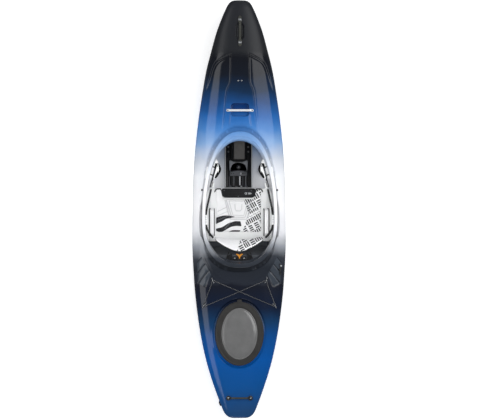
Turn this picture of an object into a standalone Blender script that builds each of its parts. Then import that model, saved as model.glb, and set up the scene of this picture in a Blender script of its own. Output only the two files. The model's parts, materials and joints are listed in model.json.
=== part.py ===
"""Recreational crossover kayak: rotomoulded shell, cockpit outfitting, hatch, drop skeg and deck rigging.

Metres, +Z up. Bow is +Y, starboard is +X. The origin is on the floor under the middle of the hull.
"""

import math

import bmesh
import bpy
from mathutils import Matrix, Vector

# ------------------------------------------------------------------ driving dimensions
LENGTH = 2.790          # bow to stern
WALL = 0.005            # moulded polyethylene wall
GAP = 0.0005            # clearance between pieces that touch
DECK_POWER = 0.87       # roundness of the deck's crown
HULL_POWER = 0.78       # roundness of the bilge
HULL_STEPS = 5          # facets from the flat bottom to the gunwale
DECK_STEPS = 6          # facets from the gunwale to the deck's centre line

# Designer's tables of offsets: (distance from midships towards the bow, value)
HALF_BEAM = [(-1.395, 0.048), (-1.386, 0.074), (-1.360, 0.100), (-1.310, 0.122), (-1.220, 0.156), (-1.110, 0.193),
             (-1.000, 0.224), (-0.860, 0.254), (-0.700, 0.279), (-0.500, 0.300), (-0.203, 0.3135), (0.100, 0.3105),
             (0.350, 0.2985), (0.600, 0.2730), (0.760, 0.2500), (0.920, 0.2230), (1.060, 0.1880), (1.180, 0.1550),
             (1.270, 0.1220), (1.335, 0.0940), (1.372, 0.0740), (1.388, 0.0560), (1.395, 0.0360)]
KEEL = [(-1.395, 0.186), (-1.386, 0.166), (-1.360, 0.136), (-1.310, 0.108), (-1.220, 0.077), (-1.100, 0.047),
        (-0.950, 0.022), (-0.750, 0.005), (-0.550, 0.0), (0.0, 0.0), (0.550, 0.0), (0.720, 0.005), (0.900, 0.022),
        (1.080, 0.054), (1.220, 0.098), (1.310, 0.143), (1.360, 0.183), (1.386, 0.222), (1.395, 0.244)]
GUNWALE = [(-1.395, 0.210), (-1.250, 0.190), (-1.000, 0.173), (-0.700, 0.165), (-0.300, 0.166), (0.100, 0.175),
           (0.500, 0.196), (0.800, 0.219), (1.100, 0.252), (1.300, 0.278), (1.395, 0.285)]
DECK = [(-1.395, 0.224), (-1.386, 0.231), (-1.340, 0.238), (-1.150, 0.241), (-0.900, 0.241), (-0.650, 0.244),
        (-0.500, 0.248), (-0.400, 0.255), (-0.250, 0.275), (0.0, 0.303), (0.300, 0.326), (0.500, 0.336),
        (0.620, 0.343), (0.800, 0.347), (1.000, 0.344), (1.200, 0.337), (1.340, 0.330), (1.386, 0.321), (1.395, 0.312)]
FLAT = [(-1.395, 0.018), (-1.300, 0.036), (-1.100, 0.072), (-0.800, 0.112), (-0.500, 0.138), (0.0, 0.146),
        (0.500, 0.138), (0.800, 0.104), (1.100, 0.056), (1.300, 0.024), (1.395, 0.012)]
STATIONS = [-1.395, -1.386, -1.360, -1.310, -1.240, -1.160, -1.070, -0.970, -0.860, -0.740, -0.620, -0.550, -0.440,
            -0.320, -0.203, -0.060, 0.080, 0.220, 0.360, 0.460, 0.550, 0.640, 0.740, 0.840, 0.940, 1.040, 1.130,
            1.210, 1.280, 1.335, 1.372, 1.388, 1.395]

# Cockpit coaming: front, rear, station of greatest width, half-width
RIM_OUT = (0.520, -0.390, -0.070, 0.251)    # outer edge of the lip
RIM_NECK = (0.495, -0.367, -0.070, 0.237)   # outer face of the neck below the lip
RIM_TOP = (0.486, -0.359, -0.070, 0.2305)   # inner edge of the lip
RIM_LEDGE = (0.457, -0.343, -0.070, 0.2285)  # inner edge of the ledge at the foot of the neck
RIM_HEIGHT = [(-0.400, 0.288), (-0.200, 0.297), (0.0, 0.313), (0.300, 0.343), (0.520, 0.366)]
RIM_SEGMENTS = 52

# Stern hatch
HATCH_Y = -0.830
HATCH_Z = 0.2275
HATCH_HALF = (0.162, 0.213)

# Drop skeg
SKEG_PIVOT = (0.0, -0.985, 0.078)
SKEG_THICK = 0.008

BOW_SCREWS = (1.265, 1.112)
STERN_BOLTS = (0.0727, -1.260)
EYES = {"front": (0.1775, -0.474), "rear": (0.236, -0.645)}
BUNGEE_D = 0.005


# ------------------------------------------------------------------ curves and shapes
def fair(table, at):
    """Monotone cubic through a table of offsets."""
    xs = [p[0] for p in table]
    ys = [p[1] for p in table]
    at = min(max(at, xs[0]), xs[-1])
    n = len(xs)
    d = [(ys[i + 1] - ys[i]) / (xs[i + 1] - xs[i]) for i in range(n - 1)]
    m = [d[0]] + [0.0 if a * b <= 0 else 2 * a * b / (a + b) for a, b in zip(d, d[1:])] + [d[-1]]
    i = max(k for k in range(n - 1) if xs[k] <= at)
    h = xs[i + 1] - xs[i]
    t = (at - xs[i]) / h
    return ((2 * t**3 - 3 * t**2 + 1) * ys[i] + (t**3 - 2 * t**2 + t) * h * m[i]
            + (-2 * t**3 + 3 * t**2) * ys[i + 1] + (t**3 - t**2) * h * m[i + 1])


def power(value, exponent):
    return math.copysign(abs(value) ** exponent, value)


def deck_z(x, y):
    """Height of the deck's outer surface."""
    b, g, d = fair(HALF_BEAM, y), fair(GUNWALE, y), fair(DECK, y)
    c = min(abs(x) / b, 1.0) ** (1 / DECK_POWER)
    return g + (d - g) * max(1 - c * c, 0.0) ** (DECK_POWER / 2)


def deck_frame(x, y, lift=0.0, heading=0.0):
    """Matrix with its origin on the deck at (x, y), Z along the deck's normal and Y towards the bow, turned by heading."""
    e = 0.004
    dx = Vector((2 * e, 0, deck_z(x + e, y) - deck_z(x - e, y)))
    dy = Vector((0, 2 * e, deck_z(x, y + e) - deck_z(x, y - e)))
    n = dx.cross(dy).normalized()
    fore = (Vector((0, 1, 0)) - n * n.y).normalized()
    side = fore.cross(n)
    m = Matrix((side, fore, n)).transposed().to_4x4()
    m.translation = Vector((x, y, deck_z(x, y))) + n * lift
    return m @ Matrix.Rotation(heading, 4, "Z")


def side_x(y, z, inset=0.0):
    """Half-width of the hull below the gunwale at height z."""
    b, k, g = fair(HALF_BEAM, y) - inset, fair(KEEL, y) + inset, fair(GUNWALE, y)
    f = min(fair(FLAT, y), 0.8 * b)
    c = min(max(1 - (z - k) / (g - k), 0.0), 1.0) ** (1 / HULL_POWER)
    return f + (b - f) * (1 - c * c) ** (HULL_POWER / 2)


def section(y, inset):
    """Closed ring of the hull's cross-section at station y, set in by inset all round."""
    b, k = fair(HALF_BEAM, y) - inset, fair(KEEL, y) + inset
    g, d = fair(GUNWALE, y), fair(DECK, y) - inset
    f = min(fair(FLAT, y), 0.8 * b)
    right = []
    for i in range(HULL_STEPS + 1):
        u = 0.5 * math.pi * i / HULL_STEPS
        right.append((f + (b - f) * power(math.sin(u), HULL_POWER), k + (g - k) * (1 - power(math.cos(u), HULL_POWER))))
    for i in range(1, DECK_STEPS + 1):
        v = 0.5 * math.pi * i / DECK_STEPS
        x = 0.0 if i == DECK_STEPS else b * power(math.cos(v), DECK_POWER)
        right.append((x, g + (d - g) * power(math.sin(v), DECK_POWER)))
    left = [(-x, z) for x, z in reversed(right[:-1])]
    return [Vector((x, y, z)) for x, z in right + left]


def egg(phi, shape, nf=2.20, nr=2.34):
    """Point of an egg outline; phi is 0 at the bow and runs towards starboard."""
    front, rear, wide, half = shape
    s, c = math.sin(phi), math.cos(phi)
    n, reach = (nf, front - wide) if c >= 0 else (nr, wide - rear)
    return half * power(s, 2 / n), wide + reach * power(c, 2 / n)


# ------------------------------------------------------------------ object helpers
def clear():
    for obj in list(bpy.data.objects):
        bpy.data.objects.remove(obj, do_unlink=True)


MATERIALS = {}


def material(name, colour, rough, metal=0.0):
    if name not in MATERIALS:
        mat = bpy.data.materials.new(name)
        mat.use_nodes = True
        shader = mat.node_tree.nodes["Principled BSDF"]
        shader.inputs["Base Color"].default_value = (*colour, 1.0)
        shader.inputs["Roughness"].default_value = rough
        shader.inputs["Metallic"].default_value = metal
        mat.diffuse_color = (*colour, 1.0)
        MATERIALS[name] = mat
    return MATERIALS[name]


BLUE = ("hull_plastic", (0.02, 0.10, 0.45), 0.35)
BLACK = ("black_plastic", (0.02, 0.02, 0.022), 0.5)
GREY = ("grey_foam", (0.30, 0.31, 0.32), 0.9)
DARK = ("dark_foam", (0.06, 0.06, 0.065), 0.9)
WHITE = ("white_plastic", (0.82, 0.82, 0.82), 0.45)
PAD = ("pad_fabric", (0.80, 0.80, 0.80), 0.8)
STEEL = ("stainless_steel", (0.72, 0.72, 0.73), 0.25, 1.0)
RUBBER = ("hatch_rubber", (0.12, 0.12, 0.125), 0.7)
WEB = ("webbing", (0.015, 0.015, 0.015), 0.85)
ORANGE = ("orange_cord", (0.85, 0.28, 0.02), 0.6)
CORD = ("bungee_cord", (0.06, 0.06, 0.065), 0.8)


def obj_from(name, verts, faces, mat, smooth=False, origin=None):
    mesh = bpy.data.meshes.new(name)
    bm = bmesh.new()
    made = [bm.verts.new(v) for v in verts]
    for face in faces:
        bm.faces.new([made[i] for i in face])
    bmesh.ops.recalc_face_normals(bm, faces=bm.faces)
    bm.to_mesh(mesh)
    bm.free()
    obj = bpy.data.objects.new(name, mesh)
    bpy.context.scene.collection.objects.link(obj)
    if mat:
        mesh.materials.append(material(*mat))
    if smooth:
        mesh.shade_smooth()
        mesh.set_sharp_from_angle(angle=math.radians(40))
    if origin is not None:
        place(obj, origin)
    return obj


def place(obj, origin):
    """Moves the object's origin to a point, such as a joint's axis, and leaves its shape where it is."""
    origin = Vector(origin)
    obj.data.transform(Matrix.Translation(-origin))
    obj.location = origin


def loft(name, rings, mat, closed=False, smooth=True):
    """Skin through rings of equal length; the ends are capped, or joined to each other when closed."""
    n = len(rings[0])
    verts = [p for ring in rings for p in ring]
    faces = []
    spans = len(rings) if closed else len(rings) - 1
    for i in range(spans):
        a, b = i * n, ((i + 1) % len(rings)) * n
        for j in range(n):
            k = (j + 1) % n
            faces.append((a + j, a + k, b + k, b + j))
    if not closed:
        faces.append(tuple(range(n)))
        faces.append(tuple(range((len(rings) - 1) * n, len(rings) * n)))
    return obj_from(name, verts, faces, mat, smooth)


def prism(name, outline, low, high, mat, axis="Z", frame=None):
    """Outline extruded along an axis: (x, y) along Z, (y, z) along X, (x, z) along Y."""
    def at(p, h):
        if axis == "Z":
            v = Vector((p[0], p[1], h))
        elif axis == "X":
            v = Vector((h, p[0], p[1]))
        else:
            v = Vector((p[0], h, p[1]))
        return frame @ v if frame else v
    return loft(name, [[at(p, low) for p in outline], [at(p, high) for p in outline]], mat, smooth=False)


def box(name, low, high, mat, frame=None):
    outline = [(low[0], low[1]), (high[0], low[1]), (high[0], high[1]), (low[0], high[1])]
    return prism(name, outline, low[2], high[2], mat, frame=frame)


def round_box(low, high, radius, steps=3):
    """Outline of a rectangle with rounded corners."""
    points = []
    for cx, cy, start in ((high[0] - radius, high[1] - radius, 0), (low[0] + radius, high[1] - radius, 90),
                          (low[0] + radius, low[1] + radius, 180), (high[0] - radius, low[1] + radius, 270)):
        for i in range(steps + 1):
            a = math.radians(start + 90 * i / steps)
            points.append((cx + radius * math.cos(a), cy + radius * math.sin(a)))
    return points


def oval(rx, ry, cx=0.0, cy=0.0, count=36):
    return [(cx + rx * math.cos(2 * math.pi * i / count), cy + ry * math.sin(2 * math.pi * i / count)) for i in range(count)]


def turned(name, profile, mat, frame=None, segments=16):
    """Solid turned about Z from (radius, height) pairs, first and last on the axis."""
    rings = profile[1:-1]
    verts = [Vector((0, 0, profile[0][1]))]
    for r, z in rings:
        verts += [Vector((r * math.cos(2 * math.pi * i / segments), r * math.sin(2 * math.pi * i / segments), z))
                  for i in range(segments)]
    verts.append(Vector((0, 0, profile[-1][1])))
    faces = []
    for i in range(segments):
        j = (i + 1) % segments
        faces.append((0, 1 + i, 1 + j))
        for k in range(len(rings) - 1):
            a, b = 1 + k * segments, 1 + (k + 1) * segments
            faces.append((a + i, b + i, b + j, a + j))
        last = 1 + (len(rings) - 1) * segments
        faces.append((last + i, len(verts) - 1, last + j))
    if frame:
        verts = [frame @ v for v in verts]
    return obj_from(name, verts, faces, mat, smooth=True)


def sheet(name, top, steps_u, steps_v, thickness, mat, flip=False):
    """Curved plate: top(u, v) is its outer face over 0..1 by 0..1, thickened against its normal, or along it with flip."""
    def normal(u, v):
        e = 0.004
        du = top(min(u + e, 1), v) - top(max(u - e, 0), v)
        dv = top(u, min(v + e, 1)) - top(u, max(v - e, 0))
        return du.cross(dv).normalized() * (-1 if flip else 1)
    upper, lower = [], []
    for i in range(steps_u + 1):
        for j in range(steps_v + 1):
            u, v = i / steps_u, j / steps_v
            p = top(u, v)
            upper.append(p)
            lower.append(p - normal(u, v) * thickness)
    n, w = len(upper), steps_v + 1
    faces = []
    for i in range(steps_u):
        for j in range(steps_v):
            a = i * w + j
            faces.append((a, a + w, a + w + 1, a + 1))
            faces.append((n + a, n + a + 1, n + a + w + 1, n + a + w))
    edge = [j for j in range(w)] + [i * w + steps_v for i in range(1, steps_u + 1)]
    edge += [steps_u * w + j for j in range(steps_v - 1, -1, -1)] + [i * w for i in range(steps_u - 1, 0, -1)]
    for a, b in zip(edge, edge[1:] + edge[:1]):
        faces.append((a, b, n + b, n + a))
    return obj_from(name, upper + lower, faces, mat, smooth=True)


def smooth_path(points, count, cyclic=False):
    """Catmull-Rom curve through the points, read at even steps."""
    pts = [Vector(p) for p in points]
    n = len(pts)
    spans = n if cyclic else n - 1
    fine = []
    for i in range(spans):
        if cyclic:
            p = [pts[(i + k) % n] for k in (-1, 0, 1, 2)]
        else:
            p = [pts[max(i - 1, 0)], pts[i], pts[i + 1], pts[min(i + 2, n - 1)]]
        for s in range(24):
            t = s / 24
            fine.append(0.5 * ((2 * p[1]) + (p[2] - p[0]) * t + (2 * p[0] - 5 * p[1] + 4 * p[2] - p[3]) * t**2
                               + (3 * p[1] - p[0] - 3 * p[2] + p[3]) * t**3))
    fine.append(pts[0] if cyclic else pts[-1])
    lengths = [0.0]
    for a, b in zip(fine, fine[1:]):
        lengths.append(lengths[-1] + (b - a).length)
    out = []
    for k in range(count):
        want = lengths[-1] * k / (count if cyclic else count - 1)
        i = max(j for j in range(len(lengths) - 1) if lengths[j] <= want + 1e-12)
        span = lengths[i + 1] - lengths[i]
        out.append(fine[i].lerp(fine[i + 1], (want - lengths[i]) / span if span > 0 else 0))
    return out


def cord(name, points, diameter, mat, cyclic=False, resolution=2):
    curve = bpy.data.curves.new(name, "CURVE")
    curve.dimensions = "3D"
    curve.bevel_depth = diameter / 2
    curve.bevel_resolution = resolution
    curve.use_fill_caps = not cyclic
    spline = curve.splines.new("POLY")
    spline.points.add(len(points) - 1)
    for slot, p in zip(spline.points, points):
        slot.co = (*p, 1.0)
    spline.use_cyclic_u = cyclic
    curve.materials.append(material(*mat))
    obj = bpy.data.objects.new(name, curve)
    bpy.context.scene.collection.objects.link(obj)
    return obj


def strap(name, path, width, thickness, mat, up=Vector((0, 0, 1))):
    """Flat strap along a path: width runs across the path in the plane of up, thickness is square to it."""
    rings = []
    for i, p in enumerate(path):
        along = (path[min(i + 1, len(path) - 1)] - path[max(i - 1, 0)]).normalized()
        across = along.cross(up).normalized()
        high = across.cross(along).normalized()
        rings.append([p + high * (width / 2 * a) + across * (thickness / 2 * b)
                      for a, b in ((1, 1), (1, -1), (-1, -1), (-1, 1))])
    return loft(name, rings, mat, smooth=False)


def helper(obj):
    obj.hide_render = True
    obj.display_type = "WIRE"
    return obj


def boolean(obj, other, operation):
    mod = obj.modifiers.new(operation.title() + " " + other.name, "BOOLEAN")
    mod.operation = operation
    mod.object = other
    mod.solver = "EXACT"
    return mod


def join_helpers(name, objs):
    """Several cutters made into one object."""
    bm = bmesh.new()
    for o in objs:
        o.data.transform(o.matrix_basis)
        bm.from_mesh(o.data)
        bpy.data.objects.remove(o, do_unlink=True)
    mesh = bpy.data.meshes.new(name)
    bm.to_mesh(mesh)
    bm.free()
    obj = bpy.data.objects.new(name, mesh)
    bpy.context.scene.collection.objects.link(obj)
    return helper(obj)


def hinge_point(obj, point):
    place(obj, point)
    return obj


clear()

# ------------------------------------------------------------------ hull shell
outer = [section(y, 0.0) for y in STATIONS]
inner_stations = [y for y in STATIONS if abs(y) < 1.37]


def inside(name, inset, ends):
    """Closed solid of the hull's inner volume."""
    ys = [-ends] + [y for y in inner_stations if abs(y) < ends - 0.01] + [ends]
    return loft(name, [section(y, inset) for y in ys], None, smooth=False)


trim = helper(inside("trim_volume", WALL + GAP, 1.376))
void = helper(inside("hull_void", WALL, 1.378))

pocket_out = box("pocket_tub", (-0.065, 0.619, 0.300), (0.065, 0.722, 0.400), None)
pocket_in = prism("pocket_hollow", round_box((-0.060, 0.624), (0.060, 0.717), 0.022, 3), 0.306, 0.400, None)
bow_out = box("bow_tub", (-0.029, 1.131, 0.303), (0.029, 1.246, 0.400), None)
bow_in = prism("bow_hollow", round_box((-0.024, 1.136), (0.024, 1.241), 0.020, 3), 0.309, 0.400, None)
hatch_out = prism("hatch_tub", oval(HATCH_HALF[0] + 0.010, HATCH_HALF[1] + 0.010, 0, HATCH_Y), HATCH_Z - WALL, 0.300, None)
tubs = join_helpers("tubs", [pocket_out, bow_out, hatch_out])
boolean(void, tubs, "DIFFERENCE")

hull = loft("hull_shell", outer, BLUE)
boolean(hull, void, "DIFFERENCE")

hatch_seat = prism("hatch_seat", oval(HATCH_HALF[0] + 0.005, HATCH_HALF[1] + 0.005, 0, HATCH_Y), HATCH_Z, 0.320, None)
hatch_hole = prism("hatch_hole", oval(0.1480, 0.1990, 0, HATCH_Y), 0.200, 0.320, None)
boolean(hull, join_helpers("deck_hollows", [pocket_in, bow_in, hatch_seat]), "DIFFERENCE")
boolean(hull, helper(hatch_hole), "DIFFERENCE")


def rim_xy(phi, shape, other=None, r=0.0):
    x, y = egg(phi, shape)
    if other:
        xo, yo = egg(phi, other)
        return x + (xo - x) * r, y + (yo - y) * r
    return x, y


def rim_ring(phi):
    ring = []
    for (x, y), base, dz in ((rim_xy(phi, RIM_TOP), "rim", -0.003), (rim_xy(phi, RIM_TOP, RIM_NECK, 0.5), "rim", 0.0),
                             (rim_xy(phi, RIM_NECK, RIM_OUT, 0.85), "rim", -0.003), (rim_xy(phi, RIM_OUT), "rim", -0.0075),
                             (rim_xy(phi, RIM_NECK, RIM_OUT, 0.92), "rim", -0.012),
                             (rim_xy(phi, RIM_NECK, RIM_OUT, 0.08), "rim", -0.010),
                             (rim_xy(phi, RIM_NECK), "rim", -0.014), (rim_xy(phi, RIM_NECK, RIM_OUT, 0.06), "deck", 0.003),
                             (rim_xy(phi, RIM_NECK, RIM_OUT, 0.08), "deck", -0.010), (rim_xy(phi, RIM_LEDGE), "deck", -0.010),
                             (rim_xy(phi, RIM_LEDGE), "deck", -0.005)):
        ring.append(Vector((x, y, (fair(RIM_HEIGHT, y) if base == "rim" else deck_z(x, y)) + dz)))
    return ring


cockpit_cut = [rim_xy(2 * math.pi * i / RIM_SEGMENTS, RIM_LEDGE, RIM_NECK, 0.5) for i in range(RIM_SEGMENTS)]
boolean(hull, helper(prism("cockpit_hole", cockpit_cut, 0.190, 0.450, None)), "DIFFERENCE")
coaming = helper(loft("coaming", [rim_ring(2 * math.pi * i / RIM_SEGMENTS) for i in range(RIM_SEGMENTS)], None,
                      closed=True))
boolean(hull, coaming, "UNION")

# drillings for the fasteners and the slot of the skeg
RIM_BOLT = (0.2500, 0.130)
ANCHOR = (0.031, -0.327)
DECK_SCREW = (0.0115, 0.858)
CLEAT = (0.272, -0.400)
DRAIN_AT = (-1.300, 0.165)
drills = []


def drill(frame, radius, low, high, name="drill"):
    outline = [(radius * math.cos(math.pi * i / 5), radius * math.sin(math.pi * i / 5)) for i in range(10)]
    return prism(name, outline, low, high, None, frame=frame)


for y in BOW_SCREWS:
    drills.append(drill(deck_frame(0, y), 0.0034, -0.02, 0.02))
for side in (-1, 1):
    drills.append(drill(deck_frame(side * STERN_BOLTS[0], STERN_BOLTS[1]), 0.0034, -0.02, 0.02))
    drills.append(drill(deck_frame(side * RIM_BOLT[0], RIM_BOLT[1]), 0.0034, -0.02, 0.02))
    drills.append(drill(deck_frame(side * DECK_SCREW[0], DECK_SCREW[1]), 0.0024, -0.02, 0.02))
slot = prism("skeg_slot", round_box((-0.0085, -1.205), (0.0085, -0.963), 0.0080, 2), -0.05, 0.110, None)
hull_side = side_x(DRAIN_AT[0], DRAIN_AT[1])
e = 0.004
drain_n = Vector((-1, -(side_x(DRAIN_AT[0] + e, DRAIN_AT[1]) - side_x(DRAIN_AT[0] - e, DRAIN_AT[1])) / (2 * e),
                  -(side_x(DRAIN_AT[0], DRAIN_AT[1] + e) - side_x(DRAIN_AT[0], DRAIN_AT[1] - e)) / (2 * e)))
drain_n = Vector((-1, drain_n.y, drain_n.z)).normalized()
drain_frame = drain_n.to_track_quat("Z", "Y").to_matrix().to_4x4()
drain_frame.translation = Vector((-hull_side, DRAIN_AT[0], DRAIN_AT[1]))
drills.append(drill(drain_frame, 0.0125, -0.03, 0.02))
drills.append(slot)
boolean(hull, join_helpers("drillings", drills), "DIFFERENCE")

# ------------------------------------------------------------------ foam pillars and the bulkhead
pillar_side = [(1.080, -0.02), (1.080, 0.400), (0.504, 0.400), (0.499, 0.314), (0.440, 0.250), (0.350, 0.205), (0.338, 0.195),
               (0.338, 0.0335), (0.470, 0.0335), (0.475, -0.02)]
front_pillar = prism("front_pillar", pillar_side, -0.035, 0.035, GREY, axis="X")
boolean(front_pillar, trim, "INTERSECT")
pillar_clear = helper(box("pillar_relief", (-0.10, 0.612, 0.290), (0.10, 0.729, 0.45), None))
boolean(front_pillar, pillar_clear, "DIFFERENCE")
screw_clear = helper(box("screw_relief", (-0.024, 0.846, 0.328), (0.024, 0.870, 0.45), None))
boolean(front_pillar, screw_clear, "DIFFERENCE")
rear_pillar = box("rear_pillar", (-0.030, -0.590, -0.02), (0.030, -0.3865, 0.400), GREY)
boolean(rear_pillar, trim, "INTERSECT")
bulkhead = prism("rear_bulkhead", [(-0.385, -0.02), (-0.250, -0.02), (-0.250, 0.060), (-0.306, 0.228),
                                   (-0.385, 0.228)], -0.400, 0.400, DARK, axis="X")
boolean(bulkhead, trim, "INTERSECT")
# ------------------------------------------------------------------ centre track and its knob
FLOOR = WALL + GAP
track_end = [(-0.093, FLOOR), (0.093, FLOOR), (0.093, 0.060), (0.088, 0.064), (0.083, 0.060), (0.078, 0.022),
             (0.056, 0.018), (0.052, 0.031), (-0.052, 0.031), (-0.056, 0.018), (-0.078, 0.022), (-0.083, 0.060),
             (-0.088, 0.064), (-0.093, 0.060)]
prism("center_track", track_end, 0.1480, 0.455, BLACK, axis="Y")
arch = [(-0.056, 0.243), (-0.030, 0.252), (0.030, 0.252), (0.056, 0.243), (0.052, 0.285), (0.036, 0.306), (0.0, 0.313),
        (-0.036, 0.306), (-0.052, 0.285)]
prism("track_saddle", arch, 0.0320, 0.0560, BLACK)
knob_at = Vector((0.0, 0.286, 0.0565))
knob = turned("track_knob", [(0, 0.0), (0.015, 0.0), (0.017, 0.004), (0.0165, 0.012), (0.012, 0.018), (0, 0.020)],
              BLACK, Matrix.Translation(knob_at), 16)
hinge_point(knob, knob_at)

# ------------------------------------------------------------------ foot braces
RAIL_Y = (0.600, 0.980)
RAIL_Z = 0.130
for side, tag in ((-1, "left"), (1, "right")):
    a = Vector((side * (side_x(RAIL_Y[0], RAIL_Z, WALL) - 0.012), RAIL_Y[0], RAIL_Z))
    b = Vector((side * (side_x(RAIL_Y[1], RAIL_Z, WALL) - 0.012), RAIL_Y[1], RAIL_Z))
    along = (b - a).normalized()
    frame = Matrix((along.cross(Vector((0, 0, 1))), along, Vector((0, 0, 1)))).transposed().to_4x4()
    frame.translation = (a + b) / 2
    half = (b - a).length / 2
    # local x points to starboard: the rail's inboard face is on the -side
    t_end = [(-0.005, -0.015), (0.005, -0.015), (0.005, 0.015), (-0.005, 0.015)]
    prism("foot_rail_" + tag, t_end, -half, half, BLACK, axis="Y", frame=frame)
    pedal_at = frame @ Vector((-side * 0.0120, 0.020, 0.0))
    pf = frame.copy()
    pf.translation = pedal_at
    inner = -side * 0.082
    plate = [(min(0, inner), -0.045), (max(0, inner), -0.045), (max(0, inner), 0.050), (min(0, inner), 0.050)]
    pedal = prism("foot_pedal_" + tag, round_box((min(0, inner), -0.045), (max(0, inner), 0.050), 0.012, 2),
                  -0.036, -0.024, BLACK, axis="Y", frame=pf)
    carriage = helper(prism("carriage_" + tag, [(-0.0062, -0.022), (0.0062, -0.022), (0.0062, 0.022), (-0.0062, 0.022)],
                            -0.030, 0.040, None, axis="Y", frame=pf))
    boolean(pedal, carriage, "UNION")
    web = helper(prism("web_" + tag, [(0, -0.026), (0, 0.040), (inner * 0.8, -0.026)], -0.004, 0.004, None, axis="Z",
                       frame=pf))
    boolean(pedal, web, "UNION")
    hinge_point(pedal, pedal_at)

# ------------------------------------------------------------------ seat, tray and pads
SEAT_FRONT, SEAT_REAR = 0.142, -0.212
NOTCH = (0.1180, 0.0760)    # half-width and front edge of the space left for the tray


def seat_line(t, y):
    """Half cross-section of the seat, 0 at the centre to 1 at the outer edge of the wing's flange."""
    along = (y - SEAT_REAR) / (SEAT_FRONT - SEAT_REAR)
    rise = 0.034 * max(0.0, along - 0.35) ** 1.3
    top = 0.186 + 0.020 * math.sin(math.pi * along) - 0.018 * along
    wide = 0.2055 + 0.0215 * math.sin(math.pi * min(max(0.10 + 0.80 * along, 0), 1))
    knots = [(0.0, 0.0, 0.020 + rise), (0.20, 0.060, 0.0225 + rise), (0.42, 0.122, 0.034 + rise * 1.4),
             (0.57, 0.165, 0.058 + rise * 1.3), (0.68, 0.188, 0.090), (0.78, 0.197, 0.120), (0.92, 0.2035, top),
             (1.0, wide, top + 0.004)]
    i = max(k for k in range(len(knots) - 1) if knots[k][0] <= t + 1e-9)
    a, b = knots[i], knots[i + 1]
    s = (t - a[0]) / (b[0] - a[0])
    return a[1] + (b[1] - a[1]) * s, a[2] + (b[2] - a[2]) * s


def seat_top(u, v):
    y = SEAT_REAR + (SEAT_FRONT - SEAT_REAR) * v
    t = abs(2 * u - 1)
    x, z = seat_line(t, y)
    return Vector((math.copysign(x, 2 * u - 1), y, z))


def spread(fn, marks):
    """Reads a surface at given marks instead of even ones."""
    def at(u, v):
        k = u * (len(marks) - 1)
        i = min(int(k), len(marks) - 2)
        return fn(marks[i] + (marks[i + 1] - marks[i]) * (k - i), v)
    return at


half_marks = [0.20, 0.42, 0.57, 0.68, 0.78, 0.92, 1.0]
marks = [0.5 - 0.5 * m for m in reversed(half_marks)] + [0.5] + [0.5 + 0.5 * m for m in half_marks]
seat = sheet("seat_pan", spread(seat_top, marks), 14, 6, 0.004, WHITE)
seat_base = helper(box("seat_base", (-0.055, -0.190, FLOOR), (0.055, 0.020, 0.0195), None))
boolean(seat, seat_base, "UNION")
notch = helper(box("tray_notch", (-NOTCH[0], NOTCH[1], 0.0), (NOTCH[0], 0.300, 0.150), None))
boolean(seat, notch, "DIFFERENCE")


def pad_top(u, v):
    y = -0.157 + (0.140 + 0.157) * v
    x = 0.156 * (2 * u - 1)
    t = [0.0, 0.20, 0.42, 0.57]
    xs = [0.0, 0.060, 0.122, 0.165]
    i = max(k for k in range(3) if xs[k] <= abs(x) + 1e-9)
    s = t[i] + (t[i + 1] - t[i]) * (abs(x) - xs[i]) / (xs[i + 1] - xs[i])
    _, z = seat_line(s, y)
    return Vector((x, y, z + 0.0115))


seat_pad = sheet("seat_pad", pad_top, 10, 5, 0.0095, PAD)
pad_notch = helper(box("pad_notch", (-NOTCH[0], NOTCH[1], 0.0), (NOTCH[0], 0.300, 0.150), None))
boolean(seat_pad, pad_notch, "DIFFERENCE")

LIFT_AXIS = (0.0, 0.0860, 0.0560)
lift_outline = round_box((-0.1145, 0.0790), (0.1145, 0.1420), 0.020, 3)
lifter = prism("leg_lifter", lift_outline, 0.0580, 0.0660, BLACK)
lip = helper(prism("lifter_lip", [(-0.094, 0.044), (0.094, 0.044), (0.094, 0.0585), (-0.094, 0.0585)], 0.1350, 0.1405,
                   None, axis="Y"))
boolean(lifter, lip, "UNION")
hinge_point(lifter, LIFT_AXIS)
LATCH_AT = (0.0490, 0.1080, 0.0664)
latch_shape = []
for i in range(13):
    a = math.radians(35 + 290 * i / 12)
    latch_shape.append((LATCH_AT[0] + 0.0085 * math.cos(a), LATCH_AT[1] + 0.0085 * math.sin(a)))
latch_shape += [(LATCH_AT[0] + 0.036, LATCH_AT[1] - 0.0045), (LATCH_AT[0] + 0.041, LATCH_AT[1]),
                (LATCH_AT[0] + 0.036, LATCH_AT[1] + 0.0045)]
latch = prism("lifter_latch", latch_shape, LATCH_AT[2], LATCH_AT[2] + 0.005, STEEL)
hinge_point(latch, LATCH_AT)

for side, tag in ((-1, "left"), (1, "right")):
    shape = round_box((-0.180, 0.112), (0.010, 0.205), 0.026, 3)
    prism("hip_pad_" + tag, shape, 0.1640 if side > 0 else -0.1925, 0.1925 if side > 0 else -0.1640, DARK, axis="X")

# ------------------------------------------------------------------ thigh braces
for side, tag in ((-1, "left"), (1, "right")):
    def brace_top(u, v, side=side):
        # u runs outboard to inboard, v from the rear to the front
        y = 0.205 + 0.130 * v
        bow = math.sin(math.pi * v)
        x_in = 0.121 + 0.022 * (2 * v - 1) ** 2 - 0.010 * v
        x = 0.232 - 0.020 * v - (0.232 - 0.020 * v - x_in) * u
        drop = 0.0125 + 0.014 * u**3
        roof = min(deck_z(x, y), fair(RIM_HEIGHT, y) - 0.012)
        return Vector((side * x, y, roof - drop + 0.001 * bow))
    brace = sheet("thigh_brace_" + tag, brace_top, 7, 5, 0.004, WHITE, flip=side > 0)

    def pad_face(u, v, side=side):
        y = 0.214 + 0.112 * v
        p = brace_top(0.42 + 0.58 * u, (y - 0.205) / 0.130, side)
        return Vector((p.x - side * 0.006 * u, p.y, p.z - 0.0054 - 0.0030 * u**3))
    foam = sheet("thigh_pad_" + tag, pad_face, 4, 4, 0.011, DARK, flip=side > 0)

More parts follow.
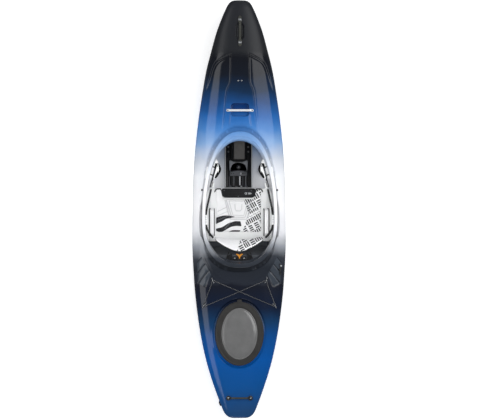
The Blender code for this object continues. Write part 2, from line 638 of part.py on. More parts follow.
# ------------------------------------------------------------------ backband, straps and ratchets
BAND_AXIS = (0.0, -0.228, 0.088)


def band_front(u, v):
    """Front face of the backband: u across, v from its lower to its upper edge."""
    w = 2 * u - 1
    x = (0.157 + 0.004 * v) * w
    low = -0.176 - 0.020 * (1 - w * w)
    high = -0.187 - 0.088 * (1 - abs(w) ** 1.5)
    lean = v ** 1.25
    z = 0.098 + 0.010 * w * w + (0.146 - 0.034 * abs(w) ** 1.6) * v
    return Vector((x, low + (high - low) * lean, z))


band = sheet("backband", band_front, 10, 4, 0.018, PAD)
hinge_point(band, BAND_AXIS)

RATCHET = (0.1775, 0.165, 0.2500)
RATCHET_YAW = math.radians(15)
for side, tag in ((-1, "left"), (1, "right")):
    yaw = Matrix.Rotation(side * RATCHET_YAW, 4, "Z")
    f = Matrix.Translation((side * RATCHET[0], RATCHET[1], RATCHET[2])) @ yaw
    prism("ratchet_" + tag, [(-0.024, -0.012), (0.024, -0.012), (0.028, -0.004), (0.024, 0.010), (-0.010, 0.012),
                             (-0.024, 0.008)], 0.0 if side > 0 else -0.010, 0.010 if side > 0 else 0.0, WHITE,
          axis="X", frame=f)
    lever_at = f @ Vector((-side * 0.0050, 0.010, 0.004))
    lf = f.copy()
    lf.translation = lever_at
    lever = prism("ratchet_lever_" + tag, [(-0.040, -0.004), (-0.038, 0.003), (-0.006, 0.006), (0.004, 0.004),
                                           (0.005, -0.003), (-0.004, -0.006), (-0.036, -0.007)],
                  -0.0040, 0.0040, WHITE, axis="X", frame=lf)
    hinge_point(lever, lever_at)
    ladder = [f @ Vector((side * 0.0125, y, 0.0)) for y in (-0.022, 0.020, 0.060, 0.100, 0.136)]
    strap("ladder_strap_" + tag, ladder, 0.016, 0.0028, BLACK)
    track = smooth_path([(side * 0.1895, 0.136, 0.2470), (side * 0.2020, 0.080, 0.2420), (side * 0.2170, 0.010, 0.2380),
                         (side * 0.2240, -0.040, 0.2370), (side * 0.2255, -0.085, 0.2360),
                         (side * 0.2170, -0.130, 0.2330), (side * 0.1960, -0.165, 0.2290),
                         (side * 0.1740, -0.1890, 0.2220)], 12)
    strap("backband_strap_" + tag, track, 0.020, 0.0022, WEB)

box("anchor_block", (-0.050, -0.3420, 0.2288), (0.050, -0.3120, 0.2400), BLACK)
for side, tag in ((-1, "left"), (1, "right")):
    m = Matrix.Translation((side * ANCHOR[0], ANCHOR[1], 0.2404))
    turned("anchor_screw_" + tag, [(0, 0), (0.0060, 0), (0.0055, 0.0025), (0.0030, 0.0040), (0, 0.0044)], STEEL, m, 12)
strap("backband_yoke", smooth_path([(0.0, -0.3060, 0.2320), (0.0, -0.3075, 0.2400), (0.0, -0.3130, 0.2450),
                                    (0.0, -0.3260, 0.2452)], 7), 0.014, 0.0036, ORANGE, up=Vector((1, 0, 0)))

# ------------------------------------------------------------------ handles, bar and screws on the deck
zb = [deck_z(0, y) for y in (1.300, 1.265, 1.240, 1.138, 1.112, 1.077)]
grip = [(1.292, zb[0] + GAP + 0.0008), (1.246, zb[2] + GAP + 0.0008), (1.232, zb[2] + 0.0150), (1.146, zb[3] + 0.0150),
        (1.132, zb[3] + GAP + 0.0008), (1.085, zb[5] + GAP + 0.0008), (1.085, zb[5] + 0.0060), (1.126, zb[4] + 0.0075),
        (1.142, zb[3] + 0.0240), (1.236, zb[2] + 0.0240), (1.252, zb[1] + 0.0075), (1.292, zb[0] + 0.0060)]
bow_handle = prism("bow_handle", grip, -0.0130, 0.0130, BLACK, axis="X")
handle_drills = [drill(deck_frame(0, y), 0.0034, -0.01, 0.03) for y in BOW_SCREWS]
boolean(bow_handle, join_helpers("bow_handle_holes", handle_drills), "DIFFERENCE")
bolt = [(0, -0.012), (0.0030, -0.012), (0.0030, 0.0), (0.0085, 0.0), (0.0080, 0.0022), (0.0050, 0.0040), (0, 0.0046)]
for y, tag in zip(BOW_SCREWS, ("front", "rear")):
    turned("bow_handle_screw_" + tag, bolt, STEEL, deck_frame(0, y, 0.0092), 12)

sx, sy = STERN_BOLTS
zs = deck_z(sx, sy)
zc = deck_z(0, sy)
slope = math.atan2(deck_z(sx + 0.014, sy) - deck_z(sx - 0.014, sy), 0.028)
under = lambda x: deck_z(x, sy) + 0.0012 + 0.0005
web_pts = [(sx + 0.014, under(sx + 0.014)), (sx - 0.013, under(sx - 0.013)), (0.040, zc + 0.0160), (0.0, zc + 0.0190)]
low_line = [(x, z) for x, z in web_pts] + [(-x, z) for x, z in reversed(web_pts[:-1])]
high_line = [(x, z + 0.0050) for x, z in reversed(low_line)]
stern_handle = prism("stern_handle", low_line + high_line, sy - 0.0110, sy + 0.0110, BLACK, axis="Y")
stern_drills = [drill(deck_frame(side * sx, sy), 0.0034, -0.01, 0.03) for side in (-1, 1)]
boolean(stern_handle, join_helpers("stern_handle_holes", stern_drills), "DIFFERENCE")
washer = [(0, -0.010), (0.0030, -0.010), (0.0030, 0.0), (0.0135, 0.0), (0.0135, 0.0025), (0.0075, 0.0032),
          (0.0060, 0.0060), (0, 0.0066)]
for side, tag in ((-1, "left"), (1, "right")):
    turned("stern_handle_bolt_" + tag, washer, STEEL, deck_frame(side * sx, sy, 0.0082), 14)

by = 0.660
bz = deck_z(0, by)
bar_low = [(0.091, deck_z(0.091, by) + 0.0012), (0.067, deck_z(0.067, by) + 0.0012), (0.058, bz + 0.0035)]
bar_high = [(0.091, deck_z(0.091, by) + 0.0050), (0.071, bz + 0.0090), (0.060, bz + 0.0110)]
bar = [(x, z) for x, z in bar_low] + [(-x, z) for x, z in reversed(bar_low)] \
    + [(-x, z) for x, z in bar_high] + [(x, z) for x, z in reversed(bar_high)]
prism("security_bar", bar, by - 0.0050, by + 0.0050, STEEL, axis="Y")

small = [(0, -0.008), (0.0020, -0.008), (0.0020, 0.0), (0.0048, 0.0), (0.0042, 0.0016), (0, 0.0024)]
rim_bolt = [(0, -0.012), (0.0030, -0.012), (0.0030, 0.0), (0.0075, 0.0), (0.0068, 0.0022), (0, 0.0036)]
for side, tag in ((-1, "left"), (1, "right")):
    turned("deck_screw_" + tag, small, STEEL, deck_frame(side * DECK_SCREW[0], DECK_SCREW[1], 0.0006), 10)
    turned("rim_bolt_" + tag, rim_bolt, STEEL, deck_frame(side * RIM_BOLT[0], RIM_BOLT[1], 0.0006), 12)

# ------------------------------------------------------------------ deck bungee on four pad eyes
corner = {(row, side): Vector((side * EYES[row][0], EYES[row][1], 0)) for row in EYES for side in (-1, 1)}
route = [("front", 1), ("rear", -1), ("front", -1), ("rear", 1)]
apex = {}
for i, key in enumerate(route):
    here = corner[key]
    before = (corner[route[i - 1]] - here).normalized()
    after = (corner[route[(i + 1) % 4]] - here).normalized()
    away = -(before + after).normalized()
    apex[key] = (away, Vector((-away.y, away.x, 0)))


def on_deck(x, y, lift):
    m = deck_frame(x, y, lift)
    return m.translation.copy()


points = []
for i, key in enumerate(route):
    nxt = route[(i + 1) % 4]
    a, b = corner[key], corner[nxt]
    away_a, along_a = apex[key]
    away_b, along_b = apex[nxt]
    heading = (b - a).normalized()
    if along_a.dot(heading) < 0:
        along_a = -along_a
    if along_b.dot(heading) > 0:
        along_b = -along_b
    points.append(on_deck(a.x, a.y, 0.0038))
    bend = a + along_a * 0.0065 - away_a * 0.0022
    points.append(on_deck(bend.x, bend.y, 0.0038))
    start, stop = bend + heading * 0.014 - away_a * 0.004, b + along_b * 0.0065 - away_b * 0.0022
    last = stop - heading * 0.014 - away_b * 0.004
    crossing = key[1] != nxt[1]
    count = 12 if crossing else 4
    for k in range(count):
        t = k / (count - 1)
        p = start.lerp(last, t)
        lift = 0.0038
        if crossing and key == ("front", -1):
            lift += 0.0062 * math.exp(-(((t - 0.43) / 0.075) ** 2))
        points.append(on_deck(p.x, p.y, lift))
    points.append(on_deck(stop.x, stop.y, 0.0038))
path = smooth_path(points, 96, cyclic=True)
cord("deck_bungee", path, BUNGEE_D, CORD, cyclic=True, resolution=2)

for (row, side), here in corner.items():
    away, along = apex[(row, side)]
    heading = math.atan2(along.y, along.x) - math.pi / 2
    f = deck_frame(here.x, here.y, 0.0008, heading)
    # arch across the cord: the cord passes along the frame's Y
    arch = [(-0.0200, 0.0), (-0.0085, 0.0), (-0.0075, 0.0080), (-0.0040, 0.0105), (0.0040, 0.0105), (0.0075, 0.0080),
            (0.0085, 0.0), (0.0200, 0.0), (0.0200, 0.0022), (0.0112, 0.0030), (0.0095, 0.0105), (0.0055, 0.0140),
            (-0.0055, 0.0140), (-0.0095, 0.0105), (-0.0112, 0.0030), (-0.0200, 0.0022)]
    prism("pad_eye_%s_%s" % (row, "right" if side > 0 else "left"), arch, -0.0028, 0.0028, STEEL, axis="Y", frame=f)

# ------------------------------------------------------------------ stern hatch
def oval_ring(name, profile, mat, count=32):
    """Ring of oval plan from (half-width, height) pairs; the half-length grows by the same amounts."""
    grow = HATCH_HALF[1] - HATCH_HALF[0]
    rings = []
    for i in range(count):
        a = 2 * math.pi * i / count
        rings.append([Vector((w * math.cos(a), HATCH_Y + (w + grow) * math.sin(a), z)) for w, z in profile])
    return loft(name, rings, mat, closed=True)


hz = HATCH_Z + GAP
oval_ring("hatch_rim", [(0.1640, hz), (0.1640, hz + 0.0035), (0.1500, hz + 0.0040), (0.1490, hz + 0.0150),
                        (0.1520, hz + 0.0180), (0.1440, hz + 0.0190), (0.1430, hz)], BLACK)


def lid():
    grow = HATCH_HALF[1] - HATCH_HALF[0]
    count = 32
    profile = [(0.0, hz + 0.0250), (0.1000, hz + 0.0235), (0.1160, hz + 0.0205), (0.1540, hz + 0.0205),
               (0.1545, hz + 0.0060), (0.1620, hz + 0.0060), (0.1620, hz + 0.0220), (0.1580, hz + 0.0255),
               (0.1260, hz + 0.0255), (0.1200, hz + 0.0300), (0.1050, hz + 0.0345), (0.0, hz + 0.0370)]
    verts = [Vector((0, HATCH_Y, profile[0][1]))]
    for w, z in profile[1:-1]:
        verts += [Vector((w * math.cos(2 * math.pi * i / count), HATCH_Y + (w + grow) * math.sin(2 * math.pi * i / count), z))
                  for i in range(count)]
    verts.append(Vector((0, HATCH_Y, profile[-1][1])))
    faces = []
    rows = len(profile) - 2
    for i in range(count):
        j = (i + 1) % count
        faces.append((0, 1 + i, 1 + j))
        for k in range(rows - 1):
            a, b = 1 + k * count, 1 + (k + 1) * count
            faces.append((a + i, b + i, b + j, a + j))
        a = 1 + (rows - 1) * count
        faces.append((a + i, len(verts) - 1, a + j))
    return obj_from("hatch_cover", verts, faces, RUBBER, smooth=True)


cover = lid()
tab = helper(box("hatch_tab", (-0.016, HATCH_Y + 0.2090, hz + 0.0185), (0.016, HATCH_Y + 0.2290, hz + 0.0225), None))
boolean(cover, tab, "UNION")
hinge_point(cover, (0.0, HATCH_Y, hz + 0.0060))

# ------------------------------------------------------------------ drop skeg
px, py, pz = SKEG_PIVOT
skeg_box = box("skeg_box", (-0.0190, -1.240, 0.0), (0.0190, -0.930, 0.158), BLACK)
boolean(skeg_box, trim, "INTERSECT")
cavity = box("skeg_cavity", (-0.0110, -1.228, -0.02), (0.0110, -0.942, 0.146), None)
bore = drill(Matrix.Translation((0, py, pz)) @ Matrix.Rotation(math.pi / 2, 4, "Y"), 0.0045, -0.03, 0.03)
boolean(skeg_box, join_helpers("skeg_box_cuts", [cavity]), "DIFFERENCE")
boolean(skeg_box, helper(bore), "DIFFERENCE")

blade_line = [(py + 0.014, pz - 0.006), (py + 0.016, pz + 0.006), (py + 0.008, pz + 0.016), (-1.060, 0.112),
              (-1.130, 0.124), (-1.180, 0.124), (-1.196, 0.108), (-1.192, 0.084), (-1.150, 0.070), (-1.080, 0.054),
              (-1.020, 0.044), (py + 0.002, 0.046)]
blade = prism("skeg_blade", blade_line, -SKEG_THICK / 2, SKEG_THICK / 2, BLACK, axis="X")
blade_bore = drill(Matrix.Translation((0, py, pz)) @ Matrix.Rotation(math.pi / 2, 4, "Y"), 0.0045, -0.03, 0.03, "blade_bore")
boolean(blade, helper(blade_bore), "DIFFERENCE")
hinge_point(blade, SKEG_PIVOT)
pin_frame = Matrix.Translation((0, py, pz)) @ Matrix.Rotation(math.pi / 2, 4, "Y")
turned("skeg_pin", [(0, -0.0225), (0.0040, -0.0225), (0.0040, 0.0225), (0, 0.0225)], STEEL, pin_frame, 10)

cf = deck_frame(CLEAT[0], CLEAT[1], 0.0012)
cleat = [(-0.0080, -0.037), (0.0080, -0.037), (0.0095, -0.020), (0.0080, 0.0), (0.0095, 0.020), (0.0080, 0.037),
         (-0.0080, 0.037), (-0.0095, 0.020), (-0.0080, 0.0), (-0.0095, -0.020)]
cleat_body = prism("skeg_cleat", cleat, 0.0, 0.0085, BLACK, frame=cf)
groove = helper(box("cleat_groove", (-0.0032, -0.031, 0.0035), (0.0032, 0.031, 0.02), None, frame=cf))
boolean(cleat_body, groove, "DIFFERENCE")
slider_at = cf @ Vector((0, 0.024, 0.0040))
sf = cf.copy()
sf.translation = slider_at
slider = prism("skeg_slider", [(-0.0055, 0.0050), (-0.0026, 0.0048), (-0.0026, 0.0), (0.0026, 0.0), (0.0026, 0.0048),
                               (0.0055, 0.0050), (0.0055, 0.0100), (-0.0055, 0.0100)], -0.0060, 0.0060, STEEL,
               axis="Y", frame=sf)
hinge_point(slider, slider_at)
start = cf @ Vector((0, 0.0, -0.0110))
cable = smooth_path([start, start + Vector((-0.006, -0.035, -0.018)), (0.238, -0.520, 0.192), (0.219, -0.690, 0.172),
                     (0.190, -0.850, 0.166), (0.140, -0.975, 0.168), (0.070, -1.060, 0.170), (0.006, -1.098, 0.1645)], 36)
cord("skeg_cable", cable, 0.006, BLACK, resolution=2)

drain = turned("drain_plug", [(0, -0.010), (0.0118, -0.010), (0.0118, 0.0006), (0.0175, 0.0006), (0.0170, 0.0050),
                              (0.0120, 0.0070), (0, 0.0074)], BLACK, drain_frame @ Matrix.Translation((0, 0, 0.0012)), 16)
hinge_point(drain, drain_frame.translation)
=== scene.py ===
import json
import math

import bmesh
import bpy
import numpy as np
from mathutils import Matrix, Vector

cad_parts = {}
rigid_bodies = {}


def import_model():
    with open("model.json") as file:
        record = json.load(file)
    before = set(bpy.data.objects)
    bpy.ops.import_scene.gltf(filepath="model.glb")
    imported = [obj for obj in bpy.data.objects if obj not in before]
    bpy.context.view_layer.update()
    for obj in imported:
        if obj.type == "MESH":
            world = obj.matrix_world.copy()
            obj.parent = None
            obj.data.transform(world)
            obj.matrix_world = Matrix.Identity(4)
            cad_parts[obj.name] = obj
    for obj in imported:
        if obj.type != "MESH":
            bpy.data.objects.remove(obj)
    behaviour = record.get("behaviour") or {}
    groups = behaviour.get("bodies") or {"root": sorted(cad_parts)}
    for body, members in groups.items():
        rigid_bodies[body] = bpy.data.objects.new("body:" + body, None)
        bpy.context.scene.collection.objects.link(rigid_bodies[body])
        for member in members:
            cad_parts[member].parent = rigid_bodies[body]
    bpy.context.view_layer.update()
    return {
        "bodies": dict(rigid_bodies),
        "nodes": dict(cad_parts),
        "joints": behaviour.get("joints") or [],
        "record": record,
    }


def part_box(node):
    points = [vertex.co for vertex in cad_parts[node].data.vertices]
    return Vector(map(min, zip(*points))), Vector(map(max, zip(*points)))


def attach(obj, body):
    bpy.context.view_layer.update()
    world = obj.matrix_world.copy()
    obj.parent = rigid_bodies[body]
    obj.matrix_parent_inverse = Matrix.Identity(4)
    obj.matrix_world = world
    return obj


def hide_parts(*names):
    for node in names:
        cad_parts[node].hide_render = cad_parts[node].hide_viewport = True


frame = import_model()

# ==================================================================== dimensions, the same as the solids'
WALL = 0.005
GAP = 0.0005
DECK_POWER = 0.87
HULL_POWER = 0.78
HALF_BEAM = [(-1.395, 0.048), (-1.386, 0.074), (-1.360, 0.100), (-1.310, 0.122), (-1.220, 0.156), (-1.110, 0.193),
             (-1.000, 0.224), (-0.860, 0.254), (-0.700, 0.279), (-0.500, 0.300), (-0.203, 0.3135), (0.100, 0.3105),
             (0.350, 0.2985), (0.600, 0.2730), (0.760, 0.2500), (0.920, 0.2230), (1.060, 0.1880), (1.180, 0.1550),
             (1.270, 0.1220), (1.335, 0.0940), (1.372, 0.0740), (1.388, 0.0560), (1.395, 0.0360)]
KEEL = [(-1.395, 0.186), (-1.386, 0.166), (-1.360, 0.136), (-1.310, 0.108), (-1.220, 0.077), (-1.100, 0.047),
        (-0.950, 0.022), (-0.750, 0.005), (-0.550, 0.0), (0.0, 0.0), (0.550, 0.0), (0.720, 0.005), (0.900, 0.022),
        (1.080, 0.054), (1.220, 0.098), (1.310, 0.143), (1.360, 0.183), (1.386, 0.222), (1.395, 0.244)]
GUNWALE = [(-1.395, 0.210), (-1.250, 0.190), (-1.000, 0.173), (-0.700, 0.165), (-0.300, 0.166), (0.100, 0.175),
           (0.500, 0.196), (0.800, 0.219), (1.100, 0.252), (1.300, 0.278), (1.395, 0.285)]
DECK = [(-1.395, 0.224), (-1.386, 0.231), (-1.340, 0.238), (-1.150, 0.241), (-0.900, 0.241), (-0.650, 0.244),
        (-0.500, 0.248), (-0.400, 0.255), (-0.250, 0.275), (0.0, 0.303), (0.300, 0.326), (0.500, 0.336),
        (0.620, 0.343), (0.800, 0.347), (1.000, 0.344), (1.200, 0.337), (1.340, 0.330), (1.386, 0.321), (1.395, 0.312)]
FLAT = [(-1.395, 0.018), (-1.300, 0.036), (-1.100, 0.072), (-0.800, 0.112), (-0.500, 0.138), (0.0, 0.146),
        (0.500, 0.138), (0.800, 0.104), (1.100, 0.056), (1.300, 0.024), (1.395, 0.012)]
RIM_OUT = (0.520, -0.390, -0.070, 0.251)
RIM_NECK = (0.495, -0.367, -0.070, 0.237)
RIM_TOP = (0.486, -0.359, -0.070, 0.2305)
RIM_LEDGE = (0.457, -0.343, -0.070, 0.2285)
RIM_HEIGHT = [(-0.400, 0.288), (-0.200, 0.297), (0.0, 0.313), (0.300, 0.343), (0.520, 0.366)]
APRON = (0.556, -0.497, -0.070, 0.270)
HATCH_Y = -0.830
HATCH_Z = 0.2275
HATCH_HALF = (0.162, 0.213)
SKEG_PIVOT = (0.0, -0.985, 0.078)
BOW_SCREWS = (1.265, 1.112)
STERN_BOLTS = (0.0727, -1.260)
EYES = {"front": (0.1775, -0.474), "rear": (0.236, -0.645)}
BUNGEE_D = 0.005
RIM_BOLT = (0.2500, 0.130)
ANCHOR = (0.031, -0.327)
DECK_SCREW = (0.0115, 0.858)
CLEAT = (0.272, -0.400)
DRAIN_AT = (-1.300, 0.165)
FLOOR = WALL + GAP


# ==================================================================== curves
def fair(table, at):
    """Monotone cubic through a table of offsets, for a number or an array."""
    xs = np.array([p[0] for p in table])
    ys = np.array([p[1] for p in table])
    a = np.clip(np.asarray(at, float), xs[0], xs[-1])
    h = np.diff(xs)
    d = np.diff(ys) / h
    both = d[:-1] * d[1:]
    total = d[:-1] + d[1:]
    m = np.concatenate([[d[0]], np.where(both <= 0, 0.0, 2 * both / np.where(total == 0, 1, total)), [d[-1]]])
    i = np.clip(np.searchsorted(xs, a, side="right") - 1, 0, len(xs) - 2)
    t = (a - xs[i]) / h[i]
    out = ((2 * t**3 - 3 * t**2 + 1) * ys[i] + (t**3 - 2 * t**2 + t) * h[i] * m[i]
           + (-2 * t**3 + 3 * t**2) * ys[i + 1] + (t**3 - t**2) * h[i] * m[i + 1])
    return float(out) if np.ndim(at) == 0 else out


def smooth(a, b, x):
    t = np.clip((np.asarray(x, float) - a) / (b - a), 0, 1)
    return t * t * (3 - 2 * t)


def power(v, e):
    return np.sign(v) * np.abs(v) ** e


def egg(phi, shape, nf=2.20, nr=2.34):
    """Point of an egg outline; phi is 0 at the bow and runs towards starboard."""
    front, rear, wide, half = shape
    s, c = np.sin(phi), np.cos(phi)
    n = np.where(c >= 0, nf, nr)
    reach = np.where(c >= 0, front - wide, wide - rear)
    return half * power(s, 2 / n), wide + reach * power(c, 2 / n)


def egg_level(x, y, shape, nf=2.20, nr=2.34):
    """1 on the egg outline, under 1 inside it."""
    front, rear, wide, half = shape
    n = np.where(y >= wide, nf, nr)
    reach = np.where(y >= wide, front - wide, wide - rear)
    return (np.abs(x / half) ** n + np.abs((y - wide) / reach) ** n) ** (1 / n)


# ==================================================================== the deck's moulded relief
SPINE = [(0.45, 0.158), (0.500, 0.136), (0.534, 0.121), (0.568, 0.1095), (0.632, 0.1015), (0.694, 0.0955), (0.757, 0.0900),
         (0.797, 0.0835), (0.819, 0.0750), (0.840, 0.0645), (0.880, 0.0600), (1.044, 0.0565), (1.10, 0.055)]
CAP_ARC = [(0.0, 1.050), (0.056, 1.043), (0.110, 1.021), (0.150, 0.996), (0.172, 0.970), (0.187, 0.935), (0.199, 0.895),
           (0.211, 0.855), (0.226, 0.805), (0.245, 0.74), (0.30, 0.55)]
CREASE = [(0.40, 0.246), (0.567, 0.228), (0.678, 0.208), (0.789, 0.196), (0.91, 0.176), (1.0, 0.150)]
CHEV_A = [(-0.4415, 0.182), (-0.4075, 0.207), (-0.365, 0.229), (-0.323, 0.252), (-0.290, 0.266)]


def gutter(y):
    """Width, depth and steepness of the gutter beside the coaming's lip."""
    front, rear = smooth(0.10, 0.46, y), smooth(-0.22, -0.36, y)
    mid = smooth(0.075, 0.020, y) * smooth(-0.215, -0.170, y)
    return (0.0085 + 0.0285 * front + 0.0225 * rear + 0.0060 * mid, 0.0150 - 0.0040 * front - 0.0040 * rear + 0.0080 * mid,
            0.0022 + 0.0010 * front)


def relief(x, y):
    """Height of the moulded features above the plain crowned deck."""
    x, y = np.asarray(x, float), np.asarray(y, float)
    ax = np.abs(x)
    b = fair(HALF_BEAM, y)
    edge = 1 - np.clip(ax / b, 0, 1) ** 9
    out = np.zeros(np.broadcast(x, y).shape)
    # recessed side panels of the foredeck, behind the bow cap and beside the raised spine
    off = ax - fair(SPINE, y)
    beside = 1 - np.exp(-np.maximum(off, 0.0) / 0.0032)
    arc = fair(CAP_ARC, ax)
    slope = (fair(CAP_ARC, ax + 0.002) - fair(CAP_ARC, np.maximum(ax - 0.002, 0))) / 0.004
    behind = (arc - y) / np.sqrt(1 + slope**2)
    front = 1 - np.exp(-np.maximum(behind, 0.0) / 0.0042)
    foot = np.exp(-((behind - 0.013) / 0.010) ** 2)
    along = smooth(0.505, 0.640, y)
    out = out - beside * front * along * edge * (0.0076 + 0.0050 * foot)
    out = out - np.exp(-((off - 0.0125) / 0.0042) ** 2) * front * along * 0.0008
    # soft shoulder crease outboard of the panels
    crease = np.clip(1 - np.abs(ax - fair(CREASE, y)) / 0.030, 0, 1)
    out = out + 0.0022 * smooth(0, 1, crease) * smooth(0.42, 0.56, y) * smooth(0.86, 0.70, y)
    # tail of the pocket: a low raised tongue towards the cockpit
    tongue = smooth(0.006, 0.0, ax - 0.0595 - 0.115 * (0.635 - y)) * smooth(0.548, 0.575, y) * smooth(0.646, 0.634, y)
    out = out + 0.0040 * tongue
    # sunken gutter round the coaming, widest at its front, and a low apron behind it
    gap = (egg_level(x, y, RIM_OUT) - 1) * np.hypot(x, y - RIM_OUT[2])
    width, deep, fade = gutter(y)
    out = out - deep * (1 - np.exp(-np.maximum(width - gap, 0.0) / fade))
    away = (egg_level(x, y, APRON) - 1) * np.hypot(x, y - APRON[2])
    apron = smooth(0.0010, -0.0075, away) * smooth(-0.004, 0.006, gap - width) * smooth(-0.20, -0.36, y)
    out = out + 0.0034 * apron
    # chevron steps on the quarter decks: narrow grooves with a steep rear side
    t = -0.762 * ax - 0.648 * y
    step = (t - 0.0137) / 0.0479
    to_line = (step - np.round(step)) * 0.0479
    inner = fair(CHEV_A, y)
    ok = smooth(0.0, 0.005, ax - inner) * smooth(0.010, 0.0, ax - (b - 0.022))
    ok = ok * smooth(-0.08, 0.04, step) * smooth(3.12, 3.04, step)
    ok = ok * smooth(0.0, 0.004, 0.9036 * (ax - 0.1853) + 0.428 * (y + 0.4287)) * smooth(0.0, 0.004, y + 0.4989 - 0.442 * (ax - 0.2697))
    out = out - ok * (0.0008 + 0.0042 * np.exp(-(to_line / np.where(to_line > 0, 0.0024, 0.0042)) ** 2))
    return out


def base_deck(x, y, inset=0.0):
    x, y = np.asarray(x, float), np.asarray(y, float)
    b, g, d = fair(HALF_BEAM, y) - inset, fair(GUNWALE, y), fair(DECK, y) - inset
    c = np.minimum(np.abs(x) / b, 1.0) ** (1 / DECK_POWER)
    return g + (d - g) * np.maximum(1 - c * c, 0.0) ** (DECK_POWER / 2)


def top_z(x, y, inset=0.0):
    return base_deck(x, y, inset) + relief(x, y)


def deck_z(x, y):
    return float(base_deck(float(x), float(y)))


def deck_frame(x, y, lift=0.0, heading=0.0):
    e = 0.004
    dx = Vector((2 * e, 0, deck_z(x + e, y) - deck_z(x - e, y)))
    dy = Vector((0, 2 * e, deck_z(x, y + e) - deck_z(x, y - e)))
    n = dx.cross(dy).normalized()
    fore = (Vector((0, 1, 0)) - n * n.y).normalized()
    side = fore.cross(n)
    m = Matrix((side, fore, n)).transposed().to_4x4()
    m.translation = Vector((x, y, deck_z(x, y))) + n * lift
    return m @ Matrix.Rotation(heading, 4, "Z")


def side_x(y, z, inset=0.0):
    b, k, g = fair(HALF_BEAM, y) - inset, fair(KEEL, y) + inset, fair(GUNWALE, y)
    f = min(fair(FLAT, y), 0.8 * b)
    c = min(max(1 - (z - k) / (g - k), 0.0), 1.0) ** (1 / HULL_POWER)
    return f + (b - f) * (1 - c * c) ** (HULL_POWER / 2)


# ==================================================================== materials
class Nodes:
    """Short calls for building a node tree."""

    def __init__(self, name):
        self.mat = bpy.data.materials.new(name)
        self.mat.use_nodes = True
        self.tree = self.mat.node_tree
        self.shader = self.tree.nodes["Principled BSDF"]

    def new(self, kind, **values):
        node = self.tree.nodes.new(kind)
        for key, value in values.items():
            if hasattr(node, key):
                setattr(node, key, value)
            else:
                node.inputs[key.replace("_", " ")].default_value = value
        return node

    def link(self, a, b):
        self.tree.links.new(a, b)

    def set(self, **values):
        for key, value in values.items():
            self.shader.inputs[key.replace("_", " ")].default_value = value

    def coords(self, scale=(1, 1, 1), rotation=(0, 0, 0)):
        tex = self.new("ShaderNodeTexCoord")
        mapping = self.new("ShaderNodeMapping")
        mapping.inputs["Scale"].default_value = scale
        mapping.inputs["Rotation"].default_value = rotation
        self.link(tex.outputs["Object"], mapping.inputs["Vector"])
        return mapping.outputs["Vector"]

    def noise(self, scale, detail=3.0, rough=0.5, vector=None, distortion=0.0):
        n = self.new("ShaderNodeTexNoise")
        n.inputs["Scale"].default_value = scale
        n.inputs["Detail"].default_value = detail
        n.inputs["Roughness"].default_value = rough
        n.inputs["Distortion"].default_value = distortion
        self.link(vector or self.coords(), n.inputs["Vector"])
        return n.outputs["Fac"]

    def ramp(self, fac, stops, mode="RGB"):
        r = self.new("ShaderNodeValToRGB")
        e = r.color_ramp.elements
        while len(e) < len(stops):
            e.new(0.5)
        for slot, (at, colour) in zip(e, stops):
            slot.position = at
            slot.color = colour if len(colour) == 4 else (*colour, 1)
        self.link(fac, r.inputs["Fac"])
        return r.outputs["Color"]

    def range(self, value, a, b, c, d):
        r = self.new("ShaderNodeMapRange")
        for key, v in (("From Min", a), ("From Max", b), ("To Min", c), ("To Max", d)):
            r.inputs[key].default_value = v
        self.link(value, r.inputs["Value"])
        return r.outputs["Result"]

    def math(self, op, a, b=None, c=None):
        m = self.new("ShaderNodeMath")
        m.operation = op
        for slot, v in zip(m.inputs, (a, b, c)):
            if v is None:
                continue
            if isinstance(v, (int, float)):
                slot.default_value = v
            else:
                self.link(v, slot)
        return m.outputs[0]

    def mix(self, fac, a, b, blend="MIX"):
        m = self.new("ShaderNodeMix")
        m.data_type = "RGBA"
        m.blend_type = blend
        for slot, v in ((m.inputs[0], fac), (m.inputs[6], a), (m.inputs[7], b)):
            if isinstance(v, (int, float)):
                slot.default_value = v
            elif isinstance(v, tuple):
                slot.default_value = v if len(v) == 4 else (*v, 1)
            else:
                self.link(v, slot)
        return m.outputs[2]

    def bump(self, height, distance, strength=1.0, normal=None):
        b = self.new("ShaderNodeBump")
        b.inputs["Distance"].default_value = distance
        b.inputs["Strength"].default_value = strength
        self.link(height, b.inputs["Height"])
        if normal:
            self.link(normal, b.inputs["Normal"])
        return b.outputs["Normal"]

    def out(self, colour=None, rough=None, normal=None, **others):
        for value, name in ((colour, "Base Color"), (rough, "Roughness"), (normal, "Normal")):
            if value is not None:
                self.link(value, self.shader.inputs[name])
        for key, value in others.items():
            self.link(value, self.shader.inputs[key.replace("_", " ")])
        return self.mat


def lin(hexa):
    """sRGB hex to linear."""
    c = [int(hexa[i:i + 2], 16) / 255 for i in (1, 3, 5)]
    return tuple(v / 12.92 if v <= 0.04045 else ((v + 0.055) / 1.055) ** 2.4 for v in c)


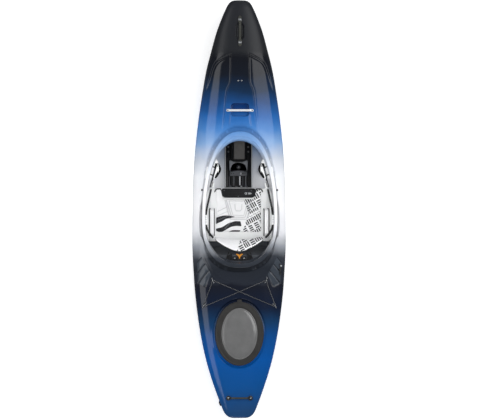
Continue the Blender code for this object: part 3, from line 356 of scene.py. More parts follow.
def hull_material():
    """Coloured polyethylene: one colour flows into the next along the boat, with moulded grain and rack wear."""
    m = Nodes("hull_polyethylene")
    tex = m.new("ShaderNodeTexCoord")
    split = m.new("ShaderNodeSeparateXYZ")
    m.link(tex.outputs["Object"], split.inputs[0])
    cloud = m.noise(5.5, 3.0, 0.55)
    drift = m.range(cloud, 0.3, 0.7, -0.020, 0.020)
    at = m.range(m.math("ADD", split.outputs["Y"], drift), -1.395, 1.395, 0.0, 1.0)

    def stop(y, colour):
        return ((y + 1.395) / 2.79, lin(colour))
    colour = m.ramp(at, [
        stop(-1.36, "#1e426d"), stop(-1.18, "#0c4c8d"), stop(-1.00, "#06509c"), stop(-0.88, "#0c4a8d"),
        stop(-0.76, "#13385f"), stop(-0.66, "#111d33"), stop(-0.512, "#171a24"), stop(-0.494, "#262a33"), stop(-0.40, "#23272e"),
        stop(-0.315, "#373b42"), stop(-0.235, "#93979e"), stop(-0.14, "#e4e5e9"), stop(0.02, "#f4f4f6"),
        stop(0.22, "#eceef2"), stop(0.33, "#c3cbd8"), stop(0.44, "#82a6d4"), stop(0.53, "#4881c4"),
        stop(0.62, "#2663aa"), stop(0.70, "#19467e"), stop(0.79, "#142d4b"), stop(0.90, "#141923"),
        stop(1.01, "#13151b"), stop(1.06, "#1d1f23"), stop(1.39, "#202227")])
    # painted shade in the gutter round the coaming, where the lip's shadow falls, broken up by noise
    dust_and_shade = m.new("ShaderNodeAttribute")
    dust_and_shade.attribute_name = "gutter"
    gutter_shade_level = m.math("MULTIPLY", dust_and_shade.outputs["Fac"], m.range(m.noise(40.0, 3.0), 0.3, 0.7, 0.85, 1.0))
    colour = m.mix(m.math("MULTIPLY", gutter_shade_level, 0.97), colour, m.mix(0.90, colour, lin("#0b0c0f")))
    # chevron facets on the quarter decks: painted highlight on the pale plateaus and painted shade in the dark grooves
    # between them
    ax = m.math("ABSOLUTE", split.outputs["X"])
    t = m.math("ADD", m.math("MULTIPLY", ax, -0.762 / 0.0479), m.math("MULTIPLY", split.outputs["Y"], -0.648 / 0.0479))
    step = m.math("SUBTRACT", t, 0.0137 / 0.0479)
    near = m.math("PINGPONG", m.math("ADD", step, 10.0), 0.5)
    inside = m.range(m.math("SUBTRACT", m.math("SUBTRACT", ax, m.math("MULTIPLY", split.outputs["Y"], 0.554)), 0.4280), 0.0, 0.003, 0.0, 1.0)
    b0, b1 = float(fair(HALF_BEAM, -0.30)), float(fair(HALF_BEAM, -0.46))
    rise = (b0 - b1) / 0.16
    brim = m.math("SUBTRACT", m.math("SUBTRACT", ax, m.math("MULTIPLY", split.outputs["Y"], rise)), b0 + 0.30 * rise - 0.024)
    mask = m.math("MULTIPLY", inside, m.range(brim, 0.002, -0.004, 0.0, 1.0))
    mask = m.math("MULTIPLY", mask, m.math("MULTIPLY", m.range(step, -0.06, 0.02, 0.0, 1.0), m.range(step, 3.12, 3.06, 0.0, 1.0)))
    flank = m.math("ADD", m.math("MULTIPLY", ax, 0.9036), m.math("MULTIPLY", split.outputs["Y"], 0.428))
    foot = m.math("SUBTRACT", split.outputs["Y"], m.math("MULTIPLY", ax, 0.442))
    mask = m.math("MULTIPLY", mask, m.range(flank, -0.0160, -0.0135, 0.0, 1.0))
    mask = m.math("MULTIPLY", mask, m.range(foot, -0.6181, -0.6156, 0.0, 1.0))
    mask = m.math("MULTIPLY", mask, m.range(split.outputs["Z"], 0.13, 0.15, 0.0, 1.0))
    groove = m.range(near, 0.045, 0.085, 1.0, 0.0)
    # painted highlight: the facets paler, more so further aft
    colour = m.mix(m.math("MULTIPLY", mask, m.range(split.outputs["Y"], -0.27, -0.33, 0.0, 0.42)), colour, lin("#4b535c"))
    # painted shade in the grooves
    colour = m.mix(m.math("MULTIPLY", m.math("MULTIPLY", mask, groove), 0.80), colour, lin("#0d0f13"))
    # the pocket under the bar lies in shade, deepest at its front
    deep = m.math("MULTIPLY", m.range(split.outputs["Z"], 0.3395, 0.3350, 0.0, 1.0), m.range(ax, 0.066, 0.063, 0.0, 1.0))
    deep = m.math("MULTIPLY", deep, m.range(split.outputs["Z"], 0.285, 0.295, 0.0, 1.0))
    deep = m.math("MULTIPLY", deep, m.math("MULTIPLY", m.range(split.outputs["Y"], 0.714, 0.709, 0.0, 1.0),
                                           m.range(split.outputs["Y"], 0.612, 0.618, 0.0, 1.0)))
    colour = m.mix(m.math("MULTIPLY", deep, m.range(split.outputs["Y"], 0.640, 0.684, 0.10, 0.78)), colour, lin("#022c66"))
    # painted shade along the creases beside the tongue that runs from the pocket to the cockpit
    beside = m.math("SUBTRACT", m.math("ADD", ax, m.math("MULTIPLY", split.outputs["Y"], 0.115)), 0.0655 + 0.115 * 0.635)
    beside = m.range(m.math("ABSOLUTE", beside), 0.0010, 0.0034, 1.0, 0.0)
    beside = m.math("MULTIPLY", beside, m.math("MULTIPLY", m.range(split.outputs["Y"], 0.545, 0.575, 0.0, 1.0),
                                               m.range(split.outputs["Y"], 0.652, 0.640, 0.0, 1.0)))
    beside = m.math("MULTIPLY", beside, m.range(split.outputs["Z"], 0.322, 0.330, 0.0, 0.38))
    colour = m.mix(beside, colour, lin("#0b3a7c"))
    speck = m.noise(900.0, 2.0, 0.6)
    colour = m.mix(m.range(speck, 0.35, 0.65, 0.0, 0.05), colour, (0.5, 0.5, 0.5), "OVERLAY")
    # the underside is scuffed by ground and racks: thin pale scratches along the boat
    low = m.range(split.outputs["Z"], 0.030, 0.006, 0.0, 1.0)
    scratch = m.noise(1.0, 6.0, 0.75, m.coords((260.0, 7.0, 120.0)))
    lines = m.range(scratch, 0.62, 0.68, 0.0, 0.38)
    colour = m.mix(m.math("MULTIPLY", low, lines), colour, lin("#9aa2ad"))
    matt = m.range(split.outputs["Y"], 1.00, 1.06, 0.0, 0.30)
    grain = m.noise(420.0, 3.0, 0.6)
    peel = m.noise(70.0, 2.0, 0.5)
    rough = m.math("ADD", m.range(grain, 0.3, 0.7, 0.08, 0.11), matt)
    rough = m.math("ADD", rough, m.math("MULTIPLY", low, 0.12))
    normal = m.bump(peel, 0.0003, 0.25)
    normal = m.bump(grain, 0.00008, 0.40, normal)
    m.set(Specular_IOR_Level=0.30)
    return m.out(colour, rough, normal)


HULL_MAT = hull_material()


# ==================================================================== dense hull skin
class Skin:
    """Points and faces of one mesh, joined from grids and rings."""

    def __init__(self):
        self.points = []
        self.count = 0
        self.faces = []

    def add(self, pts):
        pts = np.asarray(pts, float)
        ids = np.arange(self.count, self.count + len(pts))
        self.points.append(pts)
        self.count += len(pts)
        return ids

    def where(self):
        return np.concatenate(self.points)

    def band(self, a, b):
        """Quads between two closed rings of equal length."""
        n = len(a)
        for i in range(n):
            j = (i + 1) % n
            self.faces.append((int(a[i]), int(a[j]), int(b[j]), int(b[i])))

    def zip(self, a, pa, b, pb, centre):
        """Triangles between two closed rings of any length that run anticlockwise round the centre."""
        ta = np.unwrap(np.arctan2(pa[:, 1] - centre[1], pa[:, 0] - centre[0]))
        tb = np.unwrap(np.arctan2(pb[:, 1] - centre[1], pb[:, 0] - centre[0]))
        k = int(np.argmin(np.abs((tb - ta[0] + math.pi) % (2 * math.pi) - math.pi)))
        b = np.roll(b, -k)
        tb = np.roll(tb, -k)
        tb[len(tb) - k:] += 2 * math.pi
        tb = tb + round((ta[0] - tb[0]) / (2 * math.pi)) * 2 * math.pi
        i = j = 0
        na, nb = len(a), len(b)
        ta = np.append(ta, ta[0] + 2 * math.pi)
        tb = np.append(tb, tb[0] + 2 * math.pi)
        while i < na or j < nb:
            if j >= nb or (i < na and ta[i + 1] <= tb[j + 1]):
                self.faces.append((int(a[i % na]), int(a[(i + 1) % na]), int(b[j % nb])))
                i += 1
            else:
                self.faces.append((int(a[i % na]), int(b[(j + 1) % nb]), int(b[j % nb])))
                j += 1

    def rings(self, loop, loop_points, rings, centre):
        """A patch: zips the loop to the first ring, then joins the rings in turn. Gives the last ring's indices."""
        last = self.add(rings[0])
        self.zip(loop, loop_points, last, np.asarray(rings[0]), centre)
        for ring in rings[1:]:
            now = self.add(ring)
            self.band(last, now)
            last = now
        return last

    def cap(self, ring, point):
        tip = int(self.add([point])[0])
        n = len(ring)
        for i in range(n):
            self.faces.append((int(ring[i]), int(ring[(i + 1) % n]), tip))


def half_section(y, inset, nf, nb, nd):
    """Half cross-section from the keel's centre line to the deck's, evenly spaced in each part."""
    b, k = fair(HALF_BEAM, y) - inset, fair(KEEL, y) + inset
    g, d = fair(GUNWALE, y), fair(DECK, y) - inset
    f = min(fair(FLAT, y), 0.8 * b)
    u = np.linspace(0, math.pi / 2, 161)
    bx, bz = f + (b - f) * np.sin(u) ** HULL_POWER, k + (g - k) * (1 - np.cos(u) ** HULL_POWER)
    dx, dz = b * np.cos(u) ** DECK_POWER, g + (d - g) * np.sin(u) ** DECK_POWER

    def even(px, pz, n):
        s = np.concatenate([[0], np.cumsum(np.hypot(np.diff(px), np.diff(pz)))])
        t = np.linspace(0, s[-1], n + 1)
        return np.interp(t, s, px), np.interp(t, s, pz)
    ex, ez = even(bx, bz, nb)
    # deck points crowd together at the sharp edge of the spine
    pull = 2.6 * float(smooth(0.46, 0.56, y) * smooth(1.075, 1.045, y))
    along = np.concatenate([[0], np.cumsum(np.hypot(np.diff(dx), np.diff(dz)))])
    weight = 1 + pull * np.exp(-(((dx - float(fair(SPINE, y)) - 0.004) / 0.0085) ** 2))
    grow = np.concatenate([[0], np.cumsum((weight[1:] + weight[:-1]) / 2 * np.diff(along))])
    t = np.interp(np.linspace(0, grow[-1], nd + 1), grow, along)
    tx, tz = np.interp(t, along, dx), np.interp(t, along, dz)
    tx[-1] = 0.0
    tz = np.where(np.arange(nd + 1) == 0, tz, base_deck(tx, y, inset))
    tz = tz + relief(tx, np.full_like(tx, y))
    x = np.concatenate([np.linspace(0, f, nf + 1)[:-1], ex, tx[1:]])
    z = np.concatenate([np.full(nf, k), ez, tz[1:]])
    return x, z


class Grid:
    def __init__(self, skin, ys, inset, nf, nb, nd):
        self.skin, self.inset = skin, inset
        m = nf + nb + nd
        self.ring = 2 * m
        pts = []
        for y in ys:
            x, z = half_section(y, inset, nf, nb, nd)
            pts.append(np.stack([np.concatenate([x, -x[-2:0:-1]]), np.full(2 * m, y), np.concatenate([z, z[-2:0:-1]])], 1))
        self.p = np.array(pts)
        self.keep = np.ones((len(ys) - 1, self.ring), bool)
        j = np.arange(self.ring)
        self.top = (j > nf + nb) & (j < 2 * m - nf - nb)
        self.low = (j < nf) | (j > 2 * m - nf)
        self.ids = None
        self.loops = []

    def cut(self, outline, part, surface):
        """Opens a hole inside the outline, and moves the hole's edge onto it."""
        outline = np.asarray(outline)
        centre = outline.mean(0)
        angle = np.arctan2(outline[:, 1] - centre[1], outline[:, 0] - centre[0])
        radius = np.hypot(outline[:, 0] - centre[0], outline[:, 1] - centre[1])
        order = np.argsort(angle)
        angle, radius = angle[order], radius[order]
        angle = np.concatenate([angle - 2 * math.pi, angle, angle + 2 * math.pi])
        radius = np.tile(radius, 3)
        x, y = self.p[:, :, 0], self.p[:, :, 1]
        a = np.arctan2(y - centre[1], x - centre[0])
        r = np.hypot(x - centre[0], y - centre[1])
        inside = (r < np.interp(a, angle, radius)) & part[None, :]
        nxt = np.roll(inside, -1, axis=1)
        kill = inside[:-1] | inside[1:] | nxt[:-1] | nxt[1:]
        count = {}
        for i, j in zip(*np.nonzero(kill)):
            k = (j + 1) % self.ring
            for e in (((i, j), (i, k)), ((i, k), (i + 1, k)), ((i + 1, k), (i + 1, j)), ((i + 1, j), (i, j))):
                e = ((int(e[0][0]), int(e[0][1])), (int(e[1][0]), int(e[1][1])))
                if (e[1], e[0]) in count:
                    del count[(e[1], e[0])]
                else:
                    count[e] = True
        step = {e[0]: e[1] for e in count}
        start = next(iter(step))
        loop = [start]
        while step[loop[-1]] != start:
            loop.append(step[loop[-1]])
        self.keep &= ~kill
        for i, j in loop:
            px, py = self.p[i, j, 0], self.p[i, j, 1]
            t = math.atan2(py - centre[1], px - centre[0])
            rr = float(np.interp(t, angle, radius))
            qx, qy = centre[0] + rr * math.cos(t), centre[1] + rr * math.sin(t)
            self.p[i, j] = (qx, qy, float(surface(qx, qy)))
        pts = np.array([self.p[i, j] for i, j in loop])
        area = np.sum(pts[:, 0] * np.roll(pts[:, 1], -1) - np.roll(pts[:, 0], -1) * pts[:, 1])
        if area < 0:
            loop = loop[::-1]
        self.loops.append((loop, centre))
        return len(self.loops) - 1

    def build(self, ends=True):
        base = self.skin.count
        flat = self.p.reshape(-1, 3)
        n, r = self.p.shape[0], self.ring
        used = np.zeros((n, r), bool)
        k = np.roll(self.keep, 1, axis=1)
        used[:-1] |= self.keep | k
        used[1:] |= self.keep | k
        index = np.full(n * r, -1)
        index[used.reshape(-1)] = np.arange(used.sum())
        self.ids = self.skin.add(flat[used.reshape(-1)])
        index = np.where(index >= 0, index + base, -1).reshape(n, r)
        for i, j in zip(*np.nonzero(self.keep)):
            k = (j + 1) % r
            self.skin.faces.append((int(index[i, j]), int(index[i, k]), int(index[i + 1, k]), int(index[i + 1, j])))
        self.index = index
        if ends:
            for row, way in ((0, -1), (n - 1, 1)):
                ring = self.p[row]
                mid = Vector((0, ring[0, 1], (ring[:, 2].min() + ring[:, 2].max()) / 2))
                last = index[row]
                for scale, out in ((0.955, 0.0009), (0.87, 0.0016), (0.72, 0.0021), (0.5, 0.0024), (0.25, 0.0025)):
                    pts = ring.copy()
                    pts[:, 0] *= scale
                    pts[:, 2] = mid.z + (pts[:, 2] - mid.z) * scale
                    pts[:, 1] += way * out
                    now = self.skin.add(pts)
                    self.skin.band(last, now) if way < 0 else self.skin.band(last[::-1], now[::-1])
                    last = now
                self.skin.cap(last, (0, mid.y + way * 0.0025, mid.z))

    def loop(self, number):
        loop, centre = self.loops[number]
        ids = np.array([self.index[i, j] for i, j in loop])
        pts = np.array([self.p[i, j] for i, j in loop])
        return ids, pts, centre


def egg_ring(shape, count, other=None, r=0.0):
    phi = -2 * math.pi * np.arange(count) / count
    x, y = egg(phi, shape)
    if other is not None:
        xo, yo = egg(phi, other)
        x, y = x + (xo - x) * r, y + (yo - y) * r
    return np.stack([x, y], 1)


def offset(ring, d):
    t = np.roll(ring, -1, axis=0) - np.roll(ring, 1, axis=0)
    t = t / np.linalg.norm(t, axis=1)[:, None]
    return ring + np.stack([t[:, 1], -t[:, 0]], 1) * d


def even_ring(ring, count):
    """The closed outline read at even steps."""
    closed = np.concatenate([ring, ring[:1]])
    s = np.concatenate([[0], np.cumsum(np.linalg.norm(np.diff(closed, axis=0), axis=1))])
    t = np.linspace(0, s[-1], count + 1)[:-1]
    return np.stack([np.interp(t, s, closed[:, k]) for k in range(closed.shape[1])], 1)


def box_ring(half, low, high, radius, count):
    pts = []
    for cx, cy, start in ((half - radius, high - radius, 0), (-half + radius, high - radius, 90),
                          (-half + radius, low + radius, 180), (half - radius, low + radius, 270)):
        for i in range(9):
            a = math.radians(start + 90 * i / 8)
            pts.append((cx + radius * math.cos(a), cy + radius * math.sin(a)))
    return even_ring(np.array(pts), count)


def oval_ring(rx, ry, cy, count):
    a = 2 * math.pi * np.arange(count) / count
    return np.stack([rx * np.cos(a), cy + ry * np.sin(a)], 1)


def with_z(ring, z):
    z = np.broadcast_to(z, len(ring))
    return np.column_stack([ring, z])


def mesh_object(name, points, faces, mats, smooth_angle=None, recalc=True):
    mesh = bpy.data.meshes.new(name)
    mesh.from_pydata([tuple(p) for p in np.asarray(points, float)], [], faces)
    mesh.validate()
    if recalc:
        bm = bmesh.new()
        bm.from_mesh(mesh)
        bmesh.ops.recalc_face_normals(bm, faces=bm.faces)
        bm.to_mesh(mesh)
        bm.free()
    for m in mats if isinstance(mats, (list, tuple)) else [mats]:
        mesh.materials.append(m)
    obj = bpy.data.objects.new(name, mesh)
    bpy.context.scene.collection.objects.link(obj)
    mesh.shade_smooth()
    if smooth_angle:
        mesh.set_sharp_from_angle(angle=math.radians(smooth_angle))
    return obj


def stations(tips, fine, step, close, last):
    """Even stations with closer ones at the tips and in the fine spans."""
    ys = [-last + t for t in tips]
    y = ys[-1]
    end = last - tips[-1]
    while True:
        span = any(a <= y <= b for a, b in fine)
        y += close if span else step
        if y > end - step * 0.5:
            break
        ys.append(y)
    ys += [last - t for t in reversed(tips)]
    return ys


def build_hull():
    skin = Skin()
    q = 1.0
    tips = [0.0, 0.0015, 0.0035, 0.006, 0.0095, 0.014, 0.0195, 0.026, 0.0335]
    outer = Grid(skin, stations(tips, [(-0.535, -0.285), (0.86, 1.060)], 0.0084 * q, 0.0042 * q, 1.3925), 0.0,
                 5, 11, int(66 / q))
    inner = Grid(skin, stations([0.0, 0.008, 0.018, 0.030], [], 0.020, 0.020, 1.378), WALL, 5, 9, 26)
    n = 260
    neck = egg_ring(RIM_NECK, n)
    hatch = lambda d: oval_ring(0.167 + d, 0.218 + d, HATCH_Y, 168)
    pocket = box_ring(0.060, 0.621, 0.706, 0.020, 96)
    tub = box_ring(0.024, 1.136, 1.241, 0.0200, 72)
    slot = box_ring(0.0085, -1.205, -0.963, 0.0080, 96)
    keel = lambda x, y, up=0.0: fair(KEEL, y) + up
    o = [outer.cut(offset(neck, 0.0265), outer.top, top_z),
         outer.cut(hatch(0.026), outer.top, top_z),
         outer.cut(offset(pocket, 0.011), outer.top, top_z),
         outer.cut(offset(tub, 0.009), outer.top, top_z),
         outer.cut(offset(slot, 0.008), outer.low, keel)]
    under = lambda x, y: top_z(x, y, WALL)
    i = [inner.cut(offset(neck, 0.014), inner.top, under),
         inner.cut(hatch(0.022), inner.top, under),
         inner.cut(offset(pocket, 0.016), inner.top, under),
         inner.cut(offset(tub, 0.016), inner.top, under),
         inner.cut(offset(slot, 0.014), inner.low, lambda x, y: keel(x, y, WALL))]
    outer.build()
    inner.build()

    def surf(ring, add=0.0, inset=0.0):
        return with_z(ring, top_z(ring[:, 0], ring[:, 1], inset) + add)

    # ---- coaming: fillet, neck, rolled lip, inner wall and ledge
    rim = lambda ring, dz: with_z(ring, fair(RIM_HEIGHT, ring[:, 1]) + dz)
    rows = [surf(offset(neck, d), h) for d, h in ((0.024, 0.0), (0.018, 0.0001), (0.0135, 0.0006), (0.010, 0.0015),
            (0.0072, 0.0029), (0.0048, 0.0048), (0.0028, 0.0074), (0.0013, 0.0105), (0.0004, 0.0140))]
    for d, dz in ((0.0, -0.0150), (0.0003, -0.0130), (0.0012, -0.0118), (0.0030, -0.0112)):
        rows.append(rim(offset(neck, d), dz))
    for r, dz in ((0.35, -0.0110), (0.60, -0.0110), (0.80, -0.0112), (0.91, -0.0112), (0.965, -0.0104), (0.993, -0.0090),
                  (1.0, -0.0072), (0.990, -0.0054), (0.955, -0.0038), (0.89, -0.0026), (0.78, -0.0017), (0.60, -0.0010),
                  (0.35, -0.0005), (0.10, -0.0002)):
        rows.append(rim(egg_ring(RIM_NECK, n, RIM_OUT, r), dz))
    for r, dz in ((0.65, 0.0), (0.40, -0.0004), (0.20, -0.0013), (0.07, -0.0027), (0.0, -0.0046)):
        rows.append(rim(egg_ring(RIM_TOP, n, RIM_NECK, r), dz))
    top = egg_ring(RIM_TOP, n)
    ledge = egg_ring(RIM_LEDGE, n)
    top_h = fair(RIM_HEIGHT, top[:, 1]) - 0.0046
    low_h = base_deck(ledge[:, 0], ledge[:, 1]) - 0.0050
    for w in (0.10, 0.24, 0.40, 0.56, 0.72, 0.86, 0.95):
        # the inner wall drops steeply at the sides and leans far inwards at the front
        lateral = (w ** (1.25 - 0.93 * smooth(0.26, 0.46, top[:, 1])))[:, None]
        rows.append(np.column_stack([top + (ledge - top) * lateral, top_h + (low_h - top_h) * w]))
    for d, dz in ((-0.0002, -0.0005), (-0.0006, -0.0020), (0.0, -0.0036), (0.0016, -0.0048), (0.0050, -0.0052)):
        rows.append(np.column_stack([offset(ledge, d), low_h + dz]))
    final = offset(neck, 0.006)
    rows.append(with_z(final, base_deck(final[:, 0], final[:, 1]) - 0.0100))
    ids, pts, centre = outer.loop(o[0])
    last = skin.rings(ids, pts, rows, centre)
    ids, pts, centre = inner.loop(i[0])
    skin.zip(ids, pts, last, rows[-1], centre)

    # ---- stern hatch: recess, moat, seat and hole
    def lower(d, z, part):
        ring = hatch(d)
        deck = top_z(ring[:, 0], ring[:, 1])
        return with_z(ring, deck + (z - deck) * part)
    rows = [lower(0.021, HATCH_Z, 0.03), lower(0.017, HATCH_Z, 0.12), lower(0.0135, HATCH_Z, 0.34),
            lower(0.011, HATCH_Z - 0.0005, 0.62), lower(0.0085, HATCH_Z - 0.0015, 0.88), lower(0.006, HATCH_Z - 0.0022, 1.0),
            lower(0.0035, HATCH_Z - 0.0022, 1.0), lower(0.0015, HATCH_Z - 0.0010, 1.0), lower(0.0, HATCH_Z, 1.0),
            lower(-0.006, HATCH_Z, 1.0), lower(-0.013, HATCH_Z, 1.0), lower(-0.0178, HATCH_Z, 1.0),
            lower(-0.0188, HATCH_Z - 0.0006, 1.0), lower(-0.0190, HATCH_Z - 0.0022, 1.0),
            lower(-0.0185, HATCH_Z - 0.0042, 1.0), lower(-0.0170, HATCH_Z - 0.0050, 1.0),
            lower(0.0030, HATCH_Z - 0.0050, 1.0), lower(0.0090, HATCH_Z - 0.0050, 1.0)]
    ids, pts, centre = outer.loop(o[1])
    last = skin.rings(ids, pts, rows, centre)
    ids, pts, centre = inner.loop(i[1])
    skin.zip(ids, pts, last, rows[-1], centre)

    # ---- pockets: rolled edge, wall, floor
    def cup(outline, floor, under_floor, number, rise=0.0):
        front = outline[:, 1].max()

        def up(ring):
            return rise * (front - ring[:, 1])
        rows = [surf(offset(outline, d), h) for d, h in ((0.0075, 0.0), (0.0050, -0.0002), (0.0030, -0.0008),
                (0.0015, -0.0018), (0.0005, -0.0031), (0.0, -0.0048))]
        wall = rows[-1][:, 2]
        for w, d in ((0.35, -0.0002), (0.7, -0.0006)):
            rows.append(with_z(offset(outline, d), wall + (floor + 0.007 + up(offset(outline, d)) - wall) * w))
        for d, z in ((-0.0010, 0.0070), (-0.0018, 0.0042), (-0.0034, 0.0020), (-0.0056, 0.0008), (-0.0084, 0.0001),
                     (-0.0110, 0.0)):
            rows.append(with_z(offset(outline, d), floor + z + up(offset(outline, d))))
        ids, pts, centre = outer.loop(o[number])
        last = skin.rings(ids, pts, rows, centre)
        mid = outline.mean(0)
        for s in (0.6, 0.3):
            ring = mid + (rows[-1][:, :2] - mid) * s
            now = skin.add(with_z(ring, floor + up(ring)))
            skin.band(last, now)
            last = now
        skin.cap(last, (mid[0], mid[1], floor + rise * (front - mid[1])))
        low = [surf(offset(outline, 0.0115), -0.0006, WALL), surf(offset(outline, 0.0080), -0.0024, WALL),
               surf(offset(outline, 0.0060), -0.0060, WALL)]
        wall = low[-1][:, 2]
        for w, d in ((0.5, 0.0052), (1.0, 0.0046)):
            low.append(with_z(offset(outline, d), wall + (under_floor + 0.004 + up(offset(outline, d)) - wall) * w))
        low.append(with_z(offset(outline, 0.0030), under_floor + 0.0012 + up(offset(outline, 0.0030))))
        low.append(with_z(offset(outline, 0.0), under_floor + up(outline)))
        ids, pts, centre = inner.loop(i[number])
        last = skin.rings(ids, pts, low, centre)
        for s in (0.6, 0.3):
            ring = mid + (low[-1][:, :2] - mid) * s
            now = skin.add(with_z(ring, under_floor + up(ring)))
            skin.band(last, now)
            last = now
        skin.cap(last, (mid[0], mid[1], under_floor + rise * (front - mid[1])))
    cup(pocket, 0.3115, 0.3060, 2, 0.100)
    cup(tub, 0.3110, 0.3055, 3)

    # ---- slot of the skeg
    rows = []
    for d, up in ((0.0050, 0.0), (0.0025, 0.0002), (0.0010, 0.0008), (0.0, 0.0022), (0.0, 0.0040), (0.0012, 0.0048),
                  (0.0040, 0.0050)):
        ring = offset(slot, d)
        rows.append(with_z(ring, keel(0, ring[:, 1]) + up))
    ids, pts, centre = outer.loop(o[4])
    last = skin.rings(ids, pts, rows, centre)
    ids, pts, centre = inner.loop(i[4])
    skin.zip(ids, pts, last, rows[-1], centre)
    return mesh_object("hull_moulding", skin.where(), skin.faces, HULL_MAT, 60)


hull = build_hull()
_co = np.empty(len(hull.data.vertices) * 3)
hull.data.vertices.foreach_get("co", _co)
_co = _co.reshape(-1, 3)
# painted shade for the gutter beside the coaming's lip: how far each point lies in it, weaker at the front and rear,
# read by the hull's material
_gap = (egg_level(_co[:, 0], _co[:, 1], RIM_OUT) - 1) * np.hypot(_co[:, 0], _co[:, 1] - RIM_OUT[2])
_width, _deep, _fade = gutter(_co[:, 1])
_low = ((_gap > 0.0008) | ((_gap > -0.0105) & (_co[:, 2] < fair(RIM_HEIGHT, _co[:, 1]) - 0.0120))) & (_co[:, 2] > 0.15)
_gutter_shade = np.where(_low, 1 - np.exp(-np.maximum(_width - _gap, 0.0) / 0.0035), 0.0)
_gutter_shade *= np.interp(_co[:, 1], (-0.40, -0.26, -0.18, 0.02, 0.12, 0.50), (0.52, 0.58, 1.0, 1.0, 0.46, 0.30))
hull.data.attributes.new("gutter", "FLOAT", "POINT").data.foreach_set("value", _gutter_shade)
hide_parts("hull_shell")
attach(hull, "hull")

# ==================================================================== shape helpers
def bake(obj):
    """Applies a piece's modifiers."""
    deps = bpy.context.evaluated_depsgraph_get()
    deps.update()
    mesh = bpy.data.meshes.new_from_object(obj.evaluated_get(deps), depsgraph=deps)
    old = obj.data
    obj.modifiers.clear()
    obj.data = mesh
    bpy.data.meshes.remove(old)
    return obj


def place(obj, body, slot_name, *nodes):
    if nodes:
        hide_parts(*nodes)
    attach(obj, body)
    return obj


def spline(points, count, closed=False):
    """Centripetal Catmull-Rom line through the points."""
    p = [Vector(q) for q in points]
    n = len(p)
    if closed:
        p = [p[-1]] + p + [p[0], p[1]]
        spans = n
    else:
        p = [p[0] * 2 - p[1]] + p + [p[-1] * 2 - p[-2]]
        spans = n - 1
    dense = []
    for k in range(spans):
        a, b, c, d = p[k:k + 4]
        ta = 0.0
        tb = ta + max((b - a).length, 1e-9) ** 0.5
        tc = tb + max((c - b).length, 1e-9) ** 0.5
        td = tc + max((d - c).length, 1e-9) ** 0.5
        for i in range(24):
            t = tb + (tc - tb) * i / 24
            a1 = a * ((tb - t) / (tb - ta)) + b * ((t - ta) / (tb - ta))
            a2 = b * ((tc - t) / (tc - tb)) + c * ((t - tb) / (tc - tb))
            a3 = c * ((td - t) / (td - tc)) + d * ((t - tc) / (td - tc))
            b1 = a1 * ((tc - t) / (tc - ta)) + a2 * ((t - ta) / (tc - ta))
            b2 = a2 * ((td - t) / (td - tb)) + a3 * ((t - tb) / (td - tb))
            dense.append(b1 * ((tc - t) / (tc - tb)) + b2 * ((t - tb) / (tc - tb)))
    dense.append(dense[0].copy() if closed else Vector(p[-2]))
    arr = np.array([tuple(q) for q in dense])
    s = np.concatenate([[0], np.cumsum(np.linalg.norm(np.diff(arr, axis=0), axis=1))])
    t = np.linspace(0, s[-1], count + 1)[:-1] if closed else np.linspace(0, s[-1], count)
    return np.stack([np.interp(t, s, arr[:, k]) for k in range(3)], 1)


def sweep(name, path, ring, mat, up=(0, 0, 1), closed=False, uv=True, scale=None, smooth_angle=50):
    """Closed solid: the 2-D ring (side, up) carried along the path."""
    path = np.asarray(path, float)
    n, m = len(path), len(ring)
    ring = np.asarray(ring, float)
    if closed:
        tan = np.roll(path, -1, axis=0) - np.roll(path, 1, axis=0)
    else:
        tan = np.gradient(path, axis=0)
    tan /= np.linalg.norm(tan, axis=1)[:, None]
    ups = np.array([up(path[i], tan[i]) if callable(up) else up for i in range(n)], float)
    side = np.cross(tan, ups)
    side /= np.linalg.norm(side, axis=1)[:, None]
    top = np.cross(side, tan)
    pts = []
    for i in range(n):
        k = 1.0 if scale is None else scale(i / (n - 1))
        pts.append(path[i] + side[i] * ring[:, :1] * k + top[i] * ring[:, 1:2] * (k if scale is None else min(1, k)))
    pts = np.concatenate(pts)
    faces = []
    span = n if closed else n - 1
    for i in range(span):
        a, b = i * m, ((i + 1) % n) * m
        for j in range(m):
            k = (j + 1) % m
            faces.append((a + j, b + j, b + k, a + k))
    if not closed:
        faces.append(tuple(range(m)))
        faces.append(tuple(reversed(range((n - 1) * m, n * m))))
    obj = mesh_object(name, pts, faces, mat, smooth_angle)
    if uv:
        length = np.concatenate([[0], np.cumsum(np.linalg.norm(np.diff(path, axis=0), axis=1))])
        layer = obj.data.uv_layers.new(name="along")
        for poly in obj.data.polygons:
            for li in poly.loop_indices:
                vi = obj.data.loops[li].vertex_index
                layer.data[li].uv = (length[vi // m], ring[vi % m][0])
    return obj


def flat_ring(width, thick, n=3):
    """Rounded rectangle, width by thick, centred."""
    r = thick * 0.48
    pts = []
    for cx, cy, start in ((width / 2 - r, thick / 2 - r, 0), (-width / 2 + r, thick / 2 - r, 90),
                          (-width / 2 + r, -thick / 2 + r, 180), (width / 2 - r, -thick / 2 + r, 270)):
        for i in range(n + 1):
            a = math.radians(start + 90 * i / n)
            pts.append((cx + r * math.cos(a), cy + r * math.sin(a)))
    return pts


def round_ring(r, n=10):
    return [(r * math.cos(2 * math.pi * i / n), r * math.sin(2 * math.pi * i / n)) for i in range(n)]


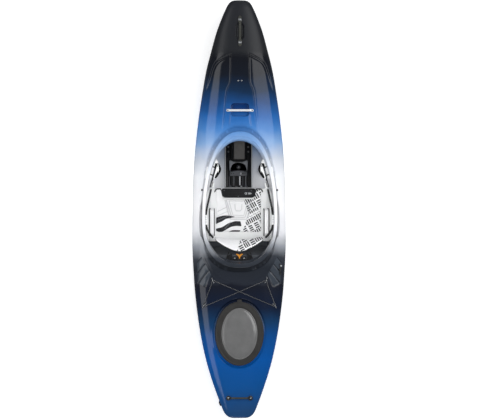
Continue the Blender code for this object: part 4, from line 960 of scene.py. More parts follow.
def lathe(name, profile, frame, mat, n=32, smooth_angle=40, shape=None):
    """Solid of revolution; the profile runs from the axis back to the axis. shape scales x and y by angle."""
    pts, faces, rings = [], [], []
    for r, z in profile:
        if r < 1e-7:
            pts.append((0, 0, z))
            rings.append([len(pts) - 1])
        else:
            ids = []
            for i in range(n):
                a = 2 * math.pi * i / n
                k = shape(a, r) if shape else 1.0
                pts.append((r * k * math.cos(a), r * k * math.sin(a), z))
                ids.append(len(pts) - 1)
            rings.append(ids)
    for a, b in zip(rings, rings[1:]):
        for i in range(n):
            j = (i + 1) % n
            if len(a) == 1 and len(b) == 1:
                continue
            if len(a) == 1:
                faces.append((a[0], b[i], b[j]))
            elif len(b) == 1:
                faces.append((a[i], b[0], a[j]))
            else:
                faces.append((a[i], b[i], b[j], a[j]))
    pts = [tuple(frame @ Vector(p)) for p in pts]
    return mesh_object(name, pts, faces, mat, smooth_angle)


def slab(name, outline, low, high, frame, mat, edge=0.0012, steps=3, axis="Z", smooth_angle=35, crown=0.0):
    """Prism with rounded edges from an anticlockwise outline."""
    outline = np.asarray(outline, float)
    area2 = np.sum(outline[:, 0] * np.roll(outline[:, 1], -1) - np.roll(outline[:, 0], -1) * outline[:, 1])
    if area2 < 0:
        outline = outline[::-1]
    edge = min(edge, (high - low) * 0.49)
    rows = []
    for i in range(steps + 1):
        a = math.pi / 2 * i / steps
        rows.append((offset(outline, -edge * (1 - math.sin(a))), low + edge * (1 - math.cos(a))))
    for i in range(steps + 1):
        a = math.pi / 2 * (1 - i / steps)
        rows.append((offset(outline, -edge * (1 - math.sin(a))), high - edge * (1 - math.cos(a))))
    pts, faces, n = [], [], len(outline)
    for ring, z in rows:
        for x, y in ring:
            pts.append((x, y, z))
    for k in range(len(rows) - 1):
        for i in range(n):
            j = (i + 1) % n
            faces.append((k * n + i, k * n + j, (k + 1) * n + j, (k + 1) * n + i))
    faces.append(tuple(reversed(range(n))))
    faces.append(tuple(range((len(rows) - 1) * n, len(rows) * n)))
    turn = {"Z": lambda p: p, "X": lambda p: (p[2], p[0], p[1]), "Y": lambda p: (p[0], p[2], p[1])}[axis]
    pts = [tuple(frame @ Vector(turn(p))) for p in pts]
    return mesh_object(name, pts, faces, mat, smooth_angle)


def shell(name, fn, nu, nv, thick, mat, edge=None, smooth_angle=45):
    """Closed curved plate: the surface fn(u, v) on top, thick below it, with a rolled edge."""
    u = np.linspace(0, 1, nu + 1)
    v = np.linspace(0, 1, nv + 1)
    top = np.array([[fn(a, b) for a in u] for b in v], float)
    du = np.gradient(top, axis=1)
    dv = np.gradient(top, axis=0)
    nrm = np.cross(du, dv)
    nrm /= np.linalg.norm(nrm, axis=2)[:, :, None]
    if nrm[:, :, 2].mean() < 0:
        nrm = -nrm
    thick_at = thick if callable(thick) else (lambda a, b: thick)
    t = np.array([[thick_at(a, b) for a in u] for b in v])[:, :, None]
    low = top - nrm * t
    w = nu + 1
    pts = np.concatenate([top.reshape(-1, 3), low.reshape(-1, 3)])
    faces = []
    base = w * (nv + 1)
    for j in range(nv):
        for i in range(nu):
            a, b, c, d = j * w + i, j * w + i + 1, (j + 1) * w + i + 1, (j + 1) * w + i
            faces.append((a, b, c, d))
            faces.append((base + d, base + c, base + b, base + a))
    rim = [i for i in range(w)] + [j * w + nu for j in range(1, nv + 1)] \
        + [nv * w + i for i in range(nu - 1, -1, -1)] + [j * w for j in range(nv - 1, 0, -1)]
    # the rolled edge is one more ring of points half-way down, pushed out
    mid = []
    centre = pts[:base].mean(0)
    for k, i in enumerate(rim):
        p, q = pts[i], pts[base + i]
        before, after = pts[rim[k - 1]], pts[rim[(k + 1) % len(rim)]]
        along = after - before
        out = np.cross(along, p - q)
        out /= max(np.linalg.norm(out), 1e-9)
        if out.dot(p - centre) < 0:
            out = -out
        mid.append((p + q) / 2 + out * np.linalg.norm(p - q) * (0.38 if edge is None else edge))
    pts = np.concatenate([pts, np.array(mid)])
    m0 = base * 2
    for k, i in enumerate(rim):
        j = rim[(k + 1) % len(rim)]
        kk = (k + 1) % len(rim)
        faces.append((j, i, m0 + k, m0 + kk))
        faces.append((base + i, base + j, m0 + kk, m0 + k))
    return mesh_object(name, pts, faces, mat, smooth_angle)


def inflate(obj, voxel, pressure, cap, smooth_to=1, frames=20):
    """Swells a closed soft form with cloth pressure; no point moves further than cap."""
    mod = obj.modifiers.new("voxels", "REMESH")
    mod.mode = "VOXEL"
    mod.voxel_size = voxel
    bake(obj)
    start = np.empty(len(obj.data.vertices) * 3)
    obj.data.vertices.foreach_get("co", start)
    start = start.reshape(-1, 3)
    cloth = obj.modifiers.new("cloth", "CLOTH")
    c = cloth.settings
    c.quality = 5
    c.mass = 0.2
    c.tension_stiffness = 12
    c.compression_stiffness = 12
    c.shear_stiffness = 6
    c.bending_stiffness = 0.6
    c.use_pressure = True
    c.uniform_pressure_force = pressure
    c.effector_weights.gravity = 0.0
    cloth.point_cache.frame_start = 1
    cloth.point_cache.frame_end = frames
    for f in range(1, frames + 1):
        bpy.context.scene.frame_set(f)
    bake(obj)
    bpy.context.scene.frame_set(1)
    now = np.empty(len(obj.data.vertices) * 3)
    obj.data.vertices.foreach_get("co", now)
    now = now.reshape(-1, 3)
    if len(now) == len(start):
        move = now - start
        size = np.linalg.norm(move, axis=1)
        move *= np.minimum(1.0, cap / np.maximum(size, 1e-9))[:, None]
        now = start + move
        obj.data.vertices.foreach_set("co", now.reshape(-1))
    sub = obj.modifiers.new("finer", "SUBSURF")
    sub.levels = sub.render_levels = smooth_to
    bake(obj)
    obj.data.shade_smooth()
    return obj


def press(obj, lines, width, depth, up=None):
    """Sews channels into a pad: points near the lines sink along their normals."""
    mesh = obj.data
    n = len(mesh.vertices)
    co = np.empty(n * 3)
    mesh.vertices.foreach_get("co", co)
    co = co.reshape(-1, 3)
    nr = np.empty(n * 3)
    mesh.vertices.foreach_get("normal", nr)
    nr = nr.reshape(-1, 3)
    sink = np.zeros(n)
    for line in lines:
        line = np.asarray(line, float)
        for a, b in zip(line, line[1:]):
            ab = b - a
            t = np.clip(((co[:, :2] - a[:2]) @ ab[:2]) / max(ab[:2] @ ab[:2], 1e-12), 0, 1)
            d = np.linalg.norm(co[:, :2] - (a[:2] + t[:, None] * ab[:2]), axis=1)
            sink = np.maximum(sink, np.exp(-(d / width) ** 2))
    facing = nr[:, 2] > 0.25 if up is None else nr @ np.asarray(up) > 0.25
    co = co - nr * (sink * depth * facing)[:, None]
    mesh.vertices.foreach_set("co", co.reshape(-1))
    mark = mesh.attributes.get("crease") or mesh.attributes.new("crease", "FLOAT", "POINT")
    old = np.empty(len(co))
    mark.data.foreach_get("value", old)
    mark.data.foreach_set("value", np.maximum(old, sink * facing))
    mesh.update()
    return obj


# ==================================================================== more materials
def plastic(name, base, rough, grain=900.0, depth=0.00008, tint=0.05, level=0.5, scratch=0.0, coat=0.0):
    """Moulded plastic: fine texture, slow colour drift, handling marks."""
    m = Nodes(name)
    c = lin(base)
    drift = m.noise(14.0, 3.0, 0.6)
    lo = tuple(max(0, v * (1 - tint)) for v in c)
    hi = tuple(min(1, v * (1 + tint)) for v in c)
    colour = m.ramp(drift, [(0.35, lo), (0.65, hi)])
    fine = m.noise(grain, 2.0, 0.6)
    if scratch:
        marks = m.noise(1.0, 5.0, 0.7, m.coords((300.0, 24.0, 160.0), (0, 0, 0.5)))
        colour = m.mix(m.range(marks, 0.64, 0.70, 0.0, scratch), colour, tuple(min(1, v * 0.5 + 0.28) for v in c))
    r = m.range(fine, 0.3, 0.7, rough - 0.05, rough + 0.05)
    m.set(Specular_IOR_Level=level, Coat_Weight=coat, Coat_Roughness=0.12)
    return m.out(colour, r, m.bump(fine, depth, 0.8))


def foam(name, base, cell=1100.0, depth=0.0003, rough=0.82):
    """Closed-cell foam: small pits and a few larger cells."""
    m = Nodes(name)
    c = lin(base)
    v = m.new("ShaderNodeTexVoronoi")
    v.inputs["Scale"].default_value = cell * 0.5
    m.link(m.coords(), v.inputs["Vector"])
    cells = m.noise(cell, 2.0, 0.6)
    pits = m.range(v.outputs["Distance"], 0.05, 0.45, 0.0, 1.0)
    cloud = m.noise(22.0, 3.0, 0.6)
    colour = m.ramp(cloud, [(0.3, tuple(x * 0.88 for x in c)), (0.7, tuple(min(1, x * 1.10) for x in c))])
    colour = m.mix(m.range(cells, 0.35, 0.6, 0.0, 0.22), colour, tuple(min(1, x * 1.7 + 0.004) for x in c))
    height = m.math("ADD", m.math("MULTIPLY", pits, 0.6), m.math("MULTIPLY", cells, 0.5))
    m.set(Specular_IOR_Level=0.25)
    return m.out(colour, m.range(cells, 0.3, 0.7, rough - 0.05, rough + 0.08), m.bump(height, depth, 0.9))


def webbing(name, base, edge, across=0.020, pitch=0.0017):
    """Woven strap, read along its own length: a herringbone of two halves and sewn edges."""
    m = Nodes(name)
    uv = m.new("ShaderNodeUVMap")
    uv.uv_map = "along"
    split = m.new("ShaderNodeSeparateXYZ")
    m.link(uv.outputs["UV"], split.inputs[0])
    fold = m.math("ABSOLUTE", split.outputs["Y"])
    diag = m.math("ADD", split.outputs["X"], m.math("MULTIPLY", fold, 0.9))
    ribs = m.math("SINE", m.math("MULTIPLY", diag, 2 * math.pi / pitch))
    warp = m.math("SINE", m.math("MULTIPLY", split.outputs["Y"], 2 * math.pi / (across / 14)))
    weave = m.math("MULTIPLY", m.math("ADD", ribs, 1.0), m.math("ADD", warp, 1.35))
    weave = m.range(weave, 0.0, 4.0, 0.0, 1.0)
    c = lin(base)
    fuzz = m.noise(500.0, 2.0, 0.6)
    colour = m.mix(weave, tuple(x * 0.55 for x in c), tuple(min(1, x * 1.35 + 0.004) for x in c))
    border = m.range(fold, across * 0.40, across * 0.46, 0.0, 1.0)
    colour = m.mix(border, colour, lin(edge))
    m.set(Sheen_Weight=0.25, Sheen_Roughness=0.5, Specular_IOR_Level=0.25)
    return m.out(colour, m.range(fuzz, 0.3, 0.7, 0.62, 0.8), m.bump(m.math("ADD", weave, m.math("MULTIPLY", fuzz, 0.3)), 0.0005, 0.9))


def metal(name, base="#c9cbcd", rough=0.24, brushed=(900.0, 60.0, 900.0)):
    m = Nodes(name)
    c = lin(base)
    streak = m.noise(1.0, 4.0, 0.7, m.coords(brushed))
    cloud = m.noise(60.0, 3.0, 0.6)
    colour = m.ramp(cloud, [(0.3, tuple(x * 0.90 for x in c)), (0.7, c)])
    m.set(Metallic=1.0)
    return m.out(colour, m.range(streak, 0.3, 0.7, rough - 0.07, rough + 0.10), m.bump(streak, 0.00004, 0.7))


def rubber(name, base, rough=0.55, level=0.4, dust_and_shade=0.10, coat=0.0):
    m = Nodes(name)
    c = lin(base)
    cloud = m.noise(16.0, 4.0, 0.6)
    fine = m.noise(1300.0, 2.0, 0.6)
    colour = m.ramp(cloud, [(0.35, tuple(x * 0.92 for x in c)), (0.68, tuple(min(1, x * (1 + dust_and_shade)) for x in c))])
    m.set(Specular_IOR_Level=level, Coat_Weight=coat, Coat_Roughness=0.10)
    return m.out(colour, m.range(cloud, 0.3, 0.7, rough - 0.05, rough + 0.07), m.bump(fine, 0.00006, 0.8))


def weave_normal(m, pitch, depth, coords=None):
    """Plain weave: two crossed families of threads."""
    v = coords or m.coords()
    split = m.new("ShaderNodeSeparateXYZ")
    m.link(v, split.inputs[0])
    a = m.math("SINE", m.math("MULTIPLY", split.outputs["X"], 2 * math.pi / pitch))
    b = m.math("SINE", m.math("MULTIPLY", split.outputs["Y"], 2 * math.pi / pitch))
    return m.range(m.math("MULTIPLY", a, b), -1.0, 1.0, 0.0, 1.0)


def seat_cloth(name, print_on=True):
    """Coated white cloth, fine weave, with a plain black motif: soft-edged bands, and rows of short bars."""
    m = Nodes(name)
    v = m.coords()
    split = m.new("ShaderNodeSeparateXYZ")
    m.link(v, split.inputs[0])
    x, y = split.outputs["X"], split.outputs["Y"]
    cloud = m.noise(18.0, 3.0, 0.55, v)
    colour = m.ramp(cloud, [(0.3, lin("#f3f3f4")), (0.7, lin("#f9f9fa"))])
    weave = weave_normal(m, 0.0016, 0.0002, v)
    if print_on:
        # broad bands that bend across the port side
        warp = m.noise(7.0, 1.5, 0.5, v)
        sweep_x = m.math("MULTIPLY", m.math("SINE", m.math("MULTIPLY", x, 26.0)), 0.55)
        field = m.math("ADD", m.math("MULTIPLY", y, 92.0), m.math("MULTIPLY", x, -38.0))
        field = m.math("ADD", m.math("ADD", field, sweep_x), m.math("MULTIPLY", warp, 7.0))
        bands = m.range(m.math("SINE", field), -0.20, -0.12, 0.0, 1.0)
        ex = m.math("POWER", m.math("DIVIDE", m.math("ABSOLUTE", m.math("ADD", x, 0.072)), 0.098), 2.4)
        ey = m.math("POWER", m.math("DIVIDE", m.math("ABSOLUTE", m.math("ADD", y, 0.108)), 0.066), 2.4)
        oval = m.math("ADD", m.math("ADD", ex, ey), m.math("MULTIPLY", warp, 0.9))
        bands = m.math("MULTIPLY", bands, m.range(oval, 1.45, 1.40, 0.0, 1.0))
        # basket pattern of short bars on the starboard side, laid aslant
        rx = m.math("ADD", m.math("MULTIPLY", x, 0.88), m.math("MULTIPLY", y, 0.47))
        ry = m.math("SUBTRACT", m.math("MULTIPLY", y, 0.88), m.math("MULTIPLY", x, 0.47))
        tx, ty = m.math("DIVIDE", rx, 0.0420), m.math("DIVIDE", ry, 0.0420)
        cx, cy = m.math("FLOOR", tx), m.math("FLOOR", ty)
        fx, fy = m.math("FRACT", tx), m.math("FRACT", ty)
        seed = m.math("ADD", m.math("MULTIPLY", cx, 12.9898), m.math("MULTIPLY", cy, 78.233))
        chance = m.math("FRACT", m.math("MULTIPLY", m.math("SINE", seed), 437.585))
        way = m.math("GREATER_THAN", chance, 0.5)
        pick = m.math("ADD", m.math("MULTIPLY", fx, way), m.math("MULTIPLY", fy, m.math("SUBTRACT", 1.0, way)))
        other = m.math("ADD", m.math("MULTIPLY", fy, way), m.math("MULTIPLY", fx, m.math("SUBTRACT", 1.0, way)))
        stroke = m.math("LESS_THAN", m.math("FRACT", m.math("MULTIPLY", pick, 3.0)), 0.60)
        inset = m.math("MULTIPLY", m.math("GREATER_THAN", other, 0.10), m.math("LESS_THAN", other, m.math("ADD", 0.72, m.math("MULTIPLY", chance, 0.24))))
        bars = m.math("MULTIPLY", stroke, inset)
        area_x = m.math("GREATER_THAN", m.math("ADD", x, m.math("MULTIPLY", m.math("ABSOLUTE", m.math("ADD", y, 0.03)), 0.35)), 0.070)
        gap = m.math("GREATER_THAN", m.math("ABSOLUTE", m.math("ADD", ry, 0.070)), 0.007)
        bars = m.math("MULTIPLY", m.math("MULTIPLY", bars, area_x), gap)
        ink = m.math("MAXIMUM", bands, bars)
        worn = m.range(m.noise(600.0, 2.0, 0.6, v), 0.30, 0.42, 0.75, 1.0)
        colour = m.mix(m.math("MULTIPLY", ink, worn), colour, lin("#15161a"))
    # cloth drawn into a sewn channel lies in its own shade
    crease = m.new("ShaderNodeAttribute")
    crease.attribute_name = "crease"
    colour = m.mix(m.range(crease.outputs["Fac"], 0.35, 1.0, 0.0, 0.42), colour, lin("#86888c"))
    fuzz = m.noise(1400.0, 2.0, 0.6, v)
    height = m.math("ADD", weave, m.math("MULTIPLY", fuzz, 0.5))
    m.set(Sheen_Weight=0.15, Sheen_Roughness=0.5, Specular_IOR_Level=0.35)
    return m.out(colour, m.range(fuzz, 0.3, 0.7, 0.48, 0.60), m.bump(height, 0.00012, 0.8))


def braid(name, base="#3a3c40", fleck="#c4c7cb"):
    """Braided cover of a cord, with light tracer threads."""
    m = Nodes(name)
    uv = m.new("ShaderNodeUVMap")
    uv.uv_map = "along"
    split = m.new("ShaderNodeSeparateXYZ")
    m.link(uv.outputs["UV"], split.inputs[0])
    a = m.math("SINE", m.math("MULTIPLY", m.math("ADD", split.outputs["X"], split.outputs["Y"]), 2 * math.pi / 0.0016))
    b = m.math("SINE", m.math("MULTIPLY", m.math("SUBTRACT", split.outputs["X"], split.outputs["Y"]), 2 * math.pi / 0.0016))
    weave = m.math("MAXIMUM", a, b)
    tracer = m.math("GREATER_THAN", m.math("SINE", m.math("MULTIPLY", split.outputs["X"], 2 * math.pi / 0.0096)), 0.93)
    colour = m.mix(m.range(weave, -0.2, 1.0, 0.0, 1.0), lin("#1b1c1f"), lin(base))
    colour = m.mix(m.math("MULTIPLY", tracer, 0.75), colour, lin(fleck))
    m.set(Sheen_Weight=0.2, Specular_IOR_Level=0.3)
    return m.out(colour, m.range(weave, -1.0, 1.0, 0.75, 0.55), m.bump(weave, 0.0004, 0.9))


BLACK = plastic("black_nylon", "#17181a", 0.46, 1100.0, 0.00010, 0.12, 0.5, 0.10)
TRACK_BLACK = plastic("track_nylon", "#101113", 0.34, 900.0, 0.00006, 0.15, 0.5, 0.15)
GREY_PLASTIC = plastic("grey_nylon", "#6c6f73", 0.36, 900.0, 0.00006, 0.08, 0.5, 0.1)
PALE_PLASTIC = plastic("pale_grey_nylon", "#a3a6a9", 0.40, 900.0, 0.00006, 0.05, 0.5, 0.1)
WHITE = plastic("white_moulding", "#f3f4f4", 0.40, 700.0, 0.00008, 0.02, 0.5, 0.0)
FOAM_DARK = foam("dark_foam", "#2b2b2c")
FOAM_BLACK = foam("black_foam", "#0f1012", 1500.0, 0.0002, 0.9)
FOAM_PILLAR = foam("pillar_foam", "#444342", 700.0, 0.0005, 0.9)
STEEL = metal("stainless")
STEEL_DARK = metal("socket_steel", "#6d6f72", 0.35)
WEB = webbing("black_webbing", "#101114", "#1a1b1e")
LADDER = plastic("ladder_nylon", "#131416", 0.38, 900.0, 0.00006, 0.12, 0.5, 0.1)
ORANGE = webbing("orange_webbing", "#e8962a", "#c9761a", 0.014, 0.0015)
HATCH_RING = rubber("hatch_rubber", "#2b2a29", 0.46, 0.45)
HATCH_DOME = rubber("hatch_dome_rubber", "#686868", 0.20, 0.9, 0.04)
GRIP_RUBBER = rubber("grip_rubber", "#393a35", 0.5, 0.4, 0.12)
CLOTH = seat_cloth("pad_cloth")
CLOTH_PLAIN = seat_cloth("pad_cloth_plain", False)
PIPING = webbing("piping_cloth", "#131417", "#131417", 0.012, 0.0012)
CORD = braid("shock_cord")
ALLOY = metal("satin_alloy", "#e4e6e9", 0.40)
ALLOY.node_tree.nodes["Principled BSDF"].inputs["Metallic"].default_value = 0.25
SLATE = foam("slate_foam", "#43464b")

LOOKS = {"rear_bulkhead": SLATE, "center_track": TRACK_BLACK,
         "foot_rail_left": BLACK, "foot_rail_right": BLACK, "foot_pedal_left": BLACK, "foot_pedal_right": BLACK,
         "skeg_box": BLACK, "skeg_pin": STEEL, "skeg_blade": BLACK, "skeg_slider": BLACK, "skeg_cable": BLACK,
         "skeg_cleat": BLACK, "hatch_rim": HATCH_RING, "drain_plug": BLACK, "lifter_latch": STEEL,
         "anchor_screw_left": STEEL, "anchor_screw_right": STEEL}
for node, mat in LOOKS.items():
    obj = frame["nodes"][node]
    for slot_ in obj.material_slots:
        slot_.material = mat
    if not obj.material_slots:
        obj.data.materials.append(mat)
NONE = Matrix.Identity(4)

# ==================================================================== deck fittings
def local(frame_matrix, x, y, z):
    return tuple(frame_matrix @ Vector((x, y, z)))


def screw_head(name, frame, radius, height, body, node, socket=0.45, mat=None, washer=None, slot_name="stainless_steel"):
    """Domed head with a hexagonal socket."""
    r, h = radius, height
    profile = [(0, -0.006), (r * 0.42, -0.006), (r * 0.42, 0.0), (r * 0.93, 0.0), (r, h * 0.14), (r * 0.985, h * 0.36),
               (r * 0.90, h * 0.62), (r * 0.74, h * 0.84), (r * 0.56, h * 0.97), (r * socket + 0.0001, h),
               (r * socket, h * 0.97), (r * socket * 0.97, h * 0.42), (0, h * 0.36)]

    def hexed(a, rad):
        if rad > r * socket * 1.05 or rad < r * socket * 0.5:
            return 1.0
        k = (a + math.pi / 6) % (math.pi / 3) - math.pi / 6
        return 0.90 / math.cos(k)
    obj = lathe(name, profile, frame, mat or STEEL, 36, 35, hexed)
    return place(obj, body, slot_name, node)


def bow_fittings():
    # moulded grip: pads round the screws, a narrower raised bar between them
    zb = [deck_z(0, y) for y in (1.300, 1.265, 1.240, 1.138, 1.112, 1.077)]
    line = [(1.291, zb[0] + 0.0030), (1.2790, zb[1] + 0.0032), (1.262, zb[1] + 0.0040), (1.249, zb[2] + 0.0070),
            (1.237, zb[2] + 0.0150), (1.226, zb[2] + 0.0192), (1.205, zb[2] + 0.0198), (1.175, zb[3] + 0.0200),
            (1.152, zb[3] + 0.0194), (1.141, zb[3] + 0.0150), (1.129, zb[3] + 0.0072), (1.114, zb[4] + 0.0042),
            (1.098, zb[5] + 0.0040), (1.086, zb[5] + 0.0034)]
    path = spline([(0, y, z) for y, z in line], 90)

    def wide(t):
        y = 1.291 - 0.205 * t
        end = max(math.exp(-((y - 1.2655) / 0.017) ** 4), math.exp(-((y - 1.112) / 0.018) ** 4))
        tip = min(1.0, (min(t, 1 - t) / 0.035 + 0.03) ** 0.5)
        return (0.62 + 0.38 * end) * tip
    ring = flat_ring(0.0258, 0.0056, 5)
    grip = sweep("bow_grip", path, ring, GRIP_RUBBER, scale=wide)
    place(grip, "hull", "black_plastic", "bow_handle")
    ribs = []
    for k in range(9):
        y = 1.222 - 0.0088 * k
        z = float(np.interp(-y, -path[:, 1], path[:, 2])) + 0.0027
        ribs.append(sweep("bow_grip_rib_%d" % k, spline([(-0.0058, y, z - 0.0003), (-0.003, y, z), (0.003, y, z),
                                                         (0.0058, y, z - 0.0003)], 12), round_ring(0.0008, 8),
                          GRIP_RUBBER))
    for rib in ribs:
        place(rib, "hull", "black_plastic")
    for y, tag in zip(BOW_SCREWS, ("front", "rear")):
        f = deck_frame(0, y, 0.0078)
        screw_head("bow_screw_head_" + tag, f, 0.0078, 0.0046, "hull", "bow_handle_screw_" + tag)
        cup = lathe("bow_screw_washer_" + tag, [(0, -0.0010), (0.0104, -0.0010), (0.0114, -0.0002), (0.0112, 0.0008),
                                                (0.0098, 0.0013), (0.0080, 0.0006), (0, 0.0004)], f, STEEL_DARK, 36)
        place(cup, "hull", "stainless_steel")


def stern_fittings():
    sx, sy = STERN_BOLTS
    zc = deck_z(0, sy)
    under = lambda x: deck_z(x, sy) + 0.0042
    half = [(sx + 0.0138, under(sx + 0.0138)), (sx + 0.004, under(sx + 0.004)), (sx - 0.011, under(sx - 0.011) + 0.0004),
            (0.052, zc + 0.0120), (0.040, zc + 0.0182), (0.020, zc + 0.0212), (0.0, zc + 0.0217)]
    line = [(-x, z) for x, z in half[:-1]] + list(reversed(half))
    path = spline([(x, sy, z) for x, z in line], 96)

    def wide(t):
        e = abs(2 * t - 1)
        end = smooth(0.62, 0.80, e)
        tip = min(1.0, ((1 - e) / 0.07 + 0.03) ** 0.5)
        return float((0.52 + 0.48 * end) * tip)
    grip = sweep("stern_grip", path, flat_ring(0.0225, 0.0048, 5), GRIP_RUBBER, scale=wide)
    place(grip, "hull", "black_plastic", "stern_handle")
    for k in range(-4, 5):
        x = k * 0.0090
        z = float(np.interp(x, path[:, 0], path[:, 2])) + 0.0023
        rib = sweep("stern_grip_rib_%d" % (k + 4), spline([(x, sy - 0.0058, z - 0.0003), (x, sy - 0.003, z), (x, sy + 0.003, z),
                                                         (x, sy + 0.0058, z - 0.0003)], 12), round_ring(0.0008, 8),
                    GRIP_RUBBER)
        place(rib, "hull", "black_plastic")
    for side, tag in ((-1, "left"), (1, "right")):
        f = deck_frame(side * sx, sy, 0.0078)
        w = lathe("stern_washer_" + tag, [(0, -0.0012), (0.0146, -0.0012), (0.0158, -0.0004), (0.0157, 0.0010),
                                          (0.0140, 0.0020), (0.0088, 0.0026), (0.0082, 0.0018), (0, 0.0016)], f, BLACK, 40)
        place(w, "hull", "black_plastic")
        screw_head("stern_screw_head_" + tag, deck_frame(side * sx, sy, 0.0096), 0.0068, 0.0044, "hull",
                   "stern_handle_bolt_" + tag)


def deck_hardware():
    by = 0.660
    bz = deck_z(0, by)
    # bar over the pocket: flattened ends on the deck, an arched middle
    half = [(0.0905, deck_z(0.0905, by) + 0.0032), (0.080, deck_z(0.080, by) + 0.0040), (0.0715, bz + 0.0060),
            (0.062, bz + 0.0076), (0.040, bz + 0.0083), (0.0, bz + 0.0086)]
    line = [(-x, z) for x, z in half[:-1]] + list(reversed(half))
    path = spline([(x, by, z) for x, z in line], 96)

    def wide(t):
        e = abs(2 * t - 1)
        tip = min(1.0, ((1 - e) / 0.055 + 0.02) ** 0.5)
        return float((0.80 + 0.20 * smooth(0.70, 0.84, e)) * tip)
    bar = sweep("lock_bar", path, flat_ring(0.0175, 0.0042, 6), ALLOY, scale=wide)
    place(bar, "hull", "stainless_steel", "security_bar")
    for side, tag in ((-1, "left"), (1, "right")):
        f = deck_frame(side * 0.0805, by, 0.0058)
        head = screw_head("lock_bar_screw_" + tag, f, 0.0046, 0.0024, "hull", "security_bar", mat=STEEL_DARK)
        f = deck_frame(side * DECK_SCREW[0], DECK_SCREW[1], 0.0006)
        screw_head("deck_screw_head_" + tag, f, 0.0050, 0.0024, "hull", "deck_screw_" + tag)
        f = deck_frame(side * RIM_BOLT[0], RIM_BOLT[1], 0.0010)
        screw_head("rim_bolt_head_" + tag, f, 0.0074, 0.0034, "hull", "rim_bolt_" + tag, mat=BLACK,
                   slot_name="stainless_steel")

    # pad eyes: a bent wire bow on a small flat foot, riveted at both ends
    corner = {(row, side): Vector((side * EYES[row][0], EYES[row][1], 0)) for row in EYES for side in (-1, 1)}
    route = [("front", 1), ("rear", -1), ("front", -1), ("rear", 1)]
    apex = {}
    for i, key in enumerate(route):
        here = corner[key]
        before = (corner[route[i - 1]] - here).normalized()
        after = (corner[route[(i + 1) % 4]] - here).normalized()
        away = -(before + after).normalized()
        apex[key] = (away, Vector((-away.y, away.x, 0)))
    for (row, side), here in corner.items():
        away, along = apex[(row, side)]
        heading = math.atan2(along.y, along.x) - math.pi / 2
        f = deck_frame(here.x, here.y, 0.0008, heading)
        tag = "%s_%s" % (row, "right" if side > 0 else "left")
        arch = [(-0.0185, 0.0022), (-0.0150, 0.0024), (-0.0118, 0.0034), (-0.0100, 0.0066), (-0.0082, 0.0102),
                (-0.0045, 0.0122), (0.0, 0.0127), (0.0045, 0.0122), (0.0082, 0.0102), (0.0100, 0.0066),
                (0.0118, 0.0034), (0.0150, 0.0024), (0.0185, 0.0022)]
        normal = f.to_3x3() @ Vector((0, 1, 0))
        path = spline([local(f, x, 0, z) for x, z in arch], 60)
        bow = sweep("eye_bow_" + tag, path, round_ring(0.0017, 12), STEEL, up=tuple(normal))
        place(bow, "hull", "stainless_steel", "pad_eye_" + tag)
        for s in (-1, 1):
            outline = [(s * 0.0155 + 0.0050 * math.cos(a), 0.0036 * math.sin(a))
                       for a in np.linspace(0, 2 * math.pi, 25)[:-1]]
            foot = slab("eye_foot_%s_%s" % (tag, "b" if s > 0 else "a"), outline, 0.0, 0.0012, f, STEEL, 0.0004, 2)
            place(foot, "hull", "stainless_steel")
            rivet = lathe("eye_rivet_%s_%s" % (tag, "b" if s > 0 else "a"),
                          [(0, 0.0010), (0.0026, 0.0010), (0.0027, 0.0016), (0.0022, 0.0034), (0.0012, 0.0043), (0, 0.0046)],
                          f @ Matrix.Translation((s * 0.0168, 0, 0)), STEEL_DARK, 20)
            place(rivet, "hull", "stainless_steel")

    # elastic cord round the four eyes, crossing in the middle
    on = lambda x, y, lift: deck_frame(x, y, lift).translation.copy()
    points = []
    for i, key in enumerate(route):
        nxt = route[(i + 1) % 4]
        a, b = corner[key], corner[nxt]
        away_a, along_a = apex[key]
        away_b, along_b = apex[nxt]
        heading = (b - a).normalized()
        if along_a.dot(heading) < 0:
            along_a = -along_a
        if along_b.dot(heading) > 0:
            along_b = -along_b
        points.append(on(a.x, a.y, 0.0038))
        bend = a + along_a * 0.0065 - away_a * 0.0022
        points.append(on(bend.x, bend.y, 0.0038))
        start, stop = bend + heading * 0.014 - away_a * 0.004, b + along_b * 0.0065 - away_b * 0.0022
        last = stop - heading * 0.014 - away_b * 0.004
        crossing = key[1] != nxt[1]
        count = 12 if crossing else 4
        for k in range(count):
            t = k / (count - 1)
            p = start.lerp(last, t)
            lift = 0.0036
            if crossing and key == ("front", -1):
                lift += 0.0062 * math.exp(-(((t - 0.43) / 0.075) ** 2))
            points.append(on(p.x, p.y, lift))
        points.append(on(stop.x, stop.y, 0.0038))
    path = spline(points, 520, closed=True)
    ring = [(0.0024 * math.cos(2 * math.pi * i / 10), 0.0024 * math.sin(2 * math.pi * i / 10)) for i in range(10)]
    cord = sweep("deck_cord", path, ring, CORD, closed=True)
    place(cord, "hull", "bungee_cord", "deck_bungee")


